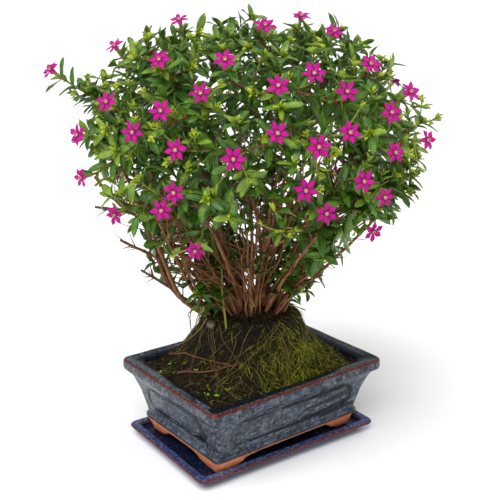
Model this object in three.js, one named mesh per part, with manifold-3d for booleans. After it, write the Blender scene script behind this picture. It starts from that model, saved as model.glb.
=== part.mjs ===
// Cuphea bonsai with its glazed pot and saucer.
// Millimetres, Z up. The origin is on the table, under the middle of the saucer.
// X runs along the pot's long side, and the side with the pebble faces -Y.

import * as THREE from 'three';
import { mergeVertices } from 'three/addons/utils/BufferGeometryUtils.js';
import Module from 'manifold-3d';

const wasm = await Module();
wasm.setup();

// Driving dimensions
const SEAT_GAP = 0.3;
const CORNER_STEPS = 3;

const SAUCER = {
  length: 151, width: 102, height: 8.3, floor: 4.5, band: 6, baseInset: 8, corner: 5, turn: -2.5,
};
const POT = {
  length: 150, width: 117, height: 44.5, footHeight: 9.7, floorThickness: 5.5, corner: 5,
  endInset: 11.5, sideInset: 13, bandWidth: 7, wallTaper: 10,
  drainRadius: 8, footLength: 120, footWidth: 82, footWall: 6, footReach: 26,
};
// The outside of the pot, from its base moulding up to its lip: share of the full inset, height
const POT_PROFILE = [
  [1.03, 0], [0.97, 0.8], [0.97, 3.2], [1.06, 4.3], [0.93, 13], [0.72, 23], [0.46, 31], [0.28, 35],
  [0.05, 36.6], [0, 38.4], [0, 42.2], [0.04, 44], [0.12, 44.5],
];
const PANEL = { endMargin: 17, low: 9.5, high: 29, corner: 8, groove: 0.9 };
const MESH = { side: 30, thickness: 0.8, holes: 3, hole: 6, rib: 2.4 };
const SOIL_DEPTH_BELOW_LIP = 4.5;
// The root mound's flank: distance from its middle, height over the soil
const MOUND_PROFILE = [
  [24.3, 42.5], [30, 41.5], [34, 37.5], [37, 31], [41, 23.5], [46, 16], [52, 9.5], [59, 4], [66, 1],
];
const MOUND = { sides: 22, shoulder: 34, reach: 66, rough: 1.6, socketRadius: 24.3, socketDepth: 13 };
const PEBBLE = { radius: 3.7, flat: 0.85 };

// The crown is a dome over a cup: widest radius, height of the widest place, reach above and below it
const CROWN = { radius: 120, middle: 222, above: 76, below: 125, roundTop: 2.2, roundCup: 1.9 };
const STEM = { count: 24, baseRadius: 2.1, tipRadius: 1.15, spread: 19, reach: 0.6, sides: 4, steps: 4 };
const FORK = { first: 7, ofThree: 2, baseRadius: 1.3, tipRadius: 0.75, reach: 0.72, turn: 24, sides: 4 };
const HUB_STEMS = [1, 2, 12, 13, 14, 15, 16];
const HUB_LENGTH = 11;
const TWIG = { baseRadius: 0.95, tipRadius: 0.6, sides: 4, steps: 3, bend: 7, tries: 9, gap: 1.1 };
const CALYX = { length: 7, neckRadius: 0.75, mouthRadius: 1.35 };
const BLOOM = { radius: 7.4, notch: 2.1, shoulder: 4.6, petalWidth: 3.4, cup: 1.1, hub: 1.5, petals: 6 };
const SHOOT = { count: 34, spacing: 24, inside: 0.96, low: 128, top: 297 };
const LEAF = {
  length: 24, width: 8.4, thickness: 0.8, fold: 0.7, droop: 0.2, tipShare: 0.58, second: 0.76,
  spacing: 24, node: 1.6, bare: 14, big: 24, guard: 0.45, clearFrom: 0.06,
};
// How far each bloom on the far side leans from the upright, in degrees
const BACK_BLOOMS = [36, 52, 24, 48, 32, 51];

// The eye that the places below are seen from, in a frame of 500 by 500 pixels
const EYE = { x: -348.9, y: -451.0, z: 307.4, focal: 852, middle: 250, pitch: 16.35, yaw: 37.61 };
// Bloom centres in that frame
const BLOOM_PIXELS = [
  [50.6, 69.6], [114.9, 45.9], [179.2, 19.9], [159.3, 59.7], [225.1, 59.7], [265.2, 25.3], [301.2, 16],
  [334.1, 31.4], [370.8, 64.3], [410.6, 91.8], [427.5, 140], [106.5, 101.8], [160.8, 111], [200.6, 93.4],
  [132.5, 132.4], [77.4, 134.7], [175.4, 150], [233.5, 159.2], [278.2, 85.7], [314.2, 73.5], [347.1, 91.8],
  [350.2, 132.4], [277.5, 133.2], [318.8, 147], [391.5, 112.5], [395.3, 152.3], [81.2, 177.3], [173.8, 192.6],
  [161.6, 210.2], [114.9, 214.8], [305.8, 190.3], [326.4, 213.3], [363.9, 181.1], [384.6, 197.2],
  [373.1, 231.6], [195.3, 250.8],
];
// Stems, cut stubs and long shoots in the same frame, with how far behind the trunk's axis each one runs
const LEFT_STEM = {
  back: -6,
  path: [[214, 318], [186, 300], [169, 284], [161, 266], [152, 243], [143, 221], [113, 198], [95, 177]],
};
const STUBS = [
  { back: -6, path: [[171, 288], [141, 270]] },
  { back: -7, path: [[158, 258], [120, 240]] },
  { back: -8, path: [[142, 218], [124, 211], [95, 207]] },
];
const RIGHT_STEM = {
  back: -14, path: [[288, 300], [297, 288], [312, 279], [334, 259], [353, 241], [364, 230]],
};
const LONG_SHOOT = {
  back: -29, baseRadius: 1.3, tipRadius: 0.8,
  path: [[226, 318], [222, 290], [221, 267], [212, 238], [206, 220]],
};
const FALLEN = { baseRadius: 1.1, tipRadius: 0.6, steps: 6, lift: 1.7 };
const FALLEN_TWIGS = [
  [[168, 356], [191, 360], [213, 366], [236, 373]],
  [[178, 376], [206, 376], [225, 372], [240, 368]],
];
const PEBBLE_PIXEL = [211.8, 324.5];

const COLOUR = {
  saucer: '#2f3f63', glaze: '#4f5b6b', plastic: '#20242a', soil: '#2b211a', stone: '#6f675f', moss: '#4c4d23',
  dryTwig: '#8a5238', wood: '#7a4630', leaf: '#3f6b22', petal: '#c4108f',
};

// Heights that follow from the sizes above
const POT_FOOT_Z = SAUCER.floor + SEAT_GAP;
const POT_BASE_Z = POT_FOOT_Z + POT.footHeight;
const LIP_Z = POT_BASE_Z + POT.height;
const POT_FLOOR_Z = POT_BASE_Z + POT.floorThickness;
const SOIL_Z = LIP_Z - SOIL_DEPTH_BELOW_LIP;
const MOUND_Z = SOIL_Z + SEAT_GAP;
const SOCKET_TOP_Z = MOUND_Z + MOUND_PROFILE[0][1];
const GOLDEN_ANGLE = Math.PI * (3 - Math.sqrt(5));

// Small helpers
const UP = new THREE.Vector3(0, 0, 1);
const point = (x, y, z) => new THREE.Vector3(x, y, z);
const radians = THREE.MathUtils.degToRad;

// A repeatable draw between 0 and 1 for thing i, question k
function draw(i, k) {
  let n = Math.imul(i + 1, 374761393) + Math.imul(k + 1, 668265263);
  n = Math.imul(n ^ (n >>> 13), 1274126177);
  return ((n ^ (n >>> 16)) >>> 0) / 4294967296;
}

function between(table, x) {
  let k = 1;
  while (k < table.length - 1 && table[k][0] < x) k += 1;
  const [x0, y0] = table[k - 1];
  const [x1, y1] = table[k];
  const share = THREE.MathUtils.clamp((x - x0) / (x1 - x0), 0, 1);
  return y0 + (y1 - y0) * share;
}

function geometryOf(vertices, triangles) {
  const geometry = new THREE.BufferGeometry();
  const places = vertices.flatMap((v) => [v.x, v.y, v.z]);
  geometry.setAttribute('position', new THREE.Float32BufferAttribute(places, 3));
  geometry.setIndex(triangles);
  return geometry;
}

function solidOf(geometry) {
  const bare = geometry.clone();
  bare.deleteAttribute('normal');
  bare.deleteAttribute('uv');
  const merged = mergeVertices(bare, 1e-4);
  return new wasm.Manifold(new wasm.Mesh({
    numProp: 3,
    vertProperties: merged.attributes.position.array,
    triVerts: Uint32Array.from(merged.index.array),
  }));
}

function geometryOfSolid(solid) {
  const mesh = solid.getMesh();
  const geometry = new THREE.BufferGeometry();
  geometry.setAttribute('position', new THREE.BufferAttribute(mesh.vertProperties, 3));
  geometry.setIndex(new THREE.BufferAttribute(mesh.triVerts, 1));
  return geometry;
}

// A rectangle with round corners, counter-clockwise
function roundedOutline(halfX, halfY, radius, steps = CORNER_STEPS) {
  const outline = [];
  for (const [sx, sy, start] of [[1, 1, 0], [-1, 1, 90], [-1, -1, 180], [1, -1, 270]]) {
    for (let k = 0; k <= steps; k += 1) {
      const angle = radians(start + (90 * k) / steps);
      outline.push([
        sx * (halfX - radius) + radius * Math.cos(angle),
        sy * (halfY - radius) + radius * Math.sin(angle),
      ]);
    }
  }
  return outline;
}

const ringAt = (outline, z) => outline.map(([x, y]) => point(x, y, z));

function circleAt(radius, z, sides) {
  return Array.from({ length: sides }, (_, i) => {
    const angle = (2 * Math.PI * i) / sides;
    return point(radius * Math.cos(angle), radius * Math.sin(angle), z);
  });
}

// A direction square to another one
function squareTo(line) {
  return new THREE.Vector3().crossVectors(Math.abs(line.z) < 0.9 ? UP : point(1, 0, 0), line).normalize();
}

// A closed skin over rings of equal count, capped at its ends or with its last ring joined to its first
function skin(rings, looped = false) {
  const count = rings[0].length;
  const vertices = rings.flat();
  const triangles = [];
  const bands = looped ? rings.length : rings.length - 1;
  for (let r = 0; r < bands; r += 1) {
    const low = r * count;
    const high = ((r + 1) % rings.length) * count;
    for (let i = 0; i < count; i += 1) {
      const j = (i + 1) % count;
      triangles.push(low + i, low + j, high + j, low + i, high + j, high + i);
    }
  }
  if (!looped) {
    for (const [start, flip] of [[0, true], [(rings.length - 1) * count, false]]) {
      const centre = new THREE.Vector3();
      for (let i = 0; i < count; i += 1) centre.add(vertices[start + i]);
      vertices.push(centre.divideScalar(count));
      for (let i = 0; i < count; i += 1) {
        const pair = [start + i, start + ((i + 1) % count)];
        if (flip) pair.reverse();
        triangles.push(vertices.length - 1, ...pair);
      }
    }
  }
  return geometryOf(vertices, triangles);
}

// A closed tube through the points of a path, square to it, with a radius at each point
function tube(path, radii, sides) {
  let side = squareTo(path[1].clone().sub(path[0]).normalize());
  const rings = path.map((place, k) => {
    const ahead = path[Math.min(k + 1, path.length - 1)].clone().sub(path[Math.max(k - 1, 0)]).normalize();
    side = side.clone().addScaledVector(ahead, -side.dot(ahead)).normalize();
    const across = new THREE.Vector3().crossVectors(ahead, side);
    return Array.from({ length: sides }, (_, i) => {
      const angle = (2 * Math.PI * i) / sides;
      return place.clone()
        .addScaledVector(side, radii[k] * Math.cos(angle))
        .addScaledVector(across, radii[k] * Math.sin(angle));
    });
  });
  const vertices = rings.flat();
  const last = (rings.length - 1) * sides;
  const triangles = [];
  for (let start = 0; start < last; start += sides) {
    for (let i = 0; i < sides; i += 1) {
      const j = (i + 1) % sides;
      const above = start + sides;
      triangles.push(start + i, start + j, above + j, start + i, above + j, above + i);
    }
  }
  for (let i = 1; i < sides - 1; i += 1) triangles.push(0, i + 1, i, last, last + i, last + i + 1);
  return geometryOf(vertices, triangles);
}

function join(solids) {
  return solids.reduce((whole, next) => whole.add(next));
}

// Saucer: a shallow tray with slanting sides and a flat band round its top
function saucerGeometry() {
  const { length, width, height, floor, band, baseInset, corner } = SAUCER;
  const level = (inset, z) => ringAt(
    roundedOutline(length / 2 - inset, width / 2 - inset, Math.max(corner - inset / 3, 2.5)), z,
  );
  return skin([
    level(baseInset, 0), level(baseInset - 0.6, 0.8), level(1.2, height - 3), level(0, height - 1.6),
    level(0.3, height - 0.3), level(1, height), level(band - 0.8, height), level(band, height - 0.6),
    level(band + 0.8, floor),
  ]);
}

// The pot's outside at a share of its full inset
function potOutline(share) {
  return roundedOutline(
    POT.length / 2 - share * POT.endInset, POT.width / 2 - share * POT.sideInset,
    POT.corner - 1.5 * Math.min(share, 1),
  );
}

// The pot's inside at a height, drawn in by a clearance
function insideOutline(z, clearance = 0) {
  const sink = (LIP_Z - z) / (LIP_Z - POT_FLOOR_Z);
  const inset = POT.bandWidth + sink * POT.wallTaper + clearance;
  return roundedOutline(POT.length / 2 - inset, POT.width / 2 - inset, 4);
}

function potBody() {
  const outside = POT_PROFILE.map(([share, rise]) => ringAt(potOutline(share), POT_BASE_Z + rise));
  const bandInset = POT.bandWidth - 1.5;
  const band = roundedOutline(POT.length / 2 - bandInset, POT.width / 2 - bandInset, 4);
  const hole = roundedOutline(POT.drainRadius, POT.drainRadius, POT.drainRadius);
  return solidOf(skin([
    ...outside, ringAt(band, LIP_Z - 0.9), ringAt(insideOutline(LIP_Z - 2.2), LIP_Z - 2.2),
    ringAt(insideOutline(POT_FLOOR_Z + 2), POT_FLOOR_Z + 2),
    ringAt(insideOutline(POT_FLOOR_Z, 1.6), POT_FLOOR_Z),
    ringAt(hole, POT_FLOOR_Z), ringAt(hole, POT_BASE_Z),
  ], true));
}

// A groove round a long cartouche with round ends, following the wall's hollow curve
function panelGroove(half, across, turn) {
  const outline = roundedOutline(half, (PANEL.high - PANEL.low) / 2, PANEL.corner, 2);
  const middle = (PANEL.high + PANEL.low) / 2;
  const insetAt = (rise) => between(POT_PROFILE.map(([share, height]) => [height, share]), rise);
  const wall = across === 'x' ? [POT.width / 2, POT.sideInset] : [POT.length / 2, POT.endInset];
  const rings = outline.map(([u, v], i) => {
    const ahead = outline[(i + 1) % outline.length];
    const behind = outline[(i + outline.length - 1) % outline.length];
    const tangent = new THREE.Vector2(ahead[0] - behind[0], ahead[1] - behind[1]).normalize();
    const place = (offset, depth) => {
      const rise = middle + v - tangent.x * offset;
      const face = wall[0] - wall[1] * insetAt(rise);
      return point(u + tangent.y * offset, -(face + depth), POT_BASE_Z + rise).applyAxisAngle(UP, turn);
    };
    return [place(-PANEL.groove, 0.5), place(PANEL.groove, 0.5), place(0, -PANEL.groove)];
  });
  return solidOf(skin(rings, true));
}

// The skirt that the four corner feet are cut from, and the cloud-shaped arch between two feet
function footSkirt() {
  const { footLength, footWidth, footWall, corner } = POT;
  const level = (inset, z) => ringAt(
    roundedOutline(footLength / 2 - inset, footWidth / 2 - inset, corner - 1.5), z,
  );
  const top = POT_BASE_Z + 1;
  return solidOf(skin([
    level(1, POT_FOOT_Z), level(0, POT_FOOT_Z + 1), level(0, top),
    level(footWall, top), level(footWall, POT_FOOT_Z),
  ], true));
}

function footArch(span, depth, turn) {
  const half = span / 2 - POT.footReach;
  const shape = new THREE.Shape();
  const top = POT.footHeight - 2.2;
  shape.moveTo(-half - 15, -1);
  shape.bezierCurveTo(-half - 13, 3, -half - 9, 2.2, -half - 7, 4.2);
  shape.bezierCurveTo(-half - 4, 6.8, -half - 4, top - 0.4, -half + 2, top);
  shape.lineTo(half - 2, top);
  shape.bezierCurveTo(half + 4, top - 0.4, half + 4, 6.8, half + 7, 4.2);
  shape.bezierCurveTo(half + 9, 2.2, half + 13, 3, half + 15, -1);
  const geometry = new THREE.ExtrudeGeometry(shape, { depth, bevelEnabled: false, curveSegments: 3 });
  geometry.translate(0, 0, -depth / 2);
  geometry.rotateX(Math.PI / 2);
  geometry.rotateZ(turn);
  geometry.translate(0, 0, POT_FOOT_Z);
  return solidOf(geometry);
}

function potGeometry() {
  const alongX = POT.length / 2 - POT.endInset - PANEL.endMargin + 6;
  const alongY = POT.width / 2 - POT.sideInset - PANEL.endMargin + 6;
  const feet = footSkirt()
    .subtract(footArch(POT.footLength, 2 * POT.footWidth, 0))
    .subtract(footArch(POT.footWidth, 2 * POT.footLength, Math.PI / 2));
  const grooves = [
    panelGroove(alongX, 'x', 0), panelGroove(alongX, 'x', Math.PI),
    panelGroove(alongY, 'y', Math.PI / 2), panelGroove(alongY, 'y', -Math.PI / 2),
  ];
  return geometryOfSolid(grooves.reduce((pot, groove) => pot.subtract(groove), potBody().add(feet)));
}

// A square of plastic mesh that keeps the soil out of the drain hole
function meshSolid() {
  const plate = (length, width, depth) => new THREE.BoxGeometry(length, width, depth);
  const pitch = MESH.hole + MESH.rib;
  const first = -(MESH.holes - 1) / 2;
  let solid = solidOf(plate(MESH.side, MESH.side, MESH.thickness));
  for (let i = 0; i < MESH.holes; i += 1) {
    for (let j = 0; j < MESH.holes; j += 1) {
      const cut = plate(MESH.hole, MESH.hole, 3 * MESH.thickness);
      solid = solid.subtract(solidOf(cut.translate((first + i) * pitch, (first + j) * pitch, 0)));
    }
  }
  return solid.translate([0, 0, POT_FLOOR_Z + SEAT_GAP + MESH.thickness / 2]);
}

// Soil: the filling of the pot, with a flat place that lies on the mesh
function soilSolid() {
  const low = POT_FLOOR_Z + SEAT_GAP;
  const filling = solidOf(skin([
    ringAt(insideOutline(POT_FLOOR_Z, 2), low), ringAt(insideOutline(POT_FLOOR_Z + 2, 0.4), low + 2),
    ringAt(insideOutline(SOIL_Z, 0.4), SOIL_Z),
  ]));
  const side = MESH.side + 2 * SEAT_GAP;
  const recess = new THREE.BoxGeometry(side, side, 2 * (MESH.thickness + SEAT_GAP)).translate(0, 0, low);
  return filling.subtract(solidOf(recess));
}

// How far the mound may reach in a direction before it meets the pot's wall
function moundLimit(angle) {
  const halfX = POT.length / 2 - POT.bandWidth - 4;
  const halfY = POT.width / 2 - POT.bandWidth - 4;
  return Math.min(MOUND.reach, halfX / Math.abs(Math.cos(angle)), halfY / Math.abs(Math.sin(angle)));
}

function moundRadius(radius, angle) {
  const share = Math.max(0, (radius - MOUND.shoulder) / (MOUND.reach - MOUND.shoulder));
  return radius * (1 - share * (1 - moundLimit(angle) / MOUND.reach));
}

// Root mound: the old root ball standing proud of the soil, with a round hole for the wood
function moundSolid() {
  const { sides, socketRadius, socketDepth } = MOUND;
  const flank = MOUND_PROFILE.slice(1).map(([radius, rise], row) => Array.from({ length: sides }, (_, i) => {
    const angle = (2 * Math.PI * i) / sides;
    const rough = row > 0 && row < 6 ? MOUND.rough * (2 * draw(i, row + 40) - 1) : 0;
    const r = moundRadius(radius, angle) + rough;
    return point(r * Math.cos(angle), r * Math.sin(angle), MOUND_Z + rise + 0.4 * rough);
  }));
  const outer = flank[flank.length - 1].map((v) => point(v.x, v.y, MOUND_Z));
  return solidOf(skin([
    outer, ...[...flank].reverse(), circleAt(socketRadius, SOCKET_TOP_Z, sides),
    circleAt(socketRadius, SOCKET_TOP_Z - socketDepth, sides),
  ]));
}

// Directions of sight for the eye
const sight = (() => {
  const yaw = radians(EYE.yaw);
  const pitch = radians(EYE.pitch);
  const level = point(Math.sin(yaw), Math.cos(yaw), 0);
  const ahead = level.clone().multiplyScalar(Math.cos(pitch)).addScaledVector(UP, -Math.sin(pitch));
  const right = point(Math.cos(yaw), -Math.sin(yaw), 0);
  const up = new THREE.Vector3().crossVectors(right, ahead);
  return { eye: point(EYE.x, EYE.y, EYE.z), ahead, right, up, level };
})();

function sightLine([px, py]) {
  return sight.ahead.clone()
    .addScaledVector(sight.right, (px - EYE.middle) / EYE.focal)
    .addScaledVector(sight.up, -(py - EYE.middle) / EYE.focal);
}

// The place behind a pixel in the upright plane that runs a distance behind the axis
function behindPixel(pixel, back) {
  const line = sightLine(pixel);
  const share = (back - sight.eye.dot(sight.level)) / line.dot(sight.level);
  return sight.eye.clone().addScaledVector(line, share);
}

// The first of some meshes that a ray meets
function firstMet(meshes, origin, line) {
  const [hit] = new THREE.Raycaster(origin, line.clone().normalize()).intersectObjects(meshes, false);
  return hit.point;
}

// Radius of the crown at a height
function crownRadius(z) {
  const rise = z - CROWN.middle;
  if (rise >= CROWN.above || rise <= -CROWN.below) return 0;
  return rise > 0
    ? CROWN.radius * Math.sqrt(1 - (rise / CROWN.above) ** CROWN.roundTop)
    : CROWN.radius * (1 - (-rise / CROWN.below) ** CROWN.roundCup);
}

// The outward direction of the crown at a place
function crownOutward(place) {
  const rise = place.z - CROWN.middle;
  const reach = rise > 0 ? CROWN.above : CROWN.below;
  return point(place.x / CROWN.radius ** 2, place.y / CROWN.radius ** 2, rise / reach ** 2).normalize();
}

// Where the line of sight through a pixel first meets the crown, or passes nearest to it
function crownPixel(pixel) {
  const line = sightLine(pixel).normalize();
  const place = sight.eye.clone().addScaledVector(line, 380);
  let best = place.clone();
  let least = Infinity;
  for (let k = 0; k < 300; k += 1) {
    const excess = Math.hypot(place.x, place.y) - crownRadius(place.z);
    if (excess < least) {
      least = excess;
      best = place.clone();
    }
    if (excess <= 0) break;
    place.add(line);
  }
  return best;
}

// A point of the crown a share of the way out, at an angle from the upright and an angle about it
function crownPoint(tilt, turn, share) {
  const origin = point(0, 0, SOCKET_TOP_Z);
  const line = point(Math.sin(tilt) * Math.cos(turn), Math.sin(tilt) * Math.sin(turn), Math.cos(tilt));
  let reach = 20;
  while (reach * Math.sin(tilt) < crownRadius(SOCKET_TOP_Z + reach * Math.cos(tilt))) reach += 1;
  return origin.addScaledVector(line, share * reach);
}

function bend(start, control, end, steps, wobble, seed) {
  const curve = new THREE.QuadraticBezierCurve3(start, control, end);
  return curve.getPoints(steps).map((place, k) => {
    if (k === 0 || k === steps) return place;
    const shake = (q) => wobble * (2 * draw(seed, 60 + 3 * k + q) - 1);
    return place.add(point(shake(0), shake(1), shake(2)));
  });
}

function taper(from, to, count) {
  return Array.from({ length: count }, (_, k) => from + ((to - from) * k) / (count - 1));
}

// Points spread along a path about every few millimetres, for keeping things apart
function samples(path, radius) {
  const spots = [];
  for (let k = 1; k < path.length; k += 1) {
    const parts = Math.max(1, Math.round(path[k].distanceTo(path[k - 1]) / 3));
    for (let p = 0; p <= parts; p += 1) {
      spots.push({ place: path[k - 1].clone().lerp(path[k], p / parts), radius });
    }
  }
  return spots;
}

// The highest ground within a reach of a place
function groundUnder(ground, { x, y }, reach) {
  const limit = POT.width / 2 - POT.bandWidth - 2;
  const around = [[0, 0], [reach, 0], [-reach, 0], [0, reach], [0, -reach]];
  return Math.max(...around.map(([dx, dy]) => {
    const above = point(x + dx, THREE.MathUtils.clamp(y + dy, -limit, limit), LIP_Z + POT.height);
    return firstMet(ground, above, point(0, 0, -1)).z;
  }));
}

// Woody stems fan out of the root crown, the outer ones leaning furthest. Some fork, and some end under a
// hub, the place where a bough begins.
function growWood(shootPath) {
  const stems = [];
  const hubs = [];
  const shoot = samples(shootPath, TWIG.baseRadius);
  const nearShoot = (path) => samples(path, STEM.baseRadius).some((spot) => (
    shoot.some((other) => other.place.distanceTo(spot.place) < spot.radius + other.radius + 1.5)));
  const addHub = (path) => {
    const end = path[path.length - 1];
    const ahead = end.clone().sub(path[path.length - 2]).normalize();
    hubs.push({ start: end.clone().addScaledVector(ahead, SEAT_GAP), ahead });
  };
  for (let i = 0; i < STEM.count; i += 1) {
    const share = Math.sqrt((i + 0.5) / STEM.count);
    const isHub = HUB_STEMS.includes(i);
    const tilt = radians(6 + 48 * share + 5 * draw(i, 1));
    let turn = GOLDEN_ANGLE * i;
    let path;
    do {
      const foot = point(
        STEM.spread * share * Math.cos(turn), STEM.spread * share * Math.sin(turn), SOCKET_TOP_Z - 2,
      );
      const end = crownPoint(tilt, turn, STEM.reach + (isHub ? 0 : 0.1 * (draw(i, 2) - 0.5)));
      const control = foot.clone().lerp(end, 0.45).add(point(0, 0, 7 + 6 * draw(i, 3)));
      path = bend(foot, control, end, STEM.steps, 1.4, i);
      turn += radians(7);
    } while (nearShoot(path));
    const thick = STEM.baseRadius * (0.8 + 0.5 * draw(i, 4));
    stems.push({ path, radii: taper(thick, STEM.tipRadius, path.length), sides: STEM.sides });
    if (isHub) addHub(path);
    if (!isHub && i >= FORK.first && i % 3 < FORK.ofThree) {
      const from = path[2].clone();
      const side = draw(i, 5) > 0.5 ? 1 : -1;
      const tip = crownPoint(tilt + radians(7), turn + side * radians(FORK.turn), FORK.reach);
      const knee = from.clone().lerp(tip, 0.5).add(point(0, 0, 4));
      const fork = bend(from, knee, tip, 3, 1, i + 100);
      const radii = taper(FORK.baseRadius, FORK.tipRadius, fork.length);
      stems.push({ path: fork, radii, sides: FORK.sides });
    }
  }
  for (const [line, from, to] of [[LEFT_STEM, 2.6, 1.3], [RIGHT_STEM, 1.7, 1.1]]) {
    const seen = line.path.map((pixel) => behindPixel(pixel, line.back));
    const foot = point(seen[0].x * 0.4, seen[0].y * 0.4, SOCKET_TOP_Z - 1);
    const rise = point(seen[0].x * 0.85, seen[0].y * 0.85, SOCKET_TOP_Z + 3);
    const path = [foot, rise, ...seen.slice(1)];
    stems.push({ path, radii: taper(from, to, path.length), sides: STEM.sides });
    if (line === RIGHT_STEM) addHub(path);
  }
  for (const stub of STUBS) {
    const path = stub.path.map((pixel) => behindPixel(pixel, stub.back));
    stems.push({ path, radii: taper(1.5, 1.1, path.length), sides: STEM.sides });
  }
  return { stems, hubs };
}

// Blooms: where each one opens and which way it faces. Two that would touch stand apart along the sight line.
function placeBlooms() {
  const blooms = [];
  const apart = 2 * BLOOM.radius + 1.5;
  const crowded = (centre) => blooms.some((other) => other.centre.distanceTo(centre) < apart);
  for (const pixel of BLOOM_PIXELS) {
    const centre = crownPixel(pixel);
    const toEye = sight.eye.clone().sub(centre).normalize();
    while (crowded(centre)) centre.addScaledVector(toEye, 1);
    blooms.push({ centre, facing: crownOutward(centre).addScaledVector(toEye, 0.55).normalize() });
  }
  for (let k = 0; k < BACK_BLOOMS.length; k += 1) {
    const turn = radians(90 - EYE.yaw - 78 + (156 * (k + 0.5)) / BACK_BLOOMS.length);
    const centre = crownPoint(radians(BACK_BLOOMS[k]), turn, 1);
    blooms.push({ centre, facing: crownOutward(centre).add(point(0, 0, 0.25)).normalize() });
  }
  return blooms;
}

// Tips of the shoots that bear no bloom, spread evenly over the crown in the room between the blooms
function placeShoots(blooms) {
  const shoots = [];
  for (let k = 0; k < SHOOT.count; k += 1) {
    const height = (k + 0.5) / SHOOT.count;
    const z = SHOOT.low + (SHOOT.top - SHOOT.low) * height ** 0.8;
    const turn = GOLDEN_ANGLE * k;
    const reach = SHOOT.inside * crownRadius(z) * (0.94 + 0.1 * draw(k, 20));
    const tip = point(reach * Math.cos(turn), reach * Math.sin(turn), z);
    if (blooms.every((bloom) => bloom.centre.distanceTo(tip) > SHOOT.spacing)) {
      shoots.push({ tip, facing: crownOutward(tip).add(point(0, 0, 0.3)).normalize() });
    }
  }
  return shoots;
}

// The least room round a twig's path to the wood, other boughs, and blooms with their calyx
function clearance(path, radius, filled, blooms, own) {
  let least = Infinity;
  for (const spot of samples(path, radius)) {
    for (const other of filled) {
      const room = spot.place.distanceTo(other.place) - radius - other.radius;
      if (other.owner !== own) least = Math.min(least, room);
    }
    for (const bloom of blooms) {
      const away = spot.place.clone().sub(bloom.centre);
      const near = away.length() < BLOOM.radius + 2 && away.dot(bloom.facing) > -CALYX.length;
      if (near) least = Math.min(least, away.length() - BLOOM.radius - 0.6);
    }
  }
  return least;
}

// A twig from a place on its bough to a tip, swung aside until it is clear
function growTwig(start, goal, filled, blooms, own, seed) {
  const { end, facing, bare } = goal;
  const span = start.distanceTo(end);
  const away = end.clone().sub(start).normalize();
  const sideways = squareTo(away).negate();
  let best = null;
  let most = -Infinity;
  const others = blooms.filter((bloom) => bloom !== goal.bloom);
  for (let k = 0; k < TWIG.tries && most < TWIG.gap; k += 1) {
    const swing = sideways.clone().applyAxisAngle(away, GOLDEN_ANGLE * k);
    const neck = end.clone().addScaledVector(facing, -bare);
    const control = neck.clone().addScaledVector(facing, -0.35 * span)
      .addScaledVector(swing, TWIG.bend * k ** 0.7);
    const path = bend(start, control, neck, TWIG.steps, 0.6, seed);
    if (bare > 0) path.push(end.clone());
    const clear = clearance(path.slice(1), TWIG.baseRadius, filled, others, own);
    if (clear > most) {
      most = clear;
      best = path;
    }
  }
  return { path: best, clear: most };
}

// The best place on a bough to grow a twig from: midway between leaf nodes, near the end and leaning to it
function startOn(limbs, end) {
  let best = null;
  let least = Infinity;
  for (const { stations, spare } of limbs) {
    for (let k = 0; k < stations.length - 1 - spare; k += 1) {
      if (stations[k].node >= 0) continue;
      const place = stations[k].place.clone().lerp(stations[k + 1].place, 0.5);
      const line = end.clone().sub(place);
      const cost = line.length() * (1.5 - line.normalize().dot(stations[k].ahead));
      if (cost < least) {
        least = cost;
        best = place;
      }
    }
  }
  return best;
}

// Boughs: from each hub a leader and its twigs grow out to the blooms and tips that are nearest
function growBoughs(hubs, blooms, shoots, stems, shootPath) {
  const filled = stems.flatMap((stem) => stem.path.slice(1).flatMap((place, k) => (
    samples([stem.path[k], place], stem.radii[k]))));
  const newLimb = (limb) => ({ spare: 0, leaves: [], ...limb, stations: stationsOf(limb) });
  const boughs = hubs.map((hub, owner) => {
    const path = [hub.start, hub.start.clone().addScaledVector(hub.ahead, HUB_LENGTH)];
    const leader = newLimb({ path, radii: [STEM.tipRadius, TWIG.baseRadius], seed: 190 + owner });
    return { owner, name: `bough_${owner + 1}`, goals: [], limbs: [leader] };
  });
  const shootRadii = taper(LONG_SHOOT.baseRadius, LONG_SHOOT.tipRadius, shootPath.length);
  boughs.push({
    owner: boughs.length, name: 'long_shoot', goals: [],
    limbs: [newLimb({ path: shootPath, radii: shootRadii, seed: 199 })],
  });
  const goals = [
    ...blooms.map((bloom) => ({
      bloom, facing: bloom.facing, bare: CALYX.length,
      end: bloom.centre.clone().addScaledVector(bloom.facing, -BLOOM.hub - SEAT_GAP),
    })),
    ...shoots.map((shoot) => ({ bloom: null, facing: shoot.facing, bare: 0, end: shoot.tip })),
  ];
  for (const goal of goals) {
    const near = (bough) => Math.min(...bough.limbs[0].path.map((place) => place.distanceTo(goal.end)));
    boughs.reduce((a, b) => (near(b) < near(a) ? b : a)).goals.push(goal);
  }
  const fill = (path, owner) => {
    filled.push(...samples(path, TWIG.baseRadius).map((spot) => ({ ...spot, owner })));
  };
  for (const bough of boughs) fill(bough.limbs[0].path, bough.owner);
  let seed = 200;
  for (const bough of boughs) {
    const hub = bough.limbs[0].path[0];
    bough.goals.sort((a, b) => b.end.distanceTo(hub) - a.end.distanceTo(hub));
    for (const goal of bough.goals) {
      seed += 1;
      const start = startOn(bough.limbs, goal.end);
      const { path, clear } = growTwig(start, goal, filled, blooms, bough.owner, seed);
      if (clear < 0.4 && !goal.bloom) continue;
      const radii = taper(TWIG.baseRadius, TWIG.tipRadius, path.length);
      if (goal.bloom) {
        radii[path.length - 2] = CALYX.neckRadius;
        radii[path.length - 1] = CALYX.mouthRadius;
      }
      bough.limbs.push(newLimb({ path, radii, spare: goal.bloom ? 2 : 1, seed, bloom: goal.bloom }));
      fill(path, bough.owner);
    }
  }
  return boughs;
}

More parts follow.
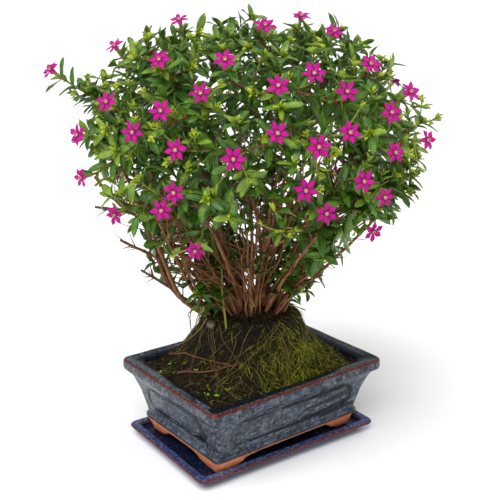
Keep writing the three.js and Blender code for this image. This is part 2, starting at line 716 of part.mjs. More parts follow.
// The stations of a twig: where its rings stand, which way it heads there, and where its leaf nodes are.
// One or two pairs of leaves grow crosswise from the faces between the rings of a node.
function stationsOf(limb) {
  const { path, radii, seed } = limb;
  const lengths = [0];
  for (let k = 1; k < path.length; k += 1) lengths.push(lengths[k - 1] + path[k].distanceTo(path[k - 1]));
  const total = lengths[lengths.length - 1];
  const at = (along) => {
    let k = 1;
    while (k < lengths.length - 1 && lengths[k] < along) k += 1;
    const share = (along - lengths[k - 1]) / (lengths[k] - lengths[k - 1]);
    return {
      along, node: -1, place: path[k - 1].clone().lerp(path[k], share),
      radius: radii[k - 1] + (radii[k] - radii[k - 1]) * share,
    };
  };
  const last = limb.bloom ? total - CALYX.length - 0.6 : total - 0.9;
  const nodes = [];
  let next = last;
  while (next > LEAF.bare) {
    nodes.unshift(next);
    next -= LEAF.spacing * (0.85 + 0.3 * draw(seed, nodes.length + 9));
  }
  const stations = [at(0)];
  nodes.forEach((along, k) => {
    const gap = along - LEAF.node - stations[stations.length - 1].along;
    if (gap > 1.3 * LEAF.spacing) stations.push(at(along - LEAF.node - gap / 2));
    stations.push({ ...at(along - LEAF.node), node: nodes.length - 1 - k }, at(along));
  });
  if (limb.bloom) stations.push(at(total - CALYX.length * 0.85));
  stations.push(at(total));
  const frame = { side: null };
  stations.forEach((station, k) => {
    const behind = stations[Math.max(k - 1, 0)].place;
    station.ahead = stations[Math.min(k + 1, stations.length - 1)].place.clone().sub(behind).normalize();
    if (!frame.side) {
      frame.side = squareTo(station.ahead).applyAxisAngle(station.ahead, Math.PI * draw(seed, 8));
    }
    const lean = frame.side.dot(station.ahead);
    frame.side = frame.side.clone().addScaledVector(station.ahead, -lean).normalize();
    station.side = frame.side;
    station.across = new THREE.Vector3().crossVectors(station.ahead, station.side);
  });
  return stations;
}

// Leaves of a twig, each on one face of a node, smaller towards the tip
function placeLeaves(limb) {
  const leaves = [];
  limb.stations.forEach((station, ring) => {
    if (station.node < 0) return;
    const age = Math.min(1, (station.node + 0.3 * draw(limb.seed, 7)) / 2);
    const size = LEAF.tipShare + (1 - LEAF.tipShare) * age;
    for (let face = 0; face < 4; face += 1) {
      const key = 400 + 16 * station.node + 4 * face;
      const second = (face + station.node) % 2 === 1;
      if (second && station.node > 1) continue;
      const turn = (face + 0.5) * (Math.PI / 2);
      const out = station.side.clone().multiplyScalar(Math.cos(turn))
        .addScaledVector(station.across, Math.sin(turn))
        .addScaledVector(station.ahead, 0.35 + 0.4 * draw(limb.seed, key)).normalize();
      const upper = station.ahead.clone().addScaledVector(UP, 0.35 + 0.5 * draw(limb.seed, key + 1));
      upper.addScaledVector(out, -out.dot(upper)).normalize();
      const rank = second ? LEAF.second : 1;
      const length = LEAF.length * size * rank * (0.85 + 0.3 * draw(limb.seed, key + 2));
      const root = station.place.clone().lerp(limb.stations[ring + 1].place, 0.5);
      leaves.push({ root, out, upper, length, ring, face });
    }
  });
  return leaves;
}

// The cross-sections and the tip of a pointed blade, folded up along its midrib and arched down
function bladeShape(leaf, extra = 0) {
  const { root, out, upper, length } = leaf;
  const side = new THREE.Vector3().crossVectors(upper, out);
  const width = (LEAF.width * Math.min(1.1, 0.45 + 0.55 * (length / LEAF.length))) / 2 + extra;
  const half = LEAF.thickness / 2 + extra;
  const spine = (t) => root.clone()
    .addScaledVector(out, length * t).addScaledVector(upper, -LEAF.droop * length * t * t);
  const sections = (length > LEAF.big ? [[0.3, 0.93], [0.68, 0.78]] : [[0.42, 1]]).map(([t, share]) => [
    spine(t).addScaledVector(side, width * share).addScaledVector(upper, LEAF.fold),
    spine(t).addScaledVector(upper, half),
    spine(t).addScaledVector(side, -width * share).addScaledVector(upper, LEAF.fold),
    spine(t).addScaledVector(upper, -half),
  ]);
  return { spine, sections, tip: spine(1).addScaledVector(out, extra) };
}

// A slightly larger blade, to test that a leaf keeps clear of what is there
function guardSolid(leaf) {
  const { spine, sections, tip } = bladeShape(leaf, LEAF.guard);
  const vertices = [spine(LEAF.clearFrom), ...sections.flat(), tip];
  const triangles = [];
  const end = vertices.length - 1;
  for (let i = 0; i < 4; i += 1) {
    const j = (i + 1) % 4;
    triangles.push(0, 1 + j, 1 + i, end, end - 4 + i, end - 4 + j);
    if (sections.length > 1) triangles.push(1 + i, 1 + j, 5 + j, 1 + i, 5 + j, 5 + i);
  }
  return solidOf(geometryOf(vertices, triangles));
}

// The corners of a twig's face in the order that twists a blade least between the face and its first section
function untwisted(corners, vertices, section) {
  const across = section[0].clone().sub(section[2]);
  const lean = (k) => vertices[corners[k]].clone().sub(vertices[corners[(k + 2) % 4]]).dot(across);
  const first = [0, 1, 2, 3].reduce((best, k) => (lean(k) > lean(best) ? k : best), 0);
  return [0, 1, 2, 3].map((k) => corners[(first + k) % 4]);
}

// A four-sided twig with its leaves drawn out of its own faces, as one closed skin
function twigSolid({ stations, leaves }) {
  const vertices = [];
  const triangles = [];
  const ringOf = (ring) => [0, 1, 2, 3].map((i) => 4 * ring + i);
  for (const { place, side, across, radius } of stations) {
    for (let i = 0; i < 4; i += 1) {
      const angle = (i * Math.PI) / 2;
      vertices.push(place.clone()
        .addScaledVector(side, radius * Math.cos(angle)).addScaledVector(across, radius * Math.sin(angle)));
    }
  }
  for (let ring = 0; ring < stations.length - 1; ring += 1) {
    const low = ringOf(ring);
    const high = ringOf(ring + 1);
    for (let i = 0; i < 4; i += 1) {
      const j = (i + 1) % 4;
      const leaf = leaves.find((other) => other.ring === ring && other.face === i);
      if (!leaf) {
        triangles.push(low[i], low[j], high[j], low[i], high[j], high[i]);
        continue;
      }
      const { sections, tip } = bladeShape(leaf);
      let base = untwisted([low[j], high[j], high[i], low[i]], vertices, sections[0]);
      for (const section of sections) {
        const next = section.map((vertex) => vertices.push(vertex) - 1);
        const middle = [...base, ...next].reduce((sum, k) => sum.add(vertices[k]), new THREE.Vector3());
        // Each side is split along the diagonal that stands further out, so that the blade's faces can't cross
        const reach = (a, b) => vertices[a].clone().add(vertices[b]).multiplyScalar(4).sub(middle).length();
        for (let q = 0; q < 4; q += 1) {
          const r = (q + 1) % 4;
          if (reach(base[q], next[r]) > reach(base[r], next[q])) {
            triangles.push(base[q], base[r], next[r], base[q], next[r], next[q]);
          } else {
            triangles.push(base[q], base[r], next[q], base[r], next[r], next[q]);
          }
        }
        base = next;
      }
      const last = vertices.push(tip) - 1;
      for (let q = 0; q < 4; q += 1) triangles.push(base[q], base[(q + 1) % 4], last);
    }
  }
  const end = ringOf(stations.length - 1);
  triangles.push(0, 2, 1, 0, 3, 2, end[0], end[1], end[2], end[0], end[2], end[3]);
  return solidOf(geometryOf(vertices, triangles));
}

// A star of six pointed petals round a raised middle, thin towards its edges
function bloomGeometry({ centre, facing }, index) {
  const across = squareTo(facing).negate();
  const over = new THREE.Vector3().crossVectors(facing, across);
  const start = draw(index, 30) * Math.PI;
  const size = 0.92 + 0.12 * draw(index, 31);
  const place = (radius, angle, rise) => centre.clone()
    .addScaledVector(across, radius * Math.cos(angle))
    .addScaledVector(over, radius * Math.sin(angle))
    .addScaledVector(facing, rise);
  const rim = [];
  for (let k = 0; k < BLOOM.petals; k += 1) {
    const angle = start + (2 * Math.PI * k) / BLOOM.petals;
    const step = Math.PI / BLOOM.petals;
    const spread = Math.atan2(BLOOM.petalWidth / 2, BLOOM.shoulder);
    rim.push(
      place(BLOOM.notch, angle - step, 0.2),
      place(BLOOM.shoulder * size, angle - spread, BLOOM.cup * 0.7),
      place(BLOOM.radius * size, angle, BLOOM.cup),
      place(BLOOM.shoulder * size, angle + spread, BLOOM.cup * 0.7),
    );
  }
  const vertices = [...rim, place(0, 0, 0.9), place(0, 0, -BLOOM.hub)];
  const triangles = [];
  for (let i = 0; i < rim.length; i += 1) {
    const j = (i + 1) % rim.length;
    triangles.push(rim.length, i, j, rim.length + 1, j, i);
  }
  return geometryOf(vertices, triangles);
}

function boxOf(solid) {
  const { min, max } = solid.boundingBox();
  return new THREE.Box3(new THREE.Vector3(...min), new THREE.Vector3(...max));
}

// Root crown: the plug of old wood that the stems rise from, in the mound's hole
function crownPlug() {
  const { sides, socketRadius, socketDepth } = MOUND;
  const radius = socketRadius - SEAT_GAP - 0.05;
  return solidOf(skin([
    circleAt(radius, SOCKET_TOP_Z - socketDepth + SEAT_GAP, sides),
    circleAt(radius, SOCKET_TOP_Z - 0.6, sides),
    circleAt(radius - 6, SOCKET_TOP_Z + 1.5, sides),
  ]));
}

// Assembly
const model = new THREE.Group();

function add(name, geometry, color, roughness, metalness = 0) {
  geometry.computeVertexNormals();
  const mesh = new THREE.Mesh(geometry, new THREE.MeshStandardMaterial({ color, roughness, metalness }));
  mesh.name = name;
  model.add(mesh);
  return mesh;
}

add('saucer', saucerGeometry(), COLOUR.saucer, 0.25).rotation.z = radians(SAUCER.turn);
add('pot', potGeometry(), COLOUR.glaze, 0.3);
add('drain_mesh', geometryOfSolid(meshSolid()), COLOUR.plastic, 0.6);
const soil = add('soil', geometryOfSolid(soilSolid()), COLOUR.soil, 0.95);

// The pebble lies in a dent that it has pressed into the mound's shoulder
const bareMound = moundSolid();
const bareMoundMesh = new THREE.Mesh(geometryOfSolid(bareMound));
const pebblePlace = firstMet([bareMoundMesh], sight.eye, sightLine(PEBBLE_PIXEL));
function pebbleSolid(grow) {
  const geometry = new THREE.IcosahedronGeometry(PEBBLE.radius + grow, 1);
  geometry.scale(1, 1, PEBBLE.flat);
  geometry.translate(pebblePlace.x, pebblePlace.y, pebblePlace.z);
  return solidOf(geometry);
}
add('pebble', geometryOfSolid(pebbleSolid(0)), COLOUR.stone, 0.8);
const dented = bareMound.subtract(pebbleSolid(2 * SEAT_GAP));
const mound = add('root_mound', geometryOfSolid(dented), COLOUR.moss, 0.95);

// Two dry twigs that have fallen across each other, each point lying on the highest ground beside it
const ground = [soil, mound];
const fallen = FALLEN_TWIGS.map((pixels) => {
  const places = pixels.map((pixel) => firstMet(ground, sight.eye, sightLine(pixel)));
  const path = new THREE.CatmullRomCurve3(places).getPoints(FALLEN.steps);
  path.forEach((place) => {
    place.z = groundUnder(ground, place, 2) + FALLEN.lift;
  });
  return solidOf(tube(path, taper(FALLEN.baseRadius, FALLEN.tipRadius, path.length), 5));
});
add('fallen_twigs', geometryOfSolid(join(fallen)), COLOUR.dryTwig, 0.85);

// The long green shoot that rises from the front of the mound
const shootPath = LONG_SHOOT.path.map((pixel) => behindPixel(pixel, LONG_SHOOT.back));
shootPath[0].z = groundUnder(ground, shootPath[0], LONG_SHOOT.baseRadius) + 2 * SEAT_GAP;

const { stems, hubs } = growWood(shootPath);
const blooms = placeBlooms();
const boughs = growBoughs(hubs, blooms, placeShoots(blooms), stems, shootPath);
const poles = stems.map(({ path, radii, sides }) => solidOf(tube(path, radii, sides)));
const wood = join([crownPlug(), ...poles]);
add('woody_stems', geometryOfSolid(wood), COLOUR.wood, 0.85);

// Leaves are kept where they stand clear of the wood, the blooms and every other leaf and twig
const bloomGeometries = blooms.map(bloomGeometry);
const taken = [wood, ...bloomGeometries.map(solidOf)].map((solid) => ({ solid, box: boxOf(solid) }));
const limbs = boughs.flatMap((bough) => bough.limbs.map((limb) => ({ ...limb, owner: bough.owner })));
for (const limb of limbs) {
  const solid = solidOf(tube(limb.path, limb.radii, TWIG.sides));
  taken.push({ solid, box: boxOf(solid) });
}
for (const limb of limbs) {
  for (const leaf of placeLeaves(limb)) {
    const solid = guardSolid(leaf);
    const box = boxOf(solid);
    const meets = (other) => other.box.intersectsBox(box) && !solid.intersect(other.solid).isEmpty();
    if (taken.some(meets)) continue;
    limb.leaves.push(leaf);
    taken.push({ solid, box });
  }
}
for (const bough of boughs) {
  const twigs = limbs.filter((limb) => limb.owner === bough.owner).map(twigSolid);
  add(bough.name, geometryOfSolid(join(twigs)), COLOUR.leaf, 0.45);
}
bloomGeometries.forEach((geometry, k) => {
  add(`bloom_${String(k + 1).padStart(2, '0')}`, geometry, COLOUR.petal, 0.5);
});

export default model;
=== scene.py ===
"""Cuphea bonsai in a glazed pot on its saucer, dressed over its measured solids.

Sizes inside the classes are in millimetres, in the frame of the solids: Z up, the origin on the table
under the middle of the saucer, X along the pot's long side. A Shape turns them into metres when it
becomes a piece.
"""

import logging
import math
from dataclasses import dataclass, field
from enum import Enum
from typing import Iterable, Optional, Sequence

import bpy
import numpy as np
from mathutils import Euler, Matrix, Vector, noise
from mathutils.bvhtree import BVHTree


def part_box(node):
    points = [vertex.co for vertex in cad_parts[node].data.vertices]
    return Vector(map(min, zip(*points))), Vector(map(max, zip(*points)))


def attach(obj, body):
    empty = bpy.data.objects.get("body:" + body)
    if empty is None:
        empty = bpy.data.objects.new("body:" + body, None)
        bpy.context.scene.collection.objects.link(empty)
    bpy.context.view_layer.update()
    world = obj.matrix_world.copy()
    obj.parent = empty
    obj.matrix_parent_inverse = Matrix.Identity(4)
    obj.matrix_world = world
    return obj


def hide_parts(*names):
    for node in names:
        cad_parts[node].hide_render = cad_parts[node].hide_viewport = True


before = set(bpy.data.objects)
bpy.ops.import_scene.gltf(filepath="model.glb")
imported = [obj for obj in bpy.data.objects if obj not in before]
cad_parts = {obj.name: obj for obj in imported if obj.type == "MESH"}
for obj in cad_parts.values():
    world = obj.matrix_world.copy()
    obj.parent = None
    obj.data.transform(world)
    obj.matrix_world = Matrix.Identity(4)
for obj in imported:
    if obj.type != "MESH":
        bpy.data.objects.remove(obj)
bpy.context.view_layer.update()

log = logging.getLogger("bonsai")

MM = 0.001
BODY = "root"
SEAT_GAP = 0.3
UP = np.array([0.0, 0.0, 1.0])
GOLDEN_ANGLE = math.pi * (3 - math.sqrt(5))
NOISE_RANGE = (0.3, 0.7)
SHOOT_SEED = 199


class Slot(Enum):
    """Names of the material slots of the record."""

    SAUCER = "saucer_glaze"
    POT = "pot_glaze"
    MESH = "plastic_mesh"
    SOIL = "soil"
    PEBBLE = "pebble"
    MOSS = "moss_and_peat"
    DRY_TWIG = "dry_twig"
    BARK = "bark"
    FOLIAGE = "foliage"
    PETAL = "petal"


def draw(thing: int, question: int) -> float:
    """Gives a repeatable draw between 0 and 1.

    Args:
        thing: Number of the thing that is drawn for.
        question: Number of the question that is answered.

    Returns:
        The same number for the same two numbers, each time.
    """
    mask = 0xFFFFFFFF
    n = ((thing + 1) * 374761393 + (question + 1) * 668265263) & mask
    n = ((n ^ (n >> 13)) * 1274126177) & mask
    return (n ^ (n >> 16)) / 4294967296


def vec(x: float, y: float, z: float) -> np.ndarray:
    """Gives a place or direction as an array."""
    return np.array([x, y, z], float)


def length_of(line: np.ndarray) -> float:
    """Gives the length of a line."""
    return float(math.sqrt(line[0] ** 2 + line[1] ** 2 + line[2] ** 2))


def unit(line: np.ndarray) -> np.ndarray:
    """Gives a direction of length one."""
    return line / max(length_of(line), 1e-12)


def cross(a: np.ndarray, b: np.ndarray) -> np.ndarray:
    """Gives the direction square to two others."""
    return vec(a[1] * b[2] - a[2] * b[1], a[2] * b[0] - a[0] * b[2], a[0] * b[1] - a[1] * b[0])


def turned(line: np.ndarray, axis: np.ndarray, angle: float) -> np.ndarray:
    """Turns a direction about an axis.

    Args:
        line: Direction to turn.
        axis: Axis of length one.
        angle: Angle in radians, by the right-hand rule.

    Returns:
        The turned direction.
    """
    c, s = math.cos(angle), math.sin(angle)
    return line * c + cross(axis, line) * s + axis * (float(axis @ line) * (1 - c))


def square_to(line: np.ndarray) -> np.ndarray:
    """Gives a direction square to another one."""
    return unit(cross(UP if abs(line[2]) < 0.9 else vec(1, 0, 0), line))


def swung(line: np.ndarray, turn: float) -> np.ndarray:
    """Gives a direction square to another one, at a turn about it."""
    side = square_to(line)
    return side * math.cos(turn) + cross(line, side) * math.sin(turn)


def units(lines: np.ndarray) -> np.ndarray:
    """Gives directions of length one, row by row."""
    return lines / np.maximum(np.linalg.norm(lines, axis=1, keepdims=True), 1e-9)


def heading(path: np.ndarray, k: int = -1) -> np.ndarray:
    """Gives the direction in which a path reaches one of its points."""
    return unit(path[k] - path[k - 1])


def turns(count: int) -> np.ndarray:
    """Gives angles evenly round a circle."""
    return 2 * math.pi * np.arange(count) / count


def taper(start: float, end: float, count: int) -> np.ndarray:
    """Gives radii that run evenly from one value to another."""
    return np.linspace(start, end, count)


def smooth_through(places: np.ndarray, spacing: float) -> np.ndarray:
    """Draws a smooth line through places.

    Args:
        places: Places that the line passes, in order.
        spacing: Wanted distance between its points.

    Returns:
        Points of the line, its two ends included.
    """
    places = np.asarray(places, float)
    padded = np.vstack([2 * places[0] - places[1], places, 2 * places[-1] - places[-2]])
    line = [places[0]]
    for k in range(len(places) - 1):
        before, start, end, after = padded[k : k + 4]
        count = max(1, int(round(np.linalg.norm(end - start) / spacing)))
        for t in np.arange(1, count + 1) / count:
            line.append(
                0.5 * (2 * start + (end - before) * t + (2 * before - 5 * start + 4 * end - after) * t**2
                       + (3 * start - before - 3 * end + after) * t**3)
            )
    return np.array(line)


def along_of(path: np.ndarray) -> np.ndarray:
    """Gives the distance along a path at each of its points."""
    return np.concatenate([[0.0], np.cumsum(np.linalg.norm(np.diff(path, axis=0), axis=1))])


def spot_on(path: np.ndarray, lengths: np.ndarray, along: float) -> tuple[np.ndarray, int]:
    """Gives the place a distance along a path, and the number of the point that follows it."""
    place = np.array([np.interp(along, lengths, path[:, axis]) for axis in range(3)])
    return place, min(int(np.searchsorted(lengths, along)), len(path) - 1)


def rounded(table: Sequence[Sequence[float]], at: np.ndarray) -> np.ndarray:
    """Reads a table with a smooth line that never swings past its values.

    Args:
        table: Pairs of a rising value and what belongs to it.
        at: Values to read the line at.

    Returns:
        What belongs to each value.
    """
    x, y = np.array(table, float).T
    step = np.diff(x)
    slope = np.diff(y) / step
    lean = np.zeros_like(x)
    same = slope[:-1] * slope[1:] > 0
    lean[1:-1][same] = 2 * slope[:-1][same] * slope[1:][same] / (slope[:-1][same] + slope[1:][same])
    lean[0], lean[-1] = slope[0], slope[-1]
    k = np.clip(np.searchsorted(x, at) - 1, 0, len(step) - 1)
    t = np.clip((at - x[k]) / step[k], 0, 1)
    return (
        y[k] * (1 + 2 * t) * (1 - t) ** 2 + y[k + 1] * t**2 * (3 - 2 * t)
        + step[k] * (lean[k] * t * (1 - t) ** 2 - lean[k + 1] * t**2 * (1 - t))
    )


def grain(places: np.ndarray, size: float, seed: float = 0.0,
          stretch: Sequence[float] = (1, 1, 1)) -> np.ndarray:
    """Gives soft noise between about -1 and 1 at places.

    Args:
        places: Places in millimetres.
        size: Rough size of a grain in millimetres.
        seed: Moves the noise, so that two uses differ.
        stretch: Stretch of the grains along X, Y and Z.

    Returns:
        One value for each place.
    """
    scaled = np.asarray(places, float) / (size * np.asarray(stretch, float)) + seed
    return np.array([noise.noise(Vector(p)) for p in scaled])


def mask_between(value: np.ndarray, low: float, high: float) -> np.ndarray:
    """Gives 0 below a low value, 1 above a high one, and a soft step between."""
    t = np.clip((value - low) / (high - low), 0, 1)
    return t * t * (3 - 2 * t)


@dataclass
class Shape:
    """A piece in the making: places, faces, and named values at each place."""

    values: tuple[str, ...] = ()
    places: list[np.ndarray] = field(default_factory=list)
    faces: list[tuple[np.ndarray, int]] = field(default_factory=list)
    painted: dict[str, list[np.ndarray]] = field(default_factory=dict)
    count: int = 0

    def add(self, places: np.ndarray, faces: Iterable[np.ndarray], finish: int = 0,
            **painted: object) -> None:
        """Adds places and the faces between them.

        Args:
            places: Places in millimetres.
            faces: Arrays of faces, each with one number of corners.
            finish: Number of the finish that these faces have.
            **painted: A value, or one for each place, for each of the shape's value names.
        """
        places = np.asarray(places, float).reshape(-1, 3)
        self.places.append(places)
        for block in faces:
            block = np.asarray(block, int)
            if len(block):
                self.faces.append((block + self.count, finish))
        for name in self.values:
            value = np.broadcast_to(np.asarray(painted.get(name, 0.0), float), (len(places),))
            self.painted.setdefault(name, []).append(value)
        self.count += len(places)

    def add_tube(self, path: np.ndarray, radii: np.ndarray, sides: int, ridge: float = 0.0,
                 ridges: int = 5, **painted: object) -> None:
        """Adds a tube that knows how far along and round each of its places lies.

        Args:
            path: Points of the path.
            radii: Radius at each point.
            sides: Number of places round the tube.
            ridge: Share of the radius that long ridges stand out.
            ridges: Number of ridges.
            **painted: Other values of the shape.
        """
        places, faces, along, around = tube(path, radii, sides, ridge, ridges)
        self.add(places, faces, along=along, around=around, **painted)

    def add_many(self, places: np.ndarray, faces: Iterable[np.ndarray], finish: int = 0,
                 **painted: object) -> None:
        """Adds many copies of one pattern of faces.

        Args:
            places: Places in millimetres, copy by copy.
            faces: Arrays of the pattern's faces, each with one number of corners.
            finish: Number of the finish that these faces have.
            **painted: Values shaped like the places of every copy.
        """
        copies, size = places.shape[:2]
        starts = (np.arange(copies) * size)[:, None, None]
        spread = [(np.asarray(b, int)[None] + starts).reshape(-1, np.asarray(b).shape[1]) for b in faces]
        flat = {n: np.broadcast_to(v, (copies, size)).reshape(-1) for n, v in painted.items()}
        self.add(places.reshape(-1, 3), spread, finish, **flat)

    def piece(
        self, name: str, finishes: Sequence[bpy.types.Material], slot: Slot, stands_for: Sequence[str] = (),
        soft: bool = True,
    ) -> bpy.types.Object:
        """Turns the shape into a piece that rides on the plant's body.

        Args:
            name: Name of the piece.
            finishes: Its finishes, in the order of their numbers.
            slot: Slot of the record that its finish belongs to; not used.
            stands_for: Nodes that it stands for.
            soft: Whether its faces shade smoothly into each other.

        Returns:
            The new object.
        """
        mesh = bpy.data.meshes.new(name)
        faces = [row for block, _ in self.faces for row in block.tolist()]
        mesh.from_pydata((np.concatenate(self.places) * MM).tolist(), [], faces)
        numbers = np.concatenate([np.full(len(block), finish) for block, finish in self.faces])
        mesh.polygons.foreach_set("material_index", numbers)
        mesh.polygons.foreach_set("use_smooth", np.full(len(faces), soft))
        for value in self.values:
            layer = mesh.attributes.new(value, "FLOAT", "POINT")
            layer.data.foreach_set("value", np.concatenate(self.painted[value]))
        for finish in finishes:
            mesh.materials.append(finish)
        mesh.update()
        piece = bpy.data.objects.new(name, mesh)
        bpy.context.scene.collection.objects.link(piece)
        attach(piece, BODY)
        if stands_for:
            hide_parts(*stands_for)
        log.info("%s: %d places, %d faces", name, len(mesh.vertices), len(faces))
        return piece


def band_faces(rings: int, around: int, closed: bool = False) -> np.ndarray:
    """Gives the faces between rings of equal count.

    Args:
        rings: Number of rings.
        around: Number of places on a ring.
        closed: Whether the last ring joins the first.

    Returns:
        Faces with four corners each, facing out where the rings run up and counter-clockwise.
    """
    r = np.arange(rings if closed else rings - 1)[:, None]
    i = np.arange(around)[None, :]
    low, high = r * around, ((r + 1) % rings) * around
    j = (i + 1) % around
    return np.stack([low + i, low + j, high + j, high + i], axis=-1).reshape(-1, 4)


def cap(start: int, count: int, flip: bool = False) -> np.ndarray:
    """Gives one face over a ring of places."""
    ring = np.arange(start, start + count)
    return (ring[::-1] if flip else ring)[None, :]


def loft_faces(rings: int, around: int) -> list[np.ndarray]:
    """Gives the faces of a stack of rings with a face over each end."""
    return [band_faces(rings, around), cap(0, around, True), cap((rings - 1) * around, around)]


def frames_along(path: np.ndarray) -> tuple[np.ndarray, np.ndarray]:
    """Gives two directions square to a path at each point, without twist.

    Args:
        path: Points of the path.

    Returns:
        The directions to the side and over it, point by point.
    """
    ahead = units(np.gradient(path, axis=0))
    side = square_to(ahead[0])
    sides = []
    for line in ahead:
        side = unit(side - line * float(side @ line))
        sides.append(side)
    sides = np.array(sides)
    return sides, np.cross(ahead, sides)


def tube(path: np.ndarray, radii: np.ndarray, sides: int, ridge: float = 0.0,
         ridges: int = 5) -> tuple[np.ndarray, list[np.ndarray], np.ndarray, np.ndarray]:
    """Draws a closed tube along a path.

    Args:
        path: Points of the path.
        radii: Radius at each point.
        sides: Number of places round the tube.
        ridge: Share of the radius that long ridges stand out.
        ridges: Number of ridges.

    Returns:
        Its places, its faces, and at each place the distance along and the share of the way
        round.
    """
    side, over = frames_along(path)
    angle = turns(sides)
    reach = np.asarray(radii)[:, None] * (1 + ridge * np.cos(ridges * angle))[None, :]
    places = (
        path[:, None] + side[:, None] * (reach * np.cos(angle))[..., None]
        + over[:, None] * (reach * np.sin(angle))[..., None]
    )
    along = np.repeat(along_of(path), sides)
    around = np.tile(angle / (2 * math.pi), len(path))
    return places.reshape(-1, 3), loft_faces(len(path), sides), along, around


def paint(code: str) -> tuple[float, float, float, float]:
    """Gives the linear colour of a six-figure code.

    Args:
        code: The code, with its number sign.

    Returns:
        Red, green, blue and an alpha of one.
    """
    parts = [int(code[k : k + 2], 16) / 255 for k in (1, 3, 5)]
    linear = [c / 12.92 if c <= 0.04045 else ((c + 0.055) / 1.055) ** 2.4 for c in parts]
    return (linear[0], linear[1], linear[2], 1.0)


class Wiring:
    """Builds the node tree of one finish."""

    def __init__(self, name: str) -> None:
        """Makes the material with a bare shader.

        Args:
            name: Name of the material.
        """
        self.material = bpy.data.materials.new(name)
        self.material.use_nodes = True
        self.tree = self.material.node_tree
        self.tree.nodes.clear()
        self.shader = self.tree.nodes.new("ShaderNodeBsdfPrincipled")
        output = self.tree.nodes.new("ShaderNodeOutputMaterial")
        self.tree.links.new(self.shader.outputs["BSDF"], output.inputs["Surface"])
        self.place = self.tree.nodes.new("ShaderNodeTexCoord").outputs["Object"]

    def put(self, socket: bpy.types.NodeSocket, value: object) -> None:
        """Links a socket to another one, or sets its value.

        Args:
            socket: Socket that is fed.
            value: Another socket, or a value.
        """
        if isinstance(value, bpy.types.NodeSocket):
            self.tree.links.new(value, socket)
        else:
            socket.default_value = value

    def give(self, **sockets: object) -> None:
        """Feeds sockets of the shader, with underscores for the blanks in their names."""
        for name, value in sockets.items():
            self.put(self.shader.inputs[name.replace("_", " ")], value)

    def value(self, name: str) -> bpy.types.NodeSocket:
        """Reads one of the piece's own values.

        Args:
            name: Name of the value.

        Returns:
            The socket that gives it.
        """
        node = self.tree.nodes.new("ShaderNodeAttribute")
        node.attribute_name = name
        return node.outputs["Fac"]

    def math(self, kind: str, *values: object, clamp: bool = False) -> bpy.types.NodeSocket:
        """Works out a number from one to three others.

        Args:
            kind: Name of the operation.
            *values: Numbers or sockets.
            clamp: Whether the result stays between 0 and 1.

        Returns:
            The socket that gives it.
        """
        node = self.tree.nodes.new("ShaderNodeMath")
        node.operation = kind
        node.use_clamp = clamp
        for socket, value in zip(node.inputs, values):
            self.put(socket, value)
        return node.outputs[0]

    def joined(self, x: object, y: object, z: object) -> bpy.types.NodeSocket:
        """Joins three numbers to a place.

        Args:
            x: Number or socket for X.
            y: The same for Y.
            z: The same for Z.

        Returns:
            The socket that gives it.
        """
        node = self.tree.nodes.new("ShaderNodeCombineXYZ")
        for socket, value in zip(node.inputs, (x, y, z)):
            self.put(socket, value)
        return node.outputs[0]

    def grain(self, size: float, detail: float = 3, rough: float = 0.55, at: object = None,
              warp: float = 0.0) -> bpy.types.NodeSocket:
        """Gives noise whose grains have a size in millimetres, or in units of the place it is read at.

        Args:
            size: Size of the grains.
            detail: Number of finer layers.
            rough: Share that the finer layers have.
            at: Place that it is read at, or the piece's own.
            warp: How far the grains are drawn out of shape.

        Returns:
            The socket that gives it.
        """
        node = self.tree.nodes.new("ShaderNodeTexNoise")
        self.put(node.inputs["Vector"], self.place if at is None else at)
        node.inputs["Scale"].default_value = 1 / (size * (MM if at is None else 1))
        node.inputs["Detail"].default_value = detail
        node.inputs["Roughness"].default_value = rough
        node.inputs["Distortion"].default_value = warp
        return node.outputs["Fac"]

    def cells(self, size: float) -> bpy.types.NodeSocket:
        """Gives the distance to the nearest of many scattered points.

        Args:
            size: Distance between the points in millimetres.

        Returns:
            The socket that gives it.
        """
        node = self.tree.nodes.new("ShaderNodeTexVoronoi")
        self.put(node.inputs["Vector"], self.place)
        node.inputs["Scale"].default_value = 1 / (size * MM)
        return node.outputs["Distance"]

    def ramp(self, value: object, *stops: tuple[float, object]) -> bpy.types.NodeSocket:
        """Turns a number into a colour, or a grey that stands for a number.

        Args:
            value: Number or socket that is read.
            *stops: Pairs of a number, and a colour code or a grey.

        Returns:
            The socket that gives it.
        """
        node = self.tree.nodes.new("ShaderNodeValToRGB")
        self.put(node.inputs["Fac"], value)
        stop_list = node.color_ramp.elements
        while len(stop_list) < len(stops):
            stop_list.new(0.5)
        for stop, (at, colour) in zip(stop_list, stops):
            stop.position = at
            stop.color = paint(colour) if isinstance(colour, str) else (colour, colour, colour, 1.0)
        return node.outputs["Color"]

    def blend(self, share: object, below: object, above: object) -> bpy.types.NodeSocket:
        """Blends two colours.

        Args:
            share: Share of the upper colour.
            below: Lower colour.
            above: Upper colour.

        Returns:
            The socket that gives it.
        """
        node = self.tree.nodes.new("ShaderNodeMix")
        node.data_type = "RGBA"
        self.put(node.inputs[0], share)
        for socket, colour in ((node.inputs[6], below), (node.inputs[7], above)):
            self.put(socket, paint(colour) if isinstance(colour, str) else colour)
        return node.outputs[2]

    def span(self, value: object, low: float, high: float, start: float = 0.0,
             end: float = 1.0) -> bpy.types.NodeSocket:
        """Maps a number from one range to another and keeps it there.

        Args:
            value: Number or socket that is mapped.
            low: Start of the range that it comes from.
            high: End of that range.
            start: What the start becomes.
            end: What the end becomes.

        Returns:
            The socket that gives it.
        """
        node = self.tree.nodes.new("ShaderNodeMapRange")
        for socket, number in zip(node.inputs, (value, low, high, start, end)):
            self.put(socket, number)
        return node.outputs[0]

    def vary(self, noise: object, low: float, high: float) -> bpy.types.NodeSocket:
        """Spreads noise over a range of numbers."""
        return self.span(noise, *NOISE_RANGE, low, high)

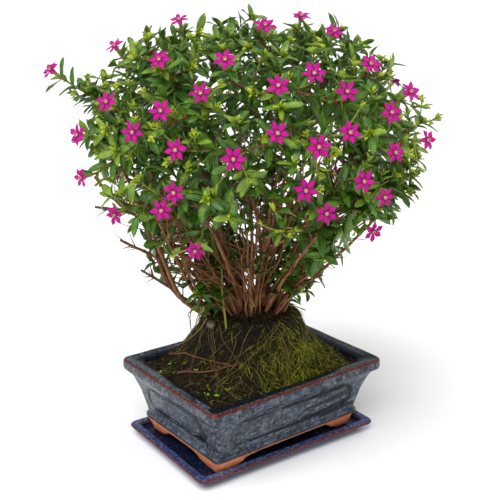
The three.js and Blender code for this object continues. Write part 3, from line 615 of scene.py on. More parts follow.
    def relief(self, height: object, depth: float, strength: float = 1.0,
               over: object = None) -> bpy.types.NodeSocket:
        """Gives the surface relief with a depth in millimetres.

        Args:
            height: Socket of the height.
            depth: Depth in millimetres.
            strength: Strength of the relief.
            over: Coarser relief that it lies on.

        Returns:
            The socket that gives it.
        """
        node = self.tree.nodes.new("ShaderNodeBump")
        node.inputs["Strength"].default_value = strength
        node.inputs["Distance"].default_value = depth * MM
        self.put(node.inputs["Height"], height)
        if over is not None:
            self.put(node.inputs["Normal"], over)
        return node.outputs["Normal"]


@dataclass(frozen=True)
class Finish:
    """A procedural finish, made once under its name."""

    name: str

    def make(self) -> bpy.types.Material:
        """Gives the material of this finish.

        Returns:
            The material.
        """
        known = bpy.data.materials.get(self.name)
        if known is not None:
            return known
        wiring = Wiring(self.name)
        self.dress(wiring)
        return wiring.material

    def dress(self, w: Wiring) -> None:
        """Fills the node tree."""
        raise NotImplementedError


@dataclass(frozen=True)
class Glaze(Finish):
    """Mottled stoneware glaze: thin and rusty where `edge` is 1, thick and dark where the pool value is 1,
    which in places is painted shade.
    """

    light: str = "#6e7782"
    deep: str = "#12161d"
    blue: str = "#28395c"
    pool_and_shade: str = "#070b14"
    rust: str = "#702d18"
    blueness: float = 0.3
    gloss: float = 0.2

    def dress(self, w: Wiring) -> None:
        """Fills the node tree.

        Args:
            w: Wiring of the material.
        """
        cloud = w.grain(9, 4, 0.6)
        mottle = w.grain(2.6, 4, 0.55)
        speck = w.cells(1.15)
        body = w.ramp(mottle, (0.33, self.deep), (0.5, "#3a4149"), (0.68, self.light))
        body = w.blend(w.span(cloud, 0.42, 0.62, 0, self.blueness), body, self.blue)
        drift = w.grain(16, 3, 0.6, warp=0.8)
        body = w.blend(w.span(drift, 0.56, 0.68, 0, 0.55), body, "#141b2b")
        body = w.blend(w.span(drift, 0.44, 0.34, 0, 0.3), body, "#7c8896")
        body = w.blend(w.span(speck, 0.30, 0.05, 0, 0.6), body, "#10151f")
        body = w.blend(w.span(w.cells(1.7), 0.2, 0.05, 0, 0.4), body, "#9aa8b8")
        # The pooled-glaze value darkens the glaze. On the pot's front lip and inner slope and inside the
        # saucer this dark is partly painted shade.
        ragged = w.math("ADD", w.value("pool_and_shade"), w.vary(mottle, -0.22, 0.22))
        deep_glaze_and_shade = w.ramp(w.grain(3.2, 3, 0.6), (0.54, self.pool_and_shade), (0.64, "#0c1b33"), (0.8, "#2b5c94"))
        body = w.blend(w.span(ragged, 0.38, 0.62, 0, 0.92), body, deep_glaze_and_shade)
        worn = w.math("ADD", w.value("edge"), w.vary(w.grain(1.6, 4, 0.65), -0.3, 0.3))
        rust = w.ramp(w.grain(1.2, 3), (0.34, "#1a0a06"), (0.48, "#54200f"), (0.64, self.rust),
                      (0.8, "#bd6b3e"))
        body = w.blend(w.span(worn, 0.5, 0.74, 0, 0.95), body, rust)
        w.give(Base_Color=body, Roughness=w.vary(w.grain(1.8, 3), self.gloss, self.gloss + 0.16))
        w.give(Coat_Weight=w.span(ragged, 0.35, 0.65, 0.16, 0.05), Coat_Roughness=0.1)
        w.give(Specular_IOR_Level=0.14)
        soft = w.relief(w.grain(3.4, 2), 0.35, 0.5)
        w.give(Normal=w.relief(w.grain(0.55, 3), 0.09, 0.5, soft))


@dataclass(frozen=True)
class Terracotta(Finish):
    """Bare red clay with dust, pits and glaze stains where `stain` is 1."""

    def dress(self, w: Wiring) -> None:
        """Fills the node tree.

        Args:
            w: Wiring of the material.
        """
        body = w.ramp(w.grain(3.5, 5, 0.65), (0.3, "#cc6a40"), (0.55, "#e48a5e"), (0.75, "#f0b08c"))
        body = w.blend(w.span(w.cells(0.8), 0.2, 0.05, 0, 0.5), body, "#7c3a20")
        stained = w.math("ADD", w.value("stain"), w.vary(w.grain(2.2, 4), -0.3, 0.3))
        body = w.blend(w.span(stained, 0.42, 0.7, 0, 0.9), body, "#4a251c")
        w.give(Base_Color=body, Roughness=w.vary(w.grain(1.4), 0.72, 0.95))
        w.give(Normal=w.relief(w.grain(0.6, 4, 0.7), 0.12, 0.6))


@dataclass(frozen=True)
class Earth(Finish):
    """Dark potting soil, crumbs and peat, greener where `green` is 1."""

    low: str = "#080605"
    middle: str = "#1c140d"
    high: str = "#443222"
    green: str = "#2c2f0c"

    def dress(self, w: Wiring) -> None:
        """Fills the node tree.

        Args:
            w: Wiring of the material.
        """
        clod = w.grain(4.5, 5, 0.7)
        body = w.ramp(clod, (0.32, self.low), (0.5, self.middle), (0.74, self.high))
        fibre = w.grain(0.9, 4, 0.75, warp=1.4)
        body = w.blend(w.span(fibre, 0.58, 0.76, 0, 0.65), body, "#4d3823")
        mossy = w.math("ADD", w.value("green"), w.vary(w.grain(3.0, 4, 0.7), -0.35, 0.35))
        moss = w.ramp(w.grain(0.8, 3), (0.32, "#0f1204"), (0.6, "#242808"), (0.82, "#6c6c16"))
        body = w.blend(w.span(mossy, 0.42, 0.62, 0, 0.85), body, moss)
        w.give(Base_Color=body, Roughness=w.vary(clod, 0.82, 1.0), Specular_IOR_Level=0.25)
        rough = w.relief(clod, 1.4, 0.8)
        w.give(Normal=w.relief(fibre, 0.5, 0.9, rough))


@dataclass(frozen=True)
class Strand(Finish):
    """Moss, grass-like strands and dry roots, coloured by `tone`, paler towards the tip and darkened towards
    the root as painted shade.
    """

    dark: str = "#111504"
    middle: str = "#48540a"
    bright: str = "#bfc214"
    tip: str = "#b9b23c"

    def dress(self, w: Wiring) -> None:
        """Fills the node tree.

        Args:
            w: Wiring of the material.
        """
        shade = w.math("ADD", w.value("tone"), w.vary(w.grain(2.6, 3), -0.15, 0.15), clamp=True)
        body = w.ramp(shade, (0.05, self.dark), (0.5, self.middle), (0.95, self.bright))
        # Painted shade: each strand is darkened towards its root, where the others would shade it.
        body = w.blend(w.span(w.value("along"), 0.4, 0.0, 0, 0.75), body, self.dark)
        body = w.blend(w.span(w.value("along"), 0.55, 1.0, 0, 0.55), body, self.tip)
        w.give(Base_Color=body, Roughness=w.vary(w.grain(0.7), 0.55, 0.8))
        w.give(Specular_IOR_Level=0.25, Subsurface_Weight=0.08, Subsurface_Radius=(0.001, 0.001, 0.0004))
        w.give(Normal=w.relief(w.grain(0.35, 2), 0.06, 0.4))


@dataclass(frozen=True)
class Bark(Finish):
    """Stringy bark streaked lengthwise, darker and greyer where `age` is 1."""

    dark: str = "#180a06"
    middle: str = "#653019"
    streak: str = "#d8985c"
    old: str = "#1d1611"
    streaks: float = 0.75

    def dress(self, w: Wiring) -> None:
        """Fills the node tree.

        Args:
            w: Wiring of the material.
        """
        turn = w.math("MULTIPLY", w.value("around"), 2 * math.pi)
        along = w.value("along")
        spot = w.joined(w.math("COSINE", turn), w.math("SINE", turn), w.math("MULTIPLY", along, 0.055))
        string = w.grain(0.3, 5, 0.7, at=spot)
        patch = w.grain(7, 4, 0.6)
        body = w.ramp(string, (0.34, self.dark), (0.48, self.middle), (0.64, self.streak))
        streaked = w.ramp(string, (0.38, "#46200f"), (0.62, "#cf9150"))
        body = w.blend(w.span(patch, 0.42, 0.66, 0, self.streaks), body, streaked)
        ring = w.math("SINE", w.math("MULTIPLY", along, 0.9))
        body = w.blend(w.span(ring, 0.93, 1.0, 0, 0.35), body, self.dark)
        aged = w.ramp(string, (0.3, "#15100d"), (0.62, self.old), (0.8, "#5d4c3c"))
        body = w.blend(w.span(w.value("age"), 0, 1, 0, 0.9), body, aged)
        w.give(Base_Color=body, Roughness=w.vary(patch, 0.6, 0.88))
        fine = w.relief(w.grain(0.5, 3), 0.1, 0.5)
        w.give(Normal=w.relief(string, 0.45, 0.8, fine))


@dataclass(frozen=True)
class CutWood(Finish):
    """The pale end of a cut stem."""

    def dress(self, w: Wiring) -> None:
        """Fills the node tree.

        Args:
            w: Wiring of the material.
        """
        ringed = w.grain(0.5, 3, 0.6)
        w.give(Base_Color=w.ramp(ringed, (0.3, "#a9825c"), (0.6, "#d9bd95"), (0.8, "#e9d8b8")))
        w.give(Roughness=w.vary(w.grain(0.9), 0.7, 0.9), Normal=w.relief(ringed, 0.15, 0.5))


@dataclass(frozen=True)
class TwigSkin(Finish):
    """Young bark: green at the tip, reddish brown where `age` is 1."""

    def dress(self, w: Wiring) -> None:
        """Fills the node tree.

        Args:
            w: Wiring of the material.
        """
        fine = w.grain(0.8, 4, 0.65)
        young = w.ramp(fine, (0.3, "#5b6b22"), (0.7, "#a3a244"))
        aged = w.ramp(fine, (0.3, "#4a2416"), (0.55, "#81442a"), (0.75, "#a8693f"))
        share = w.math("ADD", w.value("age"), w.vary(w.grain(5, 3), -0.25, 0.25))
        w.give(Base_Color=w.blend(w.span(share, 0.3, 0.75), young, aged))
        w.give(Roughness=w.vary(fine, 0.45, 0.7), Normal=w.relief(fine, 0.12, 0.6))


@dataclass(frozen=True)
class LeafSkin(Finish):
    """Glossy leaf with a lighter midrib and side veins, yellow-green where `young` is 1."""

    def dress(self, w: Wiring) -> None:
        """Fills the node tree.

        Args:
            w: Wiring of the material.
        """
        along, across, young = w.value("along"), w.value("across"), w.value("young")
        aside = w.math("ABSOLUTE", across)
        cloud = w.grain(7, 3, 0.6)
        old = w.ramp(cloud, (0.3, "#1f4409"), (0.5, "#3b6c0d"), (0.72, "#71a016"))
        fresh = w.ramp(cloud, (0.3, "#9abb1c"), (0.72, "#d8de3c"))
        body = w.blend(w.span(young, 0.15, 0.85), old, fresh)
        slanted = w.math("SUBTRACT", along, w.math("MULTIPLY", aside, 0.16))
        vein_at = w.math("SINE", w.math("MULTIPLY", slanted, 62))
        vein = w.math("MULTIPLY", w.span(vein_at, 0.75, 1.0), w.span(aside, 0.9, 0.3))
        rib = w.span(aside, 0.12, 0.03)
        body = w.blend(w.math("MULTIPLY", vein, 0.2), body, "#7fa14a")
        body = w.blend(w.math("MULTIPLY", rib, 0.4), body, "#8fae54")
        body = w.blend(w.span(w.value("under"), 0.4, 0.6, 0, 0.45), body, "#6f903c")
        dry = w.math("ADD", w.value("dry"), w.vary(w.grain(1.5), -0.2, 0.2))
        body = w.blend(w.span(dry, 0.5, 0.75), body, "#8a5a2c")
        w.give(Base_Color=body, Roughness=w.vary(w.grain(2.5, 3), 0.28, 0.44))
        w.give(Subsurface_Weight=0.12, Subsurface_Radius=(0.0009, 0.0014, 0.0003), Specular_IOR_Level=0.4)
        w.give(Coat_Weight=0.22, Coat_Roughness=0.2)
        height = w.math("SUBTRACT", w.grain(1.1, 2), w.math("ADD", w.math("MULTIPLY", vein, 0.5), rib))
        w.give(Normal=w.relief(height, 0.16, 0.7))


@dataclass(frozen=True)
class PetalSkin(Finish):
    """Crinkled magenta petal, dark purple at its foot."""

    def dress(self, w: Wiring) -> None:
        """Fills the node tree.

        Args:
            w: Wiring of the material.
        """
        along, across = w.value("along"), w.value("across")
        stripe = w.math("SINE", w.math("MULTIPLY", across, 17))
        cloud = w.grain(2.2, 3, 0.6)
        body = w.ramp(cloud, (0.3, "#a80078"), (0.55, "#cd0094"), (0.8, "#e01ca8"))
        body = w.blend(w.span(stripe, 0.4, 1.0, 0, 0.3), body, "#7c005c")
        body = w.blend(w.span(along, 0.24, 0.04), body, "#5c0045")
        body = w.blend(w.span(along, 0.82, 1.0, 0, 0.2), body, "#dc3fae")
        w.give(Base_Color=body, Roughness=w.vary(cloud, 0.5, 0.72))
        w.give(Specular_IOR_Level=0.25)
        w.give(Subsurface_Weight=0.1, Subsurface_Radius=(0.0012, 0.0003, 0.0008))
        w.give(Normal=w.relief(w.math("ADD", stripe, w.grain(0.9, 3)), 0.14, 0.6))


@dataclass(frozen=True)
class BloomHeart(Finish):
    """The middle of a bloom: a dark ring round a cream throat, by `along`."""

    def dress(self, w: Wiring) -> None:
        """Fills the node tree.

        Args:
            w: Wiring of the material.
        """
        spotted = w.math("ADD", w.value("along"), w.vary(w.grain(0.5, 2), -0.1, 0.1))
        body = w.ramp(spotted, (0.0, "#8a0a5e"), (0.3, "#5a0040"), (0.42, "#a8486c"),
                      (0.6, "#dfa58c"), (1.0, "#eec9a4"))
        w.give(Base_Color=body, Roughness=w.vary(w.grain(0.6), 0.5, 0.75))
        w.give(Normal=w.relief(w.grain(0.3, 2), 0.08, 0.6))


@dataclass(frozen=True)
class CalyxSkin(Finish):
    """Ribbed green tube that blushes towards its mouth."""

    flush: str = "#c97b8e"

    def dress(self, w: Wiring) -> None:
        """Fills the node tree.

        Args:
            w: Wiring of the material.
        """
        body = w.ramp(w.grain(1.2, 3), (0.3, "#7d9a2a"), (0.7, "#b9c757"))
        rib = w.math("SINE", w.math("MULTIPLY", w.value("around"), 2 * math.pi * 6))
        body = w.blend(w.span(rib, 0.2, 1.0, 0, 0.45), body, "#5c7a1c")
        body = w.blend(w.span(w.value("along"), 0.55, 1.0, 0, 0.75), body, self.flush)
        w.give(Base_Color=body, Roughness=w.vary(w.grain(0.8), 0.5, 0.7))
        w.give(Subsurface_Weight=0.1, Subsurface_Radius=(0.0008, 0.001, 0.0003))
        w.give(Normal=w.relief(w.grain(0.4, 2), 0.07, 0.5))


@dataclass(frozen=True)
class Stone(Finish):
    """Grey-brown pebble with fine pits."""

    def dress(self, w: Wiring) -> None:
        """Fills the node tree.

        Args:
            w: Wiring of the material.
        """
        body = w.ramp(w.grain(2.6, 5, 0.7), (0.3, "#4b423a"), (0.55, "#7d7166"), (0.78, "#a4978a"))
        body = w.blend(w.span(w.cells(0.9), 0.25, 0.08, 0, 0.6), body, "#2e2823")
        w.give(Base_Color=body, Roughness=w.vary(w.grain(1.1), 0.65, 0.9))
        w.give(Normal=w.relief(w.grain(0.7, 4, 0.7), 0.25, 0.7))


@dataclass(frozen=True)
class Plastic(Finish):
    """Dark moulded plastic net with soil dust."""

    def dress(self, w: Wiring) -> None:
        """Fills the node tree.

        Args:
            w: Wiring of the material.
        """
        dust = w.grain(1.6, 4, 0.65)
        w.give(Base_Color=w.ramp(dust, (0.42, "#14171a"), (0.75, "#4a3c2f")))
        w.give(Roughness=w.vary(dust, 0.4, 0.75), Normal=w.relief(w.grain(0.5, 2), 0.05, 0.4))


@dataclass(frozen=True)
class Paper(Finish):
    """The pale floor's even, slightly toothed surface."""

    def dress(self, w: Wiring) -> None:
        """Fills the node tree.

        Args:
            w: Wiring of the material.
        """
        tooth = w.grain(3, 3)
        w.give(Base_Color=w.ramp(tooth, (0.2, "#fdfdfd"), (0.8, "#ffffff")), Roughness=0.9)
        w.give(Specular_IOR_Level=0.1, Normal=w.relief(tooth, 0.05, 0.1))


# The pot and its saucer


@dataclass(frozen=True)
class Outline:
    """A rectangle with round corners, walked counter-clockwise with equal counts whatever its size."""

    side_x: int
    side_y: int
    corner: int = 7

    def ring(self, half_x: float, half_y: float, radius: float) -> np.ndarray:
        """Gives the places of one outline.

        Args:
            half_x: Half its length.
            half_y: Half its width.
            radius: Radius of its corners.

        Returns:
            Its places as an array of X and Y.
        """
        places = []
        corners = [(1, 1, 0), (-1, 1, 90), (-1, -1, 180), (1, -1, 270)]
        for k, (sx, sy, start) in enumerate(corners):
            for step in range(self.corner + 1):
                angle = math.radians(start + 90 * step / self.corner)
                x = sx * (half_x - radius) + radius * math.cos(angle)
                places.append((x, sy * (half_y - radius) + radius * math.sin(angle)))
            next_x, next_y = corners[(k + 1) % 4][:2]
            goal = np.array([next_x * (half_x - radius), next_y * (half_y - radius)])
            goal += radius * np.array([(0, 1), (-1, 0), (0, -1), (1, 0)][k])
            here = np.array(places[-1])
            count = self.side_y if k % 2 else self.side_x
            places += [tuple(here + (goal - here) * t) for t in np.arange(1, count + 1) / (count + 1)]
        return np.array(places)


def dense_profile(points: Sequence[Sequence[float]], spacing: float) -> np.ndarray:
    """Splits the lines of a profile into short steps.

    Args:
        points: Corners of the profile, each with its inset and height first.
        spacing: Longest step.

    Returns:
        Rows of the profile with all their numbers in between.
    """
    rows = [np.array(points[0], float)]
    for start, end in zip(np.array(points[:-1], float), np.array(points[1:], float)):
        count = max(1, math.ceil(np.linalg.norm((end - start)[:2]) / spacing))
        rows += [start + (end - start) * t for t in np.arange(1, count + 1) / count]
    return np.array(rows)


@dataclass
class Saucer:
    """The shallow tray: a slanting side, a flat band round its top and a sunk floor."""

    length: float = 151
    width: float = 102
    corner: float = 5
    turn: float = -2.5
    # Rows of the tray: inset, height, edge wear and pooled glaze. The high pooled-glaze values on the inner
    # wall and floor are partly pooled glaze and partly painted shade.
    profile: tuple = (
        (8, 0, 0.1, 0), (7.4, 0.8, 0.5, 0), (6.4, 1.4, 0.35, 0), (1.4, 5.1, 0.0, 0), (0.5, 5.8, 0.3, 0),
        (0, 6.7, 0.85, 0), (0.1, 7.5, 0.95, 0), (0.6, 8.1, 0.75, 0), (1.2, 8.3, 0.1, 0),
        (3.2, 8.3, -0.1, 0.15), (4.9, 8.3, 0.2, 0.1), (5.7, 8.0, 0.85, 0), (6.1, 7.4, 0.7, 0.1),
        (6.4, 6.4, 0.0, 0.6), (6.9, 5.0, 0, 1.0), (8.2, 4.5, 0, 1.1), (14, 4.5, 0, 0.9),
        (24, 4.5, 0, 0.8), (36, 4.5, 0, 0.8), (49.5, 4.5, 0, 0.8),
    )

    def build(self) -> bpy.types.Object:
        """Lofts the tray and glazes it.

        Returns:
            The piece.
        """
        outline = Outline(54, 38, 5)
        rows = dense_profile(self.profile, 1.1)
        shape = Shape(("edge", "pool_and_shade"))
        rings, edge, pool_and_shade = [], [], []
        for inset, z, worn, thick in rows:
            radius = max(self.corner - inset / 3, 1.4)
            flat = outline.ring(self.length / 2 - inset, self.width / 2 - inset, radius)
            rings.append(np.column_stack([flat, np.full(len(flat), z)]))
            corner = 0.35 if 0.2 < inset < 8 and z > 0.5 else 0
            near_corner = mask_between(self._cornerness(flat), 0.94, 1.0)
            edge.append(worn + corner * near_corner)
            pool_and_shade.append(np.full(len(flat), thick))
        places = np.concatenate(rings)
        waves = 0.16 * grain(places, 11, 3.1) + 0.08 * grain(places, 4, 7.7)
        rise = places[:, 2]
        places[:, 2] += np.where((rise > 1) & (rise < 8.2), waves, 0.4 * waves * (rise > 1))
        places[:, :2] *= (1 + 0.0008 * grain(places, 16, 1.3))[:, None]
        angle = math.radians(self.turn)
        spin = np.array([[math.cos(angle), -math.sin(angle)], [math.sin(angle), math.cos(angle)]])
        places[:, :2] = places[:, :2] @ spin.T
        faces = loft_faces(len(rings), len(rings[0]))
        shape.add(places, faces, edge=np.concatenate(edge), pool_and_shade=np.concatenate(pool_and_shade))
        glaze = Glaze("glaze_saucer", light="#6878b0", deep="#18224a", blue="#2c4288", blueness=0.75,
                      pool_and_shade="#090f24", rust="#7c3620")
        return shape.piece("saucer_tray", [glaze.make()], Slot.SAUCER, ["saucer"])

    def _cornerness(self, flat: np.ndarray) -> np.ndarray:
        """Gives 1 at the corners of an outline and less along its sides."""
        share = np.abs(flat) / np.abs(flat).max(axis=0)
        return share.min(axis=1)


@dataclass
class Pot:
    """The glazed bowl with its lip band, engraved panels and drain hole."""

    length: float = 150
    width: float = 117
    height: float = 44.5
    corner: float = 5
    end_inset: float = 11.5
    side_inset: float = 13
    drain: float = 8
    base_z: float = 14.5
    floor_z: float = 20.0
    wall: tuple = (
        (0, 1.03), (0.8, 0.97), (3.2, 0.97), (4.3, 1.06), (7.5, 1.03), (13, 0.93), (18, 0.83), (23, 0.72),
        (27, 0.59), (31, 0.46), (33.5, 0.345), (35, 0.28), (36.1, 0.1), (36.9, 0.03), (38.4, 0),
        (40.5, -0.01), (42.2, 0), (43.4, 0.02), (44.1, 0.06), (44.5, 0.13),
    )
    worn: tuple = (
        (0, 0.9), (0.6, 0.6), (1.2, 0), (3.0, 0), (3.9, 0.3), (4.8, 0), (35.6, 0.0), (36.4, 0.3), (37.6, 0.0),
        (41.8, 0.1), (42.8, 0.75), (43.9, 1.05), (44.5, 0.45),
    )
    # Rows over the lip and down the inside: inset, drop below the lip, edge wear and pooled glaze. The full
    # value down the inner slope is partly pooled glaze and partly painted shade.
    inner: tuple = (
        (1.9, 0.0, 0.0, 0.0), (3.4, -0.2, 0, 0.05), (5.2, -0.5, 0, 0.2), (6.4, -0.75, 0.1, 0.35),
        (7.4, -1.0, 0, 0.7), (9.0, -1.5, 0, 1), (10.6, -2.2, 0, 1), (11.7, -3.4, 0, 1), (12.4, -6, 0, 1),
        (13.2, -12, 0, 1), (17.5, -36.5, 0, 1), (18.9, -38.9, 0, 1), (19.6, -39.0, 0, 1),
    )
    panel_half: tuple = (52.5, 34.5)
    panel_low: float = 9.5
    panel_high: float = 29
    panel_corner: float = 8
    strokes: tuple = (
        (-0.22, 0.97, 0.8, 1.0, 1.3, 1.9), (0.15, 0.02, 0.59, 0.1, 0.8, 1.5),
        (0.59, 0.1, 0.86, 0.24, 2.0, 3.0), (-0.67, -0.97, 0.35, -0.97, 0.9, 1.4),
        (0.37, -0.75, 1.0, -0.5, 1.0, 1.8), (0.5, -1.25, 1.1, -1.0, 1.0, 1.6),
    )

    @property
    def lip_z(self) -> float:
        """Height of the lip."""
        return self.base_z + self.height

    def _outside(self) -> list[tuple[float, float, float]]:
        """Gives share of the inset, height and edge wear up the outside wall.

        Returns:
            Rows of the three numbers, from the base to the lip.
        """
        heights = [h for h, _ in self.wall]
        rows = dense_profile([(h, 0) for h in heights], 0.85)[:, 0]
        shares = np.interp(rows, *np.array(self.wall, float).T)
        shares = np.where((rows > 4.3) & (rows < 33.5), rounded(self.wall, rows), shares)
        return list(zip(shares, rows, np.interp(rows, *np.array(self.worn, float).T)))

    def _strokes(self, along: np.ndarray, across: np.ndarray) -> np.ndarray:
        """Works out how thick the glaze lies in the brush strokes of a long panel.

        Args:
            along: Places along the panel, 1 at its end that the strokes gather at.
            across: Places across it, 1 at its upper edge.

        Returns:
            Thickness, about 1 within a stroke.
        """
        thick = np.zeros(len(along))
        for start_x, start_y, end_x, end_y, start_half, end_half in self.strokes:
            share = np.clip((along - start_x) / (end_x - start_x), 0, 1)
            off = np.hypot((along - start_x - share * (end_x - start_x)) * self.panel_half[0],
                           (across - start_y - share * (end_y - start_y)) * 11)
            half = start_half + share * (end_half - start_half)
            thick = np.maximum(thick, np.clip(1.5 - off / half, 0, 1))
        return thick

    def _panel(self, flat: np.ndarray, rise: float) -> tuple[np.ndarray, np.ndarray, np.ndarray]:
        """Works out the engraved panel at one height of the wall.

        Args:
            flat: Places of the outline there.
            rise: Height over the pot's base.

        Returns:
            How deep each place is cut, how thick the glaze pools there, and the way in.
        """
        long_face = np.abs(flat[:, 1]) / self.width > np.abs(flat[:, 0]) / self.length
        along = np.where(long_face, flat[:, 0], flat[:, 1])
        half = np.where(long_face, self.panel_half[0], self.panel_half[1])
        inward = np.where(long_face[:, None], np.column_stack([0 * along, -np.sign(flat[:, 1])]),
                          np.column_stack([-np.sign(flat[:, 0]), 0 * along]))
        across = rise - (self.panel_high + self.panel_low) / 2
        spots = np.column_stack([flat, np.full(len(flat), rise)])
        along = along + 0.5 * grain(spots, 14, 2.2)
        across = across + 0.45 * grain(spots, 17, 8.4)
        radius = self.panel_corner + 1.5
        qx = np.abs(along) - (half - radius)
        qy = np.abs(across) - ((self.panel_high - self.panel_low) / 2 - radius)
        reach = np.hypot(np.maximum(qx, 0), np.maximum(qy, 0)) + np.minimum(np.maximum(qx, qy), 0) - radius
        cut = 0.8 * np.clip(1 - (reach / 1.25) ** 2, 0, 1) ** 0.7
        broken = mask_between(grain(spots, 12, 5.1), -0.25, 0.25)
        cut = cut + 0.3 * np.clip(1 - ((reach + 3.2) / 0.8) ** 2, 0, 1) * broken
        heavy = mask_between(np.where(long_face, along, -along) * -np.sign(flat[:, 1]), -10, 30)
        heavy = heavy * (0.4 + 0.6 * mask_between(grain(spots, 15, 7.3), -0.3, 0.2))
        brush = 1.15 + 0.9 * heavy
        pool_and_shade = (0.72 + 0.35 * heavy) * np.clip(1.35 - np.abs(reach) / brush, 0, 1) * (0.55 + 0.45 * broken)
        pool_and_shade = pool_and_shade + (0.6 + 0.5 * heavy) * np.clip(1.25 - np.abs(reach + 3.4) / (0.7 * brush), 0, 1) * broken
        sweep = across + 7.5 - 0.12 * (np.abs(along) - 20)
        pool_and_shade = pool_and_shade + 0.9 * heavy * np.clip(1.3 - np.abs(sweep) / 1.2, 0, 1) * (np.abs(along) < half - 3)
        height = self.panel_high - self.panel_low
        stroked = self._strokes(along * -np.sign(flat[:, 1]) / half, 2 * across / height)
        pool_and_shade = pool_and_shade + 0.9 * stroked * long_face
        pool_and_shade = pool_and_shade + 0.16 * mask_between(-reach, 4.2, 5.4) * mask_between(grain(spots, 16, 9.1), -0.2, 0.2)
        swell = 0.35 * mask_between(-reach, 1.0, 4.0)
        return cut - swell, pool_and_shade, inward

    def build(self) -> bpy.types.Object:
        """Lofts the bowl, outside, lip, inside and drain hole in one closed skin.

        Returns:
            The piece.
        """
        outline = Outline(68, 50, 5)
        rows = self._outer_rows(outline) + self._inner_rows(outline)
        hole = outline.ring(self.drain, self.drain, self.drain - 0.01)
        for z in (self.floor_z, self.floor_z - 2.5, self.base_z + 0.2, self.base_z):
            rows.append((hole, z, np.full(len(hole), 0.6), np.zeros(len(hole))))
        places = np.concatenate([np.column_stack([flat, np.full(len(flat), z)]) for flat, z, _, _ in rows])
        outward = units(places * np.array([1 / self.length, 1 / self.width, 0]))
        uneven = 0.22 * grain(places, 19, 4.4) + 0.09 * grain(places, 5, 9.2)
        shown = places[:, 2] > self.base_z + 1
        places += outward * (uneven * shown)[:, None]
        top = places[:, 2] > self.lip_z - 1.5
        places[top, 2] += 0.25 * grain(places[top], 14, 6.3)
        shape = Shape(("edge", "pool_and_shade"))
        edge, pool_and_shade = (np.concatenate([row[k] for row in rows]) for k in (2, 3))
        shape.add(places, [band_faces(len(rows), len(hole), closed=True)], edge=edge, pool_and_shade=pool_and_shade)
        return shape.piece("pot_bowl", [Glaze("glaze_pot").make()], Slot.POT, ["pot"])

    def _outer_rows(self, outline: Outline) -> list[tuple[np.ndarray, float, np.ndarray, np.ndarray]]:
        """Gives the rows up the outside, with the base moulding, the panels and the lip band.

        Args:
            outline: Outline of the bowl.

        Returns:
            Places, height, edge wear and pooled glaze of each row.
        """
        rows = []
        for share, rise, worn in self._outside():
            half = (self.length / 2 - share * self.end_inset, self.width / 2 - share * self.side_inset)
            flat = outline.ring(*half, self.corner - 1.5 * min(max(share, 0), 1))
            cornered = np.minimum(np.abs(flat[:, 0]) / half[0], np.abs(flat[:, 1]) / half[1])
            corner = mask_between(cornered, 0.955, 0.985)
            pool_and_shade = np.zeros(len(flat))
            if 4.4 < rise < 34:
                cut, pool_and_shade, inward = self._panel(flat, rise)
                flat = flat + inward * cut[:, None]
            if rise < 4.4:
                pool_and_shade = pool_and_shade + 0.55 * np.exp(-(((rise - 1.9) / 1.1) ** 2))
            if 4.2 <= rise < 6.2:
                pool_and_shade = pool_and_shade + 0.5 * (1 - (rise - 4.2) / 2)
            if 33.5 < rise < 36.6:
                pool_and_shade = pool_and_shade + 0.6 * np.exp(-(((rise - 35.4) / 0.9) ** 2))
            edge = worn + (0.9 if rise > 4 else 0.3) * corner * (0.8 if rise < 36 else 0.45)
            rows.append((flat, self.base_z + rise, edge, pool_and_shade))
        return rows

    def _inner_rows(self, outline: Outline) -> list[tuple[np.ndarray, float, np.ndarray, np.ndarray]]:
        """Gives the rows over the lip and down the inside to the floor.

        Args:
            outline: Outline of the bowl.

        Returns:
            Places, height, edge wear, and pooled glaze with painted shade of each row.
        """
        rows = []
        for inset, drop, worn, thick in dense_profile(self.inner, 1.3):
            flat = outline.ring(self.length / 2 - inset, self.width / 2 - inset, 4)
            # The front of the lip is painted darker: partly pooled glaze, partly the painted shade of its
            # dark reflection.
            front = flat[:, 1] < -(self.width / 2 - 12)
            front_lip_glaze_and_shade = 0.75 * front * (inset > 1.9) if inset < 7.2 else 0.0
            edge, pool_and_shade = np.full(len(flat), worn), np.full(len(flat), thick) + front_lip_glaze_and_shade
            rows.append((flat, self.lip_z + drop, edge, pool_and_shade))
        return rows


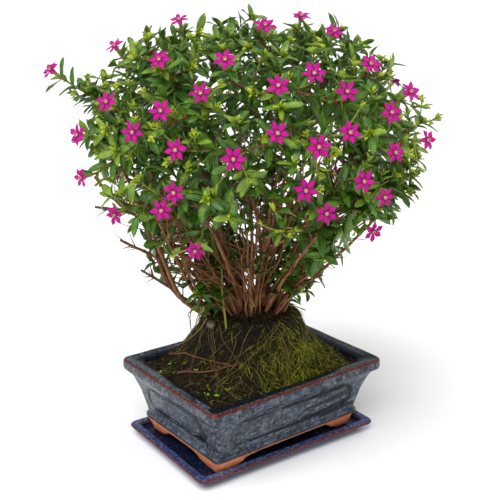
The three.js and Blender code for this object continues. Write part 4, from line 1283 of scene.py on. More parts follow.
@dataclass
class Feet:
    """The bare clay skirt under the bowl: its corners are the feet, with an arch between each two."""

    halves: tuple = (60.0, 41.0)
    thick: float = 6.0
    radius: float = 3.5
    inner_radius: float = 1.2
    flare: float = 3.4
    under_z: float = 4.8
    height: float = 9.7
    overlap: float = 0.7
    soft_edge: float = 0.55
    spans: tuple = ((34, 118), (15, 80))
    arch: tuple = (
        (-13, 0), (-11.4, 0.9), (-9, 1.6), (-6.2, 2.5), (-4.6, 4.0), (-3.4, 5.2), (-1.8, 6.1), (1.4, 7.0),
        (5, 7.5),
    )
    levels: tuple = (0.0, 0.12, 0.3, 0.5, 0.7, 0.88, 1.0)

    @property
    def top(self) -> float:
        """Height of the skirt, with what stands in the bowl's base."""
        return self.height + self.overlap

    def build(self) -> bpy.types.Object:
        """Lofts the skirt up its outside and down its inside.

        Returns:
            The piece.
        """
        columns = self._columns()
        rings = []
        for inset, levels in ((0.0, self.levels), (self.thick, self.levels[::-1])):
            rings += [[self._place(*column, inset, level) for column in columns] for level in levels]
        places = np.array(rings).reshape(-1, 3)
        stain = 0.4 * (places[:, 2] > self.under_z + self.height - 0.2)
        places += 0.14 * np.column_stack([grain(places, 4, 1.7), grain(places, 4, 5.9), 0 * places[:, 0]])
        shape = Shape(("stain",))
        shape.add(places, [band_faces(len(rings), len(columns), closed=True)], stain=stain)
        return shape.piece("pot_feet", [Terracotta("clay_feet").make()], Slot.POT)

    def _columns(self) -> list[tuple[float, float, float]]:
        """Gives the skirt's columns: number of the side, place along it and height of the arch.

        A column round a corner has the number of the side before it and a tenth for each step.

        Returns:
            The columns, side after side.
        """
        columns = []
        for k in range(4):
            arch_half, count = self.spans[k % 2]
            edge = self.halves[k % 2] - self.thick - 0.6
            x = [step - arch_half for step, _ in self.arch]
            for u in np.linspace(-edge, edge, count):
                low = float(np.interp(-abs(u), x, [rise for _, rise in self.arch], left=0.0))
                columns.append((k, u, low))
            columns += [(k + 0.1 * step, 0.0, 0.0) for step in range(1, 9)]
        return columns

    def _place(self, side: float, u: float, low: float, inset: float,
               level: float) -> tuple[float, float, float]:
        """Gives a place on the skirt.

        Args:
            side: Number of the side, with its share of the corner.
            u: Place along the side.
            low: Height of the arch there.
            inset: Distance in from the outside.
            level: Share of the height.

        Returns:
            The place.
        """
        k = int(side)
        half_u, half_v = self.halves[k % 2], self.halves[1 - k % 2]
        z = self.under_z + low + (self.top - low) * level
        if side == k:
            soften = self.soft_edge * (1 - level / 0.12) if level < 0.12 else 0.0
            spot = np.array([u, -(half_v - inset)]) + np.array([0, -soften if inset else soften])
        else:
            share = (side - k) / 0.9 * math.pi / 2
            r = self.inner_radius if inset else self.radius
            middle = np.array([half_u - inset - r, -(half_v - inset - r)])
            spot = middle + r * np.array([math.sin(share), -math.cos(share)])
        spread = self.flare * (z - self.under_z) / self.top * (inset == 0)
        x, y = spot * (1 + spread / np.array([half_u, half_v]))
        angle = math.radians(90 * k)
        c, s = math.cos(angle), math.sin(angle)
        return c * x - s * y, s * x + c * y, z


@dataclass
class DrainMesh:
    """The plastic net over the drain hole, kept as the solid is."""

    node: str = "drain_mesh"

    def dress(self) -> None:
        """Gives the net its own finish."""
        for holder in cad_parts[self.node].material_slots:
            holder.material = Plastic("drain_net").make()
        log.info("%s: kept with a new finish", self.node)


# Where the photograph was taken from, and what lies on the ground


@dataclass(frozen=True)
class Eye:
    """The camera's place, its angles in degrees and its focal length in pixels of the photograph."""

    x: float = -348.9
    y: float = -451.0
    z: float = 307.4
    focal: float = 852.0
    middle: float = 250.0
    pitch: float = 16.35
    yaw: float = 37.61

    @property
    def place(self) -> np.ndarray:
        """Place of the eye."""
        return vec(self.x, self.y, self.z)

    @property
    def level(self) -> np.ndarray:
        """Level direction that the eye looks in."""
        yaw = math.radians(self.yaw)
        return vec(math.sin(yaw), math.cos(yaw), 0)

    @property
    def right(self) -> np.ndarray:
        """Direction to the right of the view."""
        yaw = math.radians(self.yaw)
        return vec(math.cos(yaw), -math.sin(yaw), 0)

    @property
    def ahead(self) -> np.ndarray:
        """Direction that the eye looks in."""
        pitch = math.radians(self.pitch)
        return self.level * math.cos(pitch) - UP * math.sin(pitch)

    def line(self, pixel: Sequence[float]) -> np.ndarray:
        """Gives the line of sight through a pixel.

        Args:
            pixel: The pixel.

        Returns:
            Its direction, not of length one.
        """
        over = cross(self.right, self.ahead)
        aside, above = (pixel[0] - self.middle) / self.focal, -(pixel[1] - self.middle) / self.focal
        return self.ahead + self.right * aside + over * above

    def behind(self, pixel: Sequence[float], back: float) -> np.ndarray:
        """Gives the place behind a pixel in the upright plane a distance behind the axis.

        Args:
            pixel: The pixel.
            back: Distance behind the axis, less than 0 in front of it.

        Returns:
            The place.
        """
        line = self.line(pixel)
        share = (back - float(self.place @ self.level)) / float(line @ self.level)
        return self.place + line * share

    def path_behind(self, pixels: Sequence[Sequence[float]], back: float) -> np.ndarray:
        """Gives the places behind a row of pixels in one upright plane."""
        return np.array([self.behind(pixel, back) for pixel in pixels])


EYE = Eye()


def middle_of(node: str) -> np.ndarray:
    """Gives the middle of a node of the frame in millimetres."""
    low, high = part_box(node)
    return (np.array(low) + np.array(high)) / 2 / MM


class Ground:
    """Surfaces that things are set down on."""

    def __init__(self, *meshes: bpy.types.Mesh) -> None:
        """Takes the surfaces of some meshes.

        Args:
            *meshes: The meshes.
        """
        self.trees = []
        for mesh in meshes:
            spots = [tuple(v.co / MM) for v in mesh.vertices]
            self.trees.append(BVHTree.FromPolygons(spots, [tuple(p.vertices) for p in mesh.polygons]))

    def met(self, origin: np.ndarray, line: np.ndarray) -> Optional[np.ndarray]:
        """Gives the first place that a ray meets, if any.

        Args:
            origin: Where the ray starts.
            line: Direction of the ray.

        Returns:
            The place, or None.
        """
        hits = [tree.ray_cast(Vector(origin), Vector(unit(line))) for tree in self.trees]
        found = [(hit[3], hit[0]) for hit in hits if hit[0] is not None]
        return np.array(min(found, key=lambda hit: hit[0])[1]) if found else None

    def height(self, x: float, y: float, above: float = 130.0) -> float:
        """Gives the height of the ground, or a level far below it."""
        hit = self.met(vec(x, y, above), -UP)
        return -1000.0 if hit is None else float(hit[2])

    def highest(self, place: np.ndarray, reach: float, limit: float = 49.5) -> float:
        """Gives the highest ground within a reach of a place.

        Args:
            place: The place.
            reach: The reach.
            limit: How far off the axis it looks across the pot's width.

        Returns:
            The greatest height.
        """
        around = [(0, 0), (reach, 0), (-reach, 0), (0, reach), (0, -reach)]
        return max(self.height(place[0] + dx, min(max(place[1] + dy, -limit), limit), 103.5)
                   for dx, dy in around)


@dataclass
class Strands:
    """Thin three-sided blades that taper to a point, gathered into one shape."""

    shape: Shape = field(default_factory=lambda: Shape(("along", "tone")))
    steps: int = 3

    def add(self, roots: np.ndarray, ways: np.ndarray, normals: np.ndarray, lengths: np.ndarray,
            widths: np.ndarray, lifts: np.ndarray, sags: np.ndarray, tones: np.ndarray) -> None:
        """Adds blades.

        Args:
            roots: Place of each root.
            ways: Direction that each blade runs in.
            normals: Direction of its back.
            lengths: Its length.
            widths: Its width at the root.
            lifts: How far it would stand off at its end.
            sags: How far it sinks back by its end.
            tones: Its tone.
        """
        side = units(np.cross(ways, normals))
        rows = []
        share = np.linspace(0, 1, self.steps + 1)
        for t in share[:-1]:
            half = (widths * (0.55 if t == 0 else 1 - 0.65 * t))[:, None] / 2
            middle = self._middle(t, roots, ways, normals, side, lengths, lifts, sags, tones)
            rows += [middle - side * half, middle + side * half, middle + normals * half * 0.8]
        rows.append(self._middle(1.0, roots, ways, normals, side, lengths, lifts, sags, tones))
        places = np.stack(rows, axis=1)
        last = 3 * (self.steps - 1)
        point = 3 * self.steps
        triangles = np.array([[last, last + 1, point], [last + 1, last + 2, point],
                              [last + 2, last, point], [0, 2, 1]])
        along = np.concatenate([np.repeat(share[:-1], 3), [1.0]])
        self.shape.add_many(places, [band_faces(self.steps, 3), triangles],
                            along=along[None, :], tone=tones[:, None])

    @staticmethod
    def _middle(t: float, roots: np.ndarray, ways: np.ndarray, normals: np.ndarray, side: np.ndarray,
                lengths: np.ndarray, lifts: np.ndarray, sags: np.ndarray, tones: np.ndarray) -> np.ndarray:
        """Gives the middle of each blade a share of the way along it, swayed to the side.

        Args:
            t: Share of the way.
            roots: Place of each root.
            ways: Direction of each blade.
            normals: Direction of its back.
            side: Direction of its side.
            lengths: Its length.
            lifts: How far it would stand off at its end.
            sags: How far it sinks back by its end.
            tones: Its tone.

        Returns:
            The places.
        """
        sway = 0.14 * lengths * (t * t) * np.sin(17.0 * tones + 5 * t)
        return (roots + ways * (lengths * t)[:, None] + normals * (lifts * t - sags * t * t)[:, None]
                + side * sway[:, None])


def lumps(shape: Shape, places: np.ndarray, sizes: np.ndarray, seed: int, **painted: object) -> None:
    """Adds small uneven lumps to a shape.

    Args:
        shape: Shape that takes them.
        places: Their places.
        sizes: Their radii.
        seed: Number that their forms are drawn by.
        **painted: Values of the shape, one for each lump.
    """
    golden = (1 + math.sqrt(5)) / 2
    corners = np.array([
        (-1, golden, 0), (1, golden, 0), (-1, -golden, 0), (1, -golden, 0), (0, -1, golden), (0, 1, golden),
        (0, -1, -golden), (0, 1, -golden), (golden, 0, -1), (golden, 0, 1), (-golden, 0, -1),
        (-golden, 0, 1),
    ]) / math.hypot(1, golden)
    triangles = np.array([(0, 11, 5), (0, 5, 1), (0, 1, 7), (0, 7, 10), (0, 10, 11), (1, 5, 9), (5, 11, 4),
                          (11, 10, 2), (10, 7, 6), (7, 1, 8), (3, 9, 4), (3, 4, 2), (3, 2, 6), (3, 6, 8),
                          (3, 8, 9), (4, 9, 5), (2, 4, 11), (6, 2, 10), (8, 6, 7), (9, 8, 1)])
    rng = np.random.default_rng(seed)
    count = len(places)
    reach = sizes[:, None] * rng.uniform(0.55, 1.25, (count, 12))
    squash = rng.uniform(0.6, 1.15, (count, 1, 3))
    spread = places[:, None] + corners[None] * reach[..., None] * squash
    values = {name: np.asarray(value, float)[:, None] for name, value in painted.items()}
    shape.add_many(spread, [triangles], **values)


@dataclass
class SoilBed:
    """The filling of the pot with its crumbs, straws, moss tufts and sprouts."""

    half_x: float = 66.4
    half_y: float = 49.9
    level: float = 54.5
    crumbs: int = 1500
    straws: int = 900
    seedlings: int = 90
    litter_half: tuple = (64.5, 48)
    lowest: float = 50
    skirt: tuple = (
        (14, 14, 21.5), (15.6, 15.6, 21.5), (15.6, 15.6, 20.3), (54, 38, 20.3), (57.4, 40.9, 22.3),
        (62.0, 45.4, 40.0), (66.3, 49.8, 53.2),
    )
    seedling_pixels: tuple = (
        (143, 361), (171, 366), (208, 397), (217, 398), (209, 360), (196, 372), (228, 392), (160, 374),
    )

    def build(self) -> bpy.types.Object:
        """Makes the filling, uneven on top, with a flat place for the drain net.

        Returns:
            The piece.
        """
        outline = Outline(96, 70, 4)
        shape = Shape(("green",))
        rings = []
        for half_x, half_y, z in self.skirt:
            ring = outline.ring(half_x, half_y, 4)
            rings.append(np.column_stack([ring, np.full(len(ring), z)]))
        for inset in [0.0, *np.arange(0.7, 34, 1.05)]:
            ring = outline.ring(self.half_x - inset, self.half_y - inset, max(4 - inset * 0.1, 1.5))
            spots = np.column_stack([ring, np.full(len(ring), self.level)])
            swell = 0.9 * grain(spots, 7, 3.3) + 0.75 * grain(spots, 2.6, 9.1) + 0.4 * grain(spots, 1.3, 5.5)
            spots[:, 2] += np.where(inset < 0.1, -0.6, 0.25 + swell)
            rings.append(spots)
        places = np.concatenate(rings)
        green = mask_between(places[:, 0], 8, 50) * mask_between(-places[:, 1], -40, 20)
        shape.add(places, loft_faces(len(rings), len(rings[0])), green=0.02 + 0.34 * green)
        return shape.piece("soil_bed", [Earth("potting_soil").make()], Slot.SOIL, ["soil"])

    def litter(self, ground: Ground) -> list[bpy.types.Object]:
        """Scatters crumbs and dead straws over the soil and the mound's foot.

        Args:
            ground: The fine soil and mound.

        Returns:
            The piece of crumbs and the piece of straws.
        """
        rng = np.random.default_rng(11)
        return [self._crumbs(ground, rng), self._straws(ground, rng)]

    def _crumbs(self, ground: Ground, rng: np.random.Generator) -> bpy.types.Object:
        """Scatters the crumbs.

        Args:
            ground: The fine soil and mound.
            rng: Source of the draws.

        Returns:
            The piece.
        """
        spots, sizes, greens = [], [], []
        while len(spots) < self.crumbs:
            x, y = (rng.uniform(-half, half) for half in self.litter_half)
            z = ground.height(x, y)
            if z < self.lowest or z > 62 + 10 * rng.random():
                continue
            size = 0.45 + 1.15 * rng.random() ** 2.2
            spots.append((x, y, z + 0.25 * size))
            sizes.append(size)
            greens.append(0.1 + 0.3 * rng.random())
        crumbs = Shape(("green",))
        lumps(crumbs, np.array(spots), np.array(sizes), 12, green=greens)
        loose = Earth("loose_crumbs", low="#0b0705", middle="#20160f", high="#4a3523")
        return crumbs.piece("soil_crumbs", [loose.make()], Slot.SOIL, soft=False)

    def _straws(self, ground: Ground, rng: np.random.Generator) -> bpy.types.Object:
        """Lays the dead straws and sets the seedlings, some of them where the photograph shows one.

        Args:
            ground: The fine soil and mound.
            rng: Source of the draws.

        Returns:
            The piece.
        """
        straws = Shape(("along", "tone"))
        for _ in range(self.straws):
            x, y = rng.uniform(-63, 63), rng.uniform(-46.5, 46.5)
            angle, length = rng.uniform(0, 2 * math.pi), 3 + 8 * rng.random() ** 1.6
            line = []
            for t in np.linspace(-0.5, 0.5, 5):
                sx = x + length * t * math.cos(angle + 0.6 * t)
                sy = y + length * t * math.sin(angle + 0.6 * t)
                sx, sy = min(max(sx, -65), 65), min(max(sy, -48.4), 48.4)
                line.append((sx, sy, ground.height(sx, sy)))
            line = np.array(line)
            if line[:, 2].min() < self.lowest or line[:, 2].max() > 74:
                continue
            line[:, 2] = np.maximum(line[:, 2], line[:, 2].mean()) + 0.35 + rng.uniform(0, 0.7, 5)
            places, faces, along, _ = tube(line, taper(0.26, 0.12, 5) * rng.uniform(0.7, 1.4), 4)
            straws.add(places, faces, along=along / length * 0.5, tone=rng.uniform(0, 1) ** 1.6)
        for n in range(self.seedlings):
            seen = n < len(self.seedling_pixels)
            if seen:
                place = ground.met(EYE.place, EYE.line(self.seedling_pixels[n]))
            else:
                x, y = rng.uniform(-62, 40), rng.uniform(-46, 30)
                place = vec(x, y, ground.height(x, y))
            if place is None or place[2] > 64 or place[2] < self.lowest:
                continue
            self._sprout(straws, place, 1.7 if seen else rng.uniform(0.4, 1.0), n)
        straw = Strand("dead_straw", dark="#2c1e11", middle="#63491f", bright="#9a9432", tip="#b08f56")
        leaflet = Strand("seedling_leaf", dark="#3d6a10", middle="#62981a", bright="#8cc021", tip="#9ecb3a")
        return straws.piece("soil_straws", [straw.make(), leaflet.make()], Slot.MOSS)

    def _sprout(self, shape: Shape, place: np.ndarray, size: float, number: int) -> None:
        """Adds a seedling of three or four round leaflets.

        Args:
            shape: Shape that takes it.
            place: Its root.
            size: Size of its leaflets.
            number: Its number.
        """
        for k in range(3 + number % 2):
            turn = GOLDEN_ANGLE * (k + number)
            out = unit(vec(math.cos(turn), math.sin(turn), 0.55))
            side = cross(out, UP)
            over = cross(side, out)
            rim = np.array([0.1, 0.55, 1.0, 1.3, 1.0, 0.55]) * size
            wide = np.array([0, 0.5, 0.5, 0, -0.5, -0.5]) * size
            flat = place + UP * 0.6 * size + np.outer(rim, out) + np.outer(wide, side)
            places = np.concatenate([flat + over * 0.08, flat - over * 0.08])
            shape.add(places, loft_faces(2, 6), 1, along=0.5, tone=0.8)


@dataclass
class RootMound:
    """The old root ball proud of the soil, clad in moss, strands and bare roots."""

    profile: tuple = (
        (24.3, 42.5), (30, 41.5), (34, 37.5), (37, 31), (41, 23.5), (46, 16), (52, 9.5), (59, 4), (66, 1),
    )
    level: float = 54.8
    sides: int = 22
    shoulder: float = 34
    reach: float = 66
    rough: float = 1.6
    socket_depth: float = 13
    blades: int = 4600
    strands: int = 1200
    roots: int = 28
    fine_rings: int = 74
    rootlets: tuple = (
        (((196, 306), (191, 312), (190, 322), (192, 336)), -40),
        (((199, 304), (188, 314), (190, 318), (191, 329)), -38),
        (((204, 306), (197, 318), (196, 330)), -44),
        (((207, 318), (199, 330), (186, 341), (172, 347)), -46),
    )

    @property
    def top(self) -> float:
        """Height of the mound's top."""
        return self.level + self.profile[0][1]

    def _limit(self, angle: np.ndarray) -> np.ndarray:
        """Gives how far the mound may reach before it meets the pot's wall.

        Args:
            angle: Angles about the axis.

        Returns:
            The reach at each angle.
        """
        along = 64 / np.maximum(np.abs(np.cos(angle)), 1e-6)
        across = 47.5 / np.maximum(np.abs(np.sin(angle)), 1e-6)
        return np.minimum(self.reach, np.minimum(along, across))

    def _wobble(self, angle: np.ndarray, row: np.ndarray) -> np.ndarray:
        """Gives the roughness of the solid at an angle and a row of its profile.

        Args:
            angle: Angles about the axis.
            row: Rows of the profile, whole or between.

        Returns:
            How far each place stands out.
        """
        table = np.zeros((len(self.profile), self.sides))
        for r in range(1, 6):
            table[r] = [self.rough * (2 * draw(i, r + 40) - 1) for i in range(self.sides)]
        turn = (angle / (2 * math.pi) * self.sides) % self.sides
        i = np.floor(turn).astype(int) % self.sides
        t = turn - np.floor(turn)
        r = np.clip(np.floor(row).astype(int), 0, len(self.profile) - 2)
        s = row - r
        low = table[r, i] * (1 - t) + table[r, (i + 1) % self.sides] * t
        high = table[r + 1, i] * (1 - t) + table[r + 1, (i + 1) % self.sides] * t
        return low * (1 - s) + high * s

    def surface(self, angle: np.ndarray, row: np.ndarray) -> np.ndarray:
        """Gives places on the mound.

        Args:
            angle: Angles about the axis.
            row: Rows of the profile from its top, whole or between.

        Returns:
            The places, without the fine relief.
        """
        rows = np.arange(len(self.profile))
        radius = np.interp(row, rows, [p[0] for p in self.profile])
        rise = np.interp(row, rows, [p[1] for p in self.profile])
        share = np.maximum(0, (radius - self.shoulder) / (self.reach - self.shoulder))
        radius = radius * (1 - share * (1 - self._limit(angle) / self.reach))
        rough = self._wobble(angle, np.maximum(row - 1, 0))
        r = radius + rough
        return np.stack([r * np.cos(angle), r * np.sin(angle), self.level + rise + 0.4 * rough], axis=-1)

    def greenness(self, places: np.ndarray) -> np.ndarray:
        """Gives how mossy the mound is at places: most in front at the right, least at the left and top.

        Args:
            places: The places.

        Returns:
            A value between 0 and 1 for each place.
        """
        angle = np.arctan2(places[..., 1], places[..., 0])
        facing = 0.5 + 0.5 * np.cos(angle - math.radians(-62))
        low = mask_between(self.level + 44 - places[..., 2], 4, 26)
        patch = 0.28 * grain(places.reshape(-1, 3), 13, 6.2).reshape(places.shape[:-1])
        return np.clip(facing**1.8 * (0.35 + 0.65 * low) + patch - 0.08, 0, 1)

    def build(self) -> bpy.types.Object:
        """Makes the fibrous body of the mound with the round hole for the wood.

        Returns:
            The piece.
        """
        around, count = 200, self.fine_rings
        angle = turns(around)
        rows = np.linspace(8, 0, count)
        flat = np.array([self.surface(angle, np.full(around, row)) for row in rows]).reshape(-1, 3)
        calm = mask_between(np.repeat(np.linspace(0, 1, count), around), 0, 0.05)
        relief = 1.1 * grain(flat, 6.5, 1.9) + 0.9 * grain(flat, 2.2, 4.7, (1, 1, 2.6))
        relief = relief + 0.4 * grain(flat, 1.1, 8.8)
        outward = units(np.column_stack([flat[:, 0], flat[:, 1], np.full(len(flat), 26.0)]))
        slope = (flat + outward * (relief * calm)[:, None]).reshape(count, around, 3)
        inner = []
        for depth, radius in ((0.6, 24.0), (5, 24.2), (self.socket_depth, 24.3)):
            z = np.full(around, self.top - depth)
            inner.append(np.column_stack([radius * np.cos(angle), radius * np.sin(angle), z]))
        skirt = slope[0].copy()
        skirt[:, 2] = self.level
        rings = [skirt * np.array([0.98, 0.98, 1]), skirt, *slope[1:], *inner]
        whole = np.concatenate(rings)
        shape = Shape(("green",))
        shape.add(whole, loft_faces(len(rings), around), green=self.greenness(whole))
        peat = Earth("mound_peat", low="#070504", middle="#181009", high="#37291a", green="#2b320b")
        return shape.piece("mound_body", [peat.make()], Slot.MOSS, ["root_mound"])

    def clad(self, ground: Ground) -> list[bpy.types.Object]:
        """Clads the mound in moss blades and bare roots.

        Args:
            ground: The fine soil and mound.

        Returns:
            The pieces of the cladding.
        """
        return [self._moss(ground), self._collar(), self._roots(ground)]

    def _moss(self, ground: Ground) -> bpy.types.Object:
        """Grows the blades of moss and fine grass, most of them running down the slope.

        Args:
            ground: The fine soil and mound.

        Returns:
            The piece of moss.
        """
        rng = np.random.default_rng(5)
        angle, row, places, green = self._moss_roots(ground, rng)
        n = len(angle)
        below = self.surface(angle, np.minimum(row + 0.3, 8.0))
        above = self.surface(angle, np.maximum(np.minimum(row, 8.0) - 0.3, 0))
        down = units(below - above)
        aside = np.column_stack([-np.sin(angle), np.cos(angle), np.zeros(n)])
        normal = np.cross(aside, down)
        normal *= np.where(normal[:, 2:3] < 0, -1, 1)
        loose = np.clip(green * (row > 3.5), 0, 1)
        lean = rng.normal(0, 0.8 + 0.4 * loose, n)
        lean = np.where(rng.random(n) < 0.16, lean + rng.choice([-1.1, 1.1], n), lean)
        ways = units(down + aside * lean[:, None])
        lengths = 3.4 + 8.5 * rng.random(n) ** 2.2
        lengths *= np.where(row > 7, 0.7, 1)
        lifts = 0.4 + (0.34 + 0.3 * loose) * lengths * rng.random(n)
        sags = lifts * rng.uniform(0.5, 1.0, n)
        widths = rng.uniform(0.26, 0.5, n)
        straw = rng.random(n) < 0.08
        tones = 0.06 + 0.66 * green * rng.uniform(0.1, 1.4, n) + 0.45 * grain(places, 5, 2.9)
        tones = np.clip(np.where(rng.random(n) < 0.2, tones + 0.6, tones), 0, 1)
        lengths = np.where(tones > 0.75, 1.25 * lengths, lengths)
        moss = Strands()
        m = ~straw
        moss.add(places[m], ways[m], normal[m], lengths[m], widths[m], lifts[m], sags[m], tones[m])
        dry = Strands()
        dry.add(places[straw], ways[straw], normal[straw], 1.2 * lengths[straw], 0.85 * widths[straw],
                lifts[straw], sags[straw], tones[straw])
        straw_skin = Strand("dry_strand", dark="#5a4426", middle="#9a7f45", bright="#b9a35c", tip="#cdb67c")
        dry.shape.piece("mound_dry_strands", [straw_skin.make()], Slot.MOSS)
        return moss.shape.piece("mound_moss", [Strand("moss_blade").make()], Slot.MOSS)

    def _moss_roots(self, ground: Ground, rng: np.random.Generator) -> tuple[np.ndarray, ...]:
        """Draws where the blades stand, more of them the greener it is, and none on the pebble.

        Args:
            ground: The fine soil and mound.
            rng: Source of the draws.

        Returns:
            Angle, row of the profile, place and greenness of each blade.
        """
        count = self.blades
        angle = rng.uniform(0, 2 * math.pi, 3 * count)
        row = 8.2 * rng.random(3 * count) ** 0.72
        places = self.surface(angle, np.minimum(row, 8))
        green = self.greenness(places)
        keep = rng.random(3 * count) < 0.1 + 0.9 * green
        away = places - middle_of("pebble")
        over = (np.hypot(away[:, 0], away[:, 1]) < 5) & (away[:, 2] > 0) & (away[:, 2] < 14)
        keep &= ~((np.linalg.norm(away, axis=1) < 5.5) | over)
        angle, row, places, green = (some[keep][:count] for some in (angle, row, places, green))
        for place in places:
            z = ground.height(place[0], place[1])
            if abs(z - place[2]) < 6:
                place[2] = z - 0.1
        return angle, row, places, green

    def _collar(self) -> bpy.types.Object:
        """Adds the strands, dead stalks and crumbs that lie between the feet of the stems.

        Returns:
            The piece.
        """
        rng = np.random.default_rng(31)
        count = self.strands
        angle = rng.uniform(0, 2 * math.pi, count)
        near = 27 * rng.random(count) ** 0.55
        rise = self.top + 8.0 * (1 - (near / 27) ** 2.4)
        places = np.column_stack([near * np.cos(angle), near * np.sin(angle), rise])
        outward = np.column_stack([np.cos(angle), np.sin(angle), np.full(count, -0.55)])
        ways = units(outward + rng.normal(0, 0.9, (count, 3)) * np.array([1, 1, 0.45]))
        normals = np.tile(UP + vec(0.1, 0, 0), (count, 1))
        lengths = 3.5 + 9 * rng.random(count) ** 2
        tones = np.clip(0.1 + 0.3 * rng.random(count) + 0.4 * (rng.random(count) < 0.12), 0, 1)
        collar = Strands()
        collar.add(places, ways, normals, lengths, rng.uniform(0.26, 0.5, count), 2.6 * rng.random(count),
                   0.12 * lengths, tones)
        skin = Strand("collar_strand", dark="#150f08", middle="#4c3d18", bright="#a39a34", tip="#a58c4e")
        return collar.shape.piece("collar_strands", [skin.make()], Slot.MOSS)

    def _roots(self, ground: Ground) -> bpy.types.Object:
        """Lays thin bare roots over the mound, crossing down to the soil.

        Args:
            ground: The fine soil and mound.

        Returns:
            The piece.
        """
        rng = np.random.default_rng(23)
        shape = Shape(("along", "around", "age"))
        for _ in range(self.roots):
            angle = math.radians(-140) + rng.normal(0, 1.3)
            drift = rng.normal(0, 0.85)
            start, end = rng.uniform(0.6, 3.0), rng.uniform(5.5, 8.3)
            steps = 15
            rows = np.linspace(start, end, steps)
            angles = angle + drift * np.linspace(0, 1, steps) + 0.05 * np.cumsum(rng.normal(0, 0.5, steps))
            line = self.surface(angles, np.minimum(rows, 8))
            outward = np.column_stack([np.cos(angles), np.sin(angles), np.full(steps, 0.6)])
            line = line + outward * (0.5 + 0.8 * np.abs(rng.normal(0, 1, steps)))[:, None]
            for place in line:
                place[:2] = np.clip(place[:2], (-64.5, -48), (64.5, 48))
                place[2] = max(place[2], ground.height(place[0], place[1]) + 0.15)
            path = smooth_through(line[::2], 2.2)
            thick = rng.uniform(0.14, 0.28)
            shape.add_tube(path, taper(thick, 0.4 * thick, len(path)), 5, age=rng.uniform(0, 0.45))
        for pixels, back in self.rootlets:
            path = smooth_through(EYE.path_behind(pixels, back), 1.5)
            shape.add_tube(path, taper(0.5, 0.18, len(path)), 5, age=0.3)
        root = Bark("bare_root", dark="#33290f", middle="#7d6c28", streak="#b09a48", old="#33200f",
                    streaks=0.2)
        return shape.piece("mound_roots", [root.make()], Slot.MOSS)


@dataclass
class Pebble:
    """The grey pebble pressed into the mound's shoulder."""

    node: str = "pebble"

    def build(self) -> bpy.types.Object:
        """Shapes the pebble from a fine ball, dented and flattened.

        Returns:
            The piece.
        """
        low, high = (np.array(corner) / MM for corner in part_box(self.node))
        middle, half = (low + high) / 2, (high - low) / 2
        rows, angle = 14, turns(24)
        rings = []
        for t in np.linspace(0.06, math.pi - 0.06, rows):
            z = np.full(len(angle), -np.cos(t))
            rings.append(np.column_stack([np.sin(t) * np.cos(angle), np.sin(t) * np.sin(angle), z]))
        ball = np.concatenate(rings)
        uneven = 1 + 0.07 * grain(ball * 4, 3, 2.2) + 0.03 * grain(ball * 4, 1, 5.1) - 0.03
        places = middle + ball * half * uneven[:, None]
        shape = Shape(("along",))
        shape.add(places, loft_faces(rows, len(angle)))
        return shape.piece("pebble_stone", [Stone("pebble_stone").make()], Slot.PEBBLE, [self.node])


@dataclass
class FallenTwigs:
    """Two dry twigs that have fallen across each other on the soil."""

    paths: tuple = (
        ((168, 356), (191, 360), (213, 366), (236, 373)), ((178, 376), (206, 376), (225, 372), (240, 368)),
    )
    base_radius: float = 1.1
    tip_radius: float = 0.6
    lift: float = 1.7

    def build(self, solid_ground: Ground) -> bpy.types.Object:
        """Lays the twigs where the solids have them, with knots and side stubs.

        Args:
            solid_ground: Soil and mound of the solids.

        Returns:
            The piece.
        """
        shape = Shape(("along", "around", "age"))
        for k, pixels in enumerate(self.paths):
            spots = np.array([solid_ground.met(EYE.place, EYE.line(pixel)) for pixel in pixels])
            path = smooth_through(spots, 7)
            for place in path:
                place[2] = solid_ground.highest(place, 2) + self.lift
            fine = smooth_through(path, 1.4)
            fine[:, 2] -= 0.6
            radii = 0.62 * taper(self.base_radius, self.tip_radius, len(fine))
            distance = along_of(fine)
            for node in np.arange(7 + 3 * k, distance[-1], 13.5):
                radii = radii * (1 + 0.35 * np.exp(-(((distance - node) / 1.0) ** 2)))
            shape.add_tube(fine, radii, 8, 0.05, 4, age=0.12)
            for node in range(8, len(fine) - 6, 11):
                way = vec(3 * math.cos(node), 3 * math.sin(node), 1.4)
                stub = fine[node] + np.outer(np.linspace(0, 1, 4), way)
                shape.add_tube(stub, taper(0.4, 0.2, 4), 6, age=0.2)
        dry = Bark("fallen_bark", dark="#33180f", middle="#6b3826", streak="#9a6248", old="#22130d",
                   streaks=0.3)
        return shape.piece("fallen_dry_twigs", [dry.make()], Slot.DRY_TWIG, ["fallen_twigs"])


# The wood, and the rule that the crown grows by


STEM_PIXELS = {
    "left": (-6, [
        (214, 318), (186, 300), (169, 284), (161, 266), (152, 243), (143, 221), (113, 198), (95, 177),
    ]),
    "right": (-14, [(288, 300), (297, 288), (312, 279), (334, 259), (353, 241), (364, 230)]),
    "long_shoot": (-29, [(226, 318), (222, 290), (221, 267), (212, 238), (206, 220)]),
}
STUB_PIXELS = [
    (-6, [(171, 288), (141, 270)]), (-7, [(158, 258), (120, 240)]), (-8, [(142, 218), (124, 211), (95, 207)]),
]
BLOOM_PIXELS = [
    (50.6, 69.6), (114.9, 45.9), (179.2, 19.9), (159.3, 59.7), (225.1, 59.7), (265.2, 25.3), (301.2, 16),
    (334.1, 31.4), (370.8, 64.3), (410.6, 91.8), (427.5, 140), (106.5, 101.8), (160.8, 111), (200.6, 93.4),
    (132.5, 132.4), (77.4, 134.7), (175.4, 150), (233.5, 159.2), (278.2, 85.7), (314.2, 73.5),
    (347.1, 91.8), (350.2, 132.4), (277.5, 133.2), (318.8, 147), (391.5, 112.5), (395.3, 152.3),
    (81.2, 177.3), (173.8, 192.6), (161.6, 210.2), (114.9, 214.8), (305.8, 190.3), (326.4, 213.3),
    (363.9, 181.1), (384.6, 197.2), (373.1, 231.6), (195.3, 250.8),
]
BACK_BLOOM_TILTS = [36, 52, 24, 48, 32, 51]


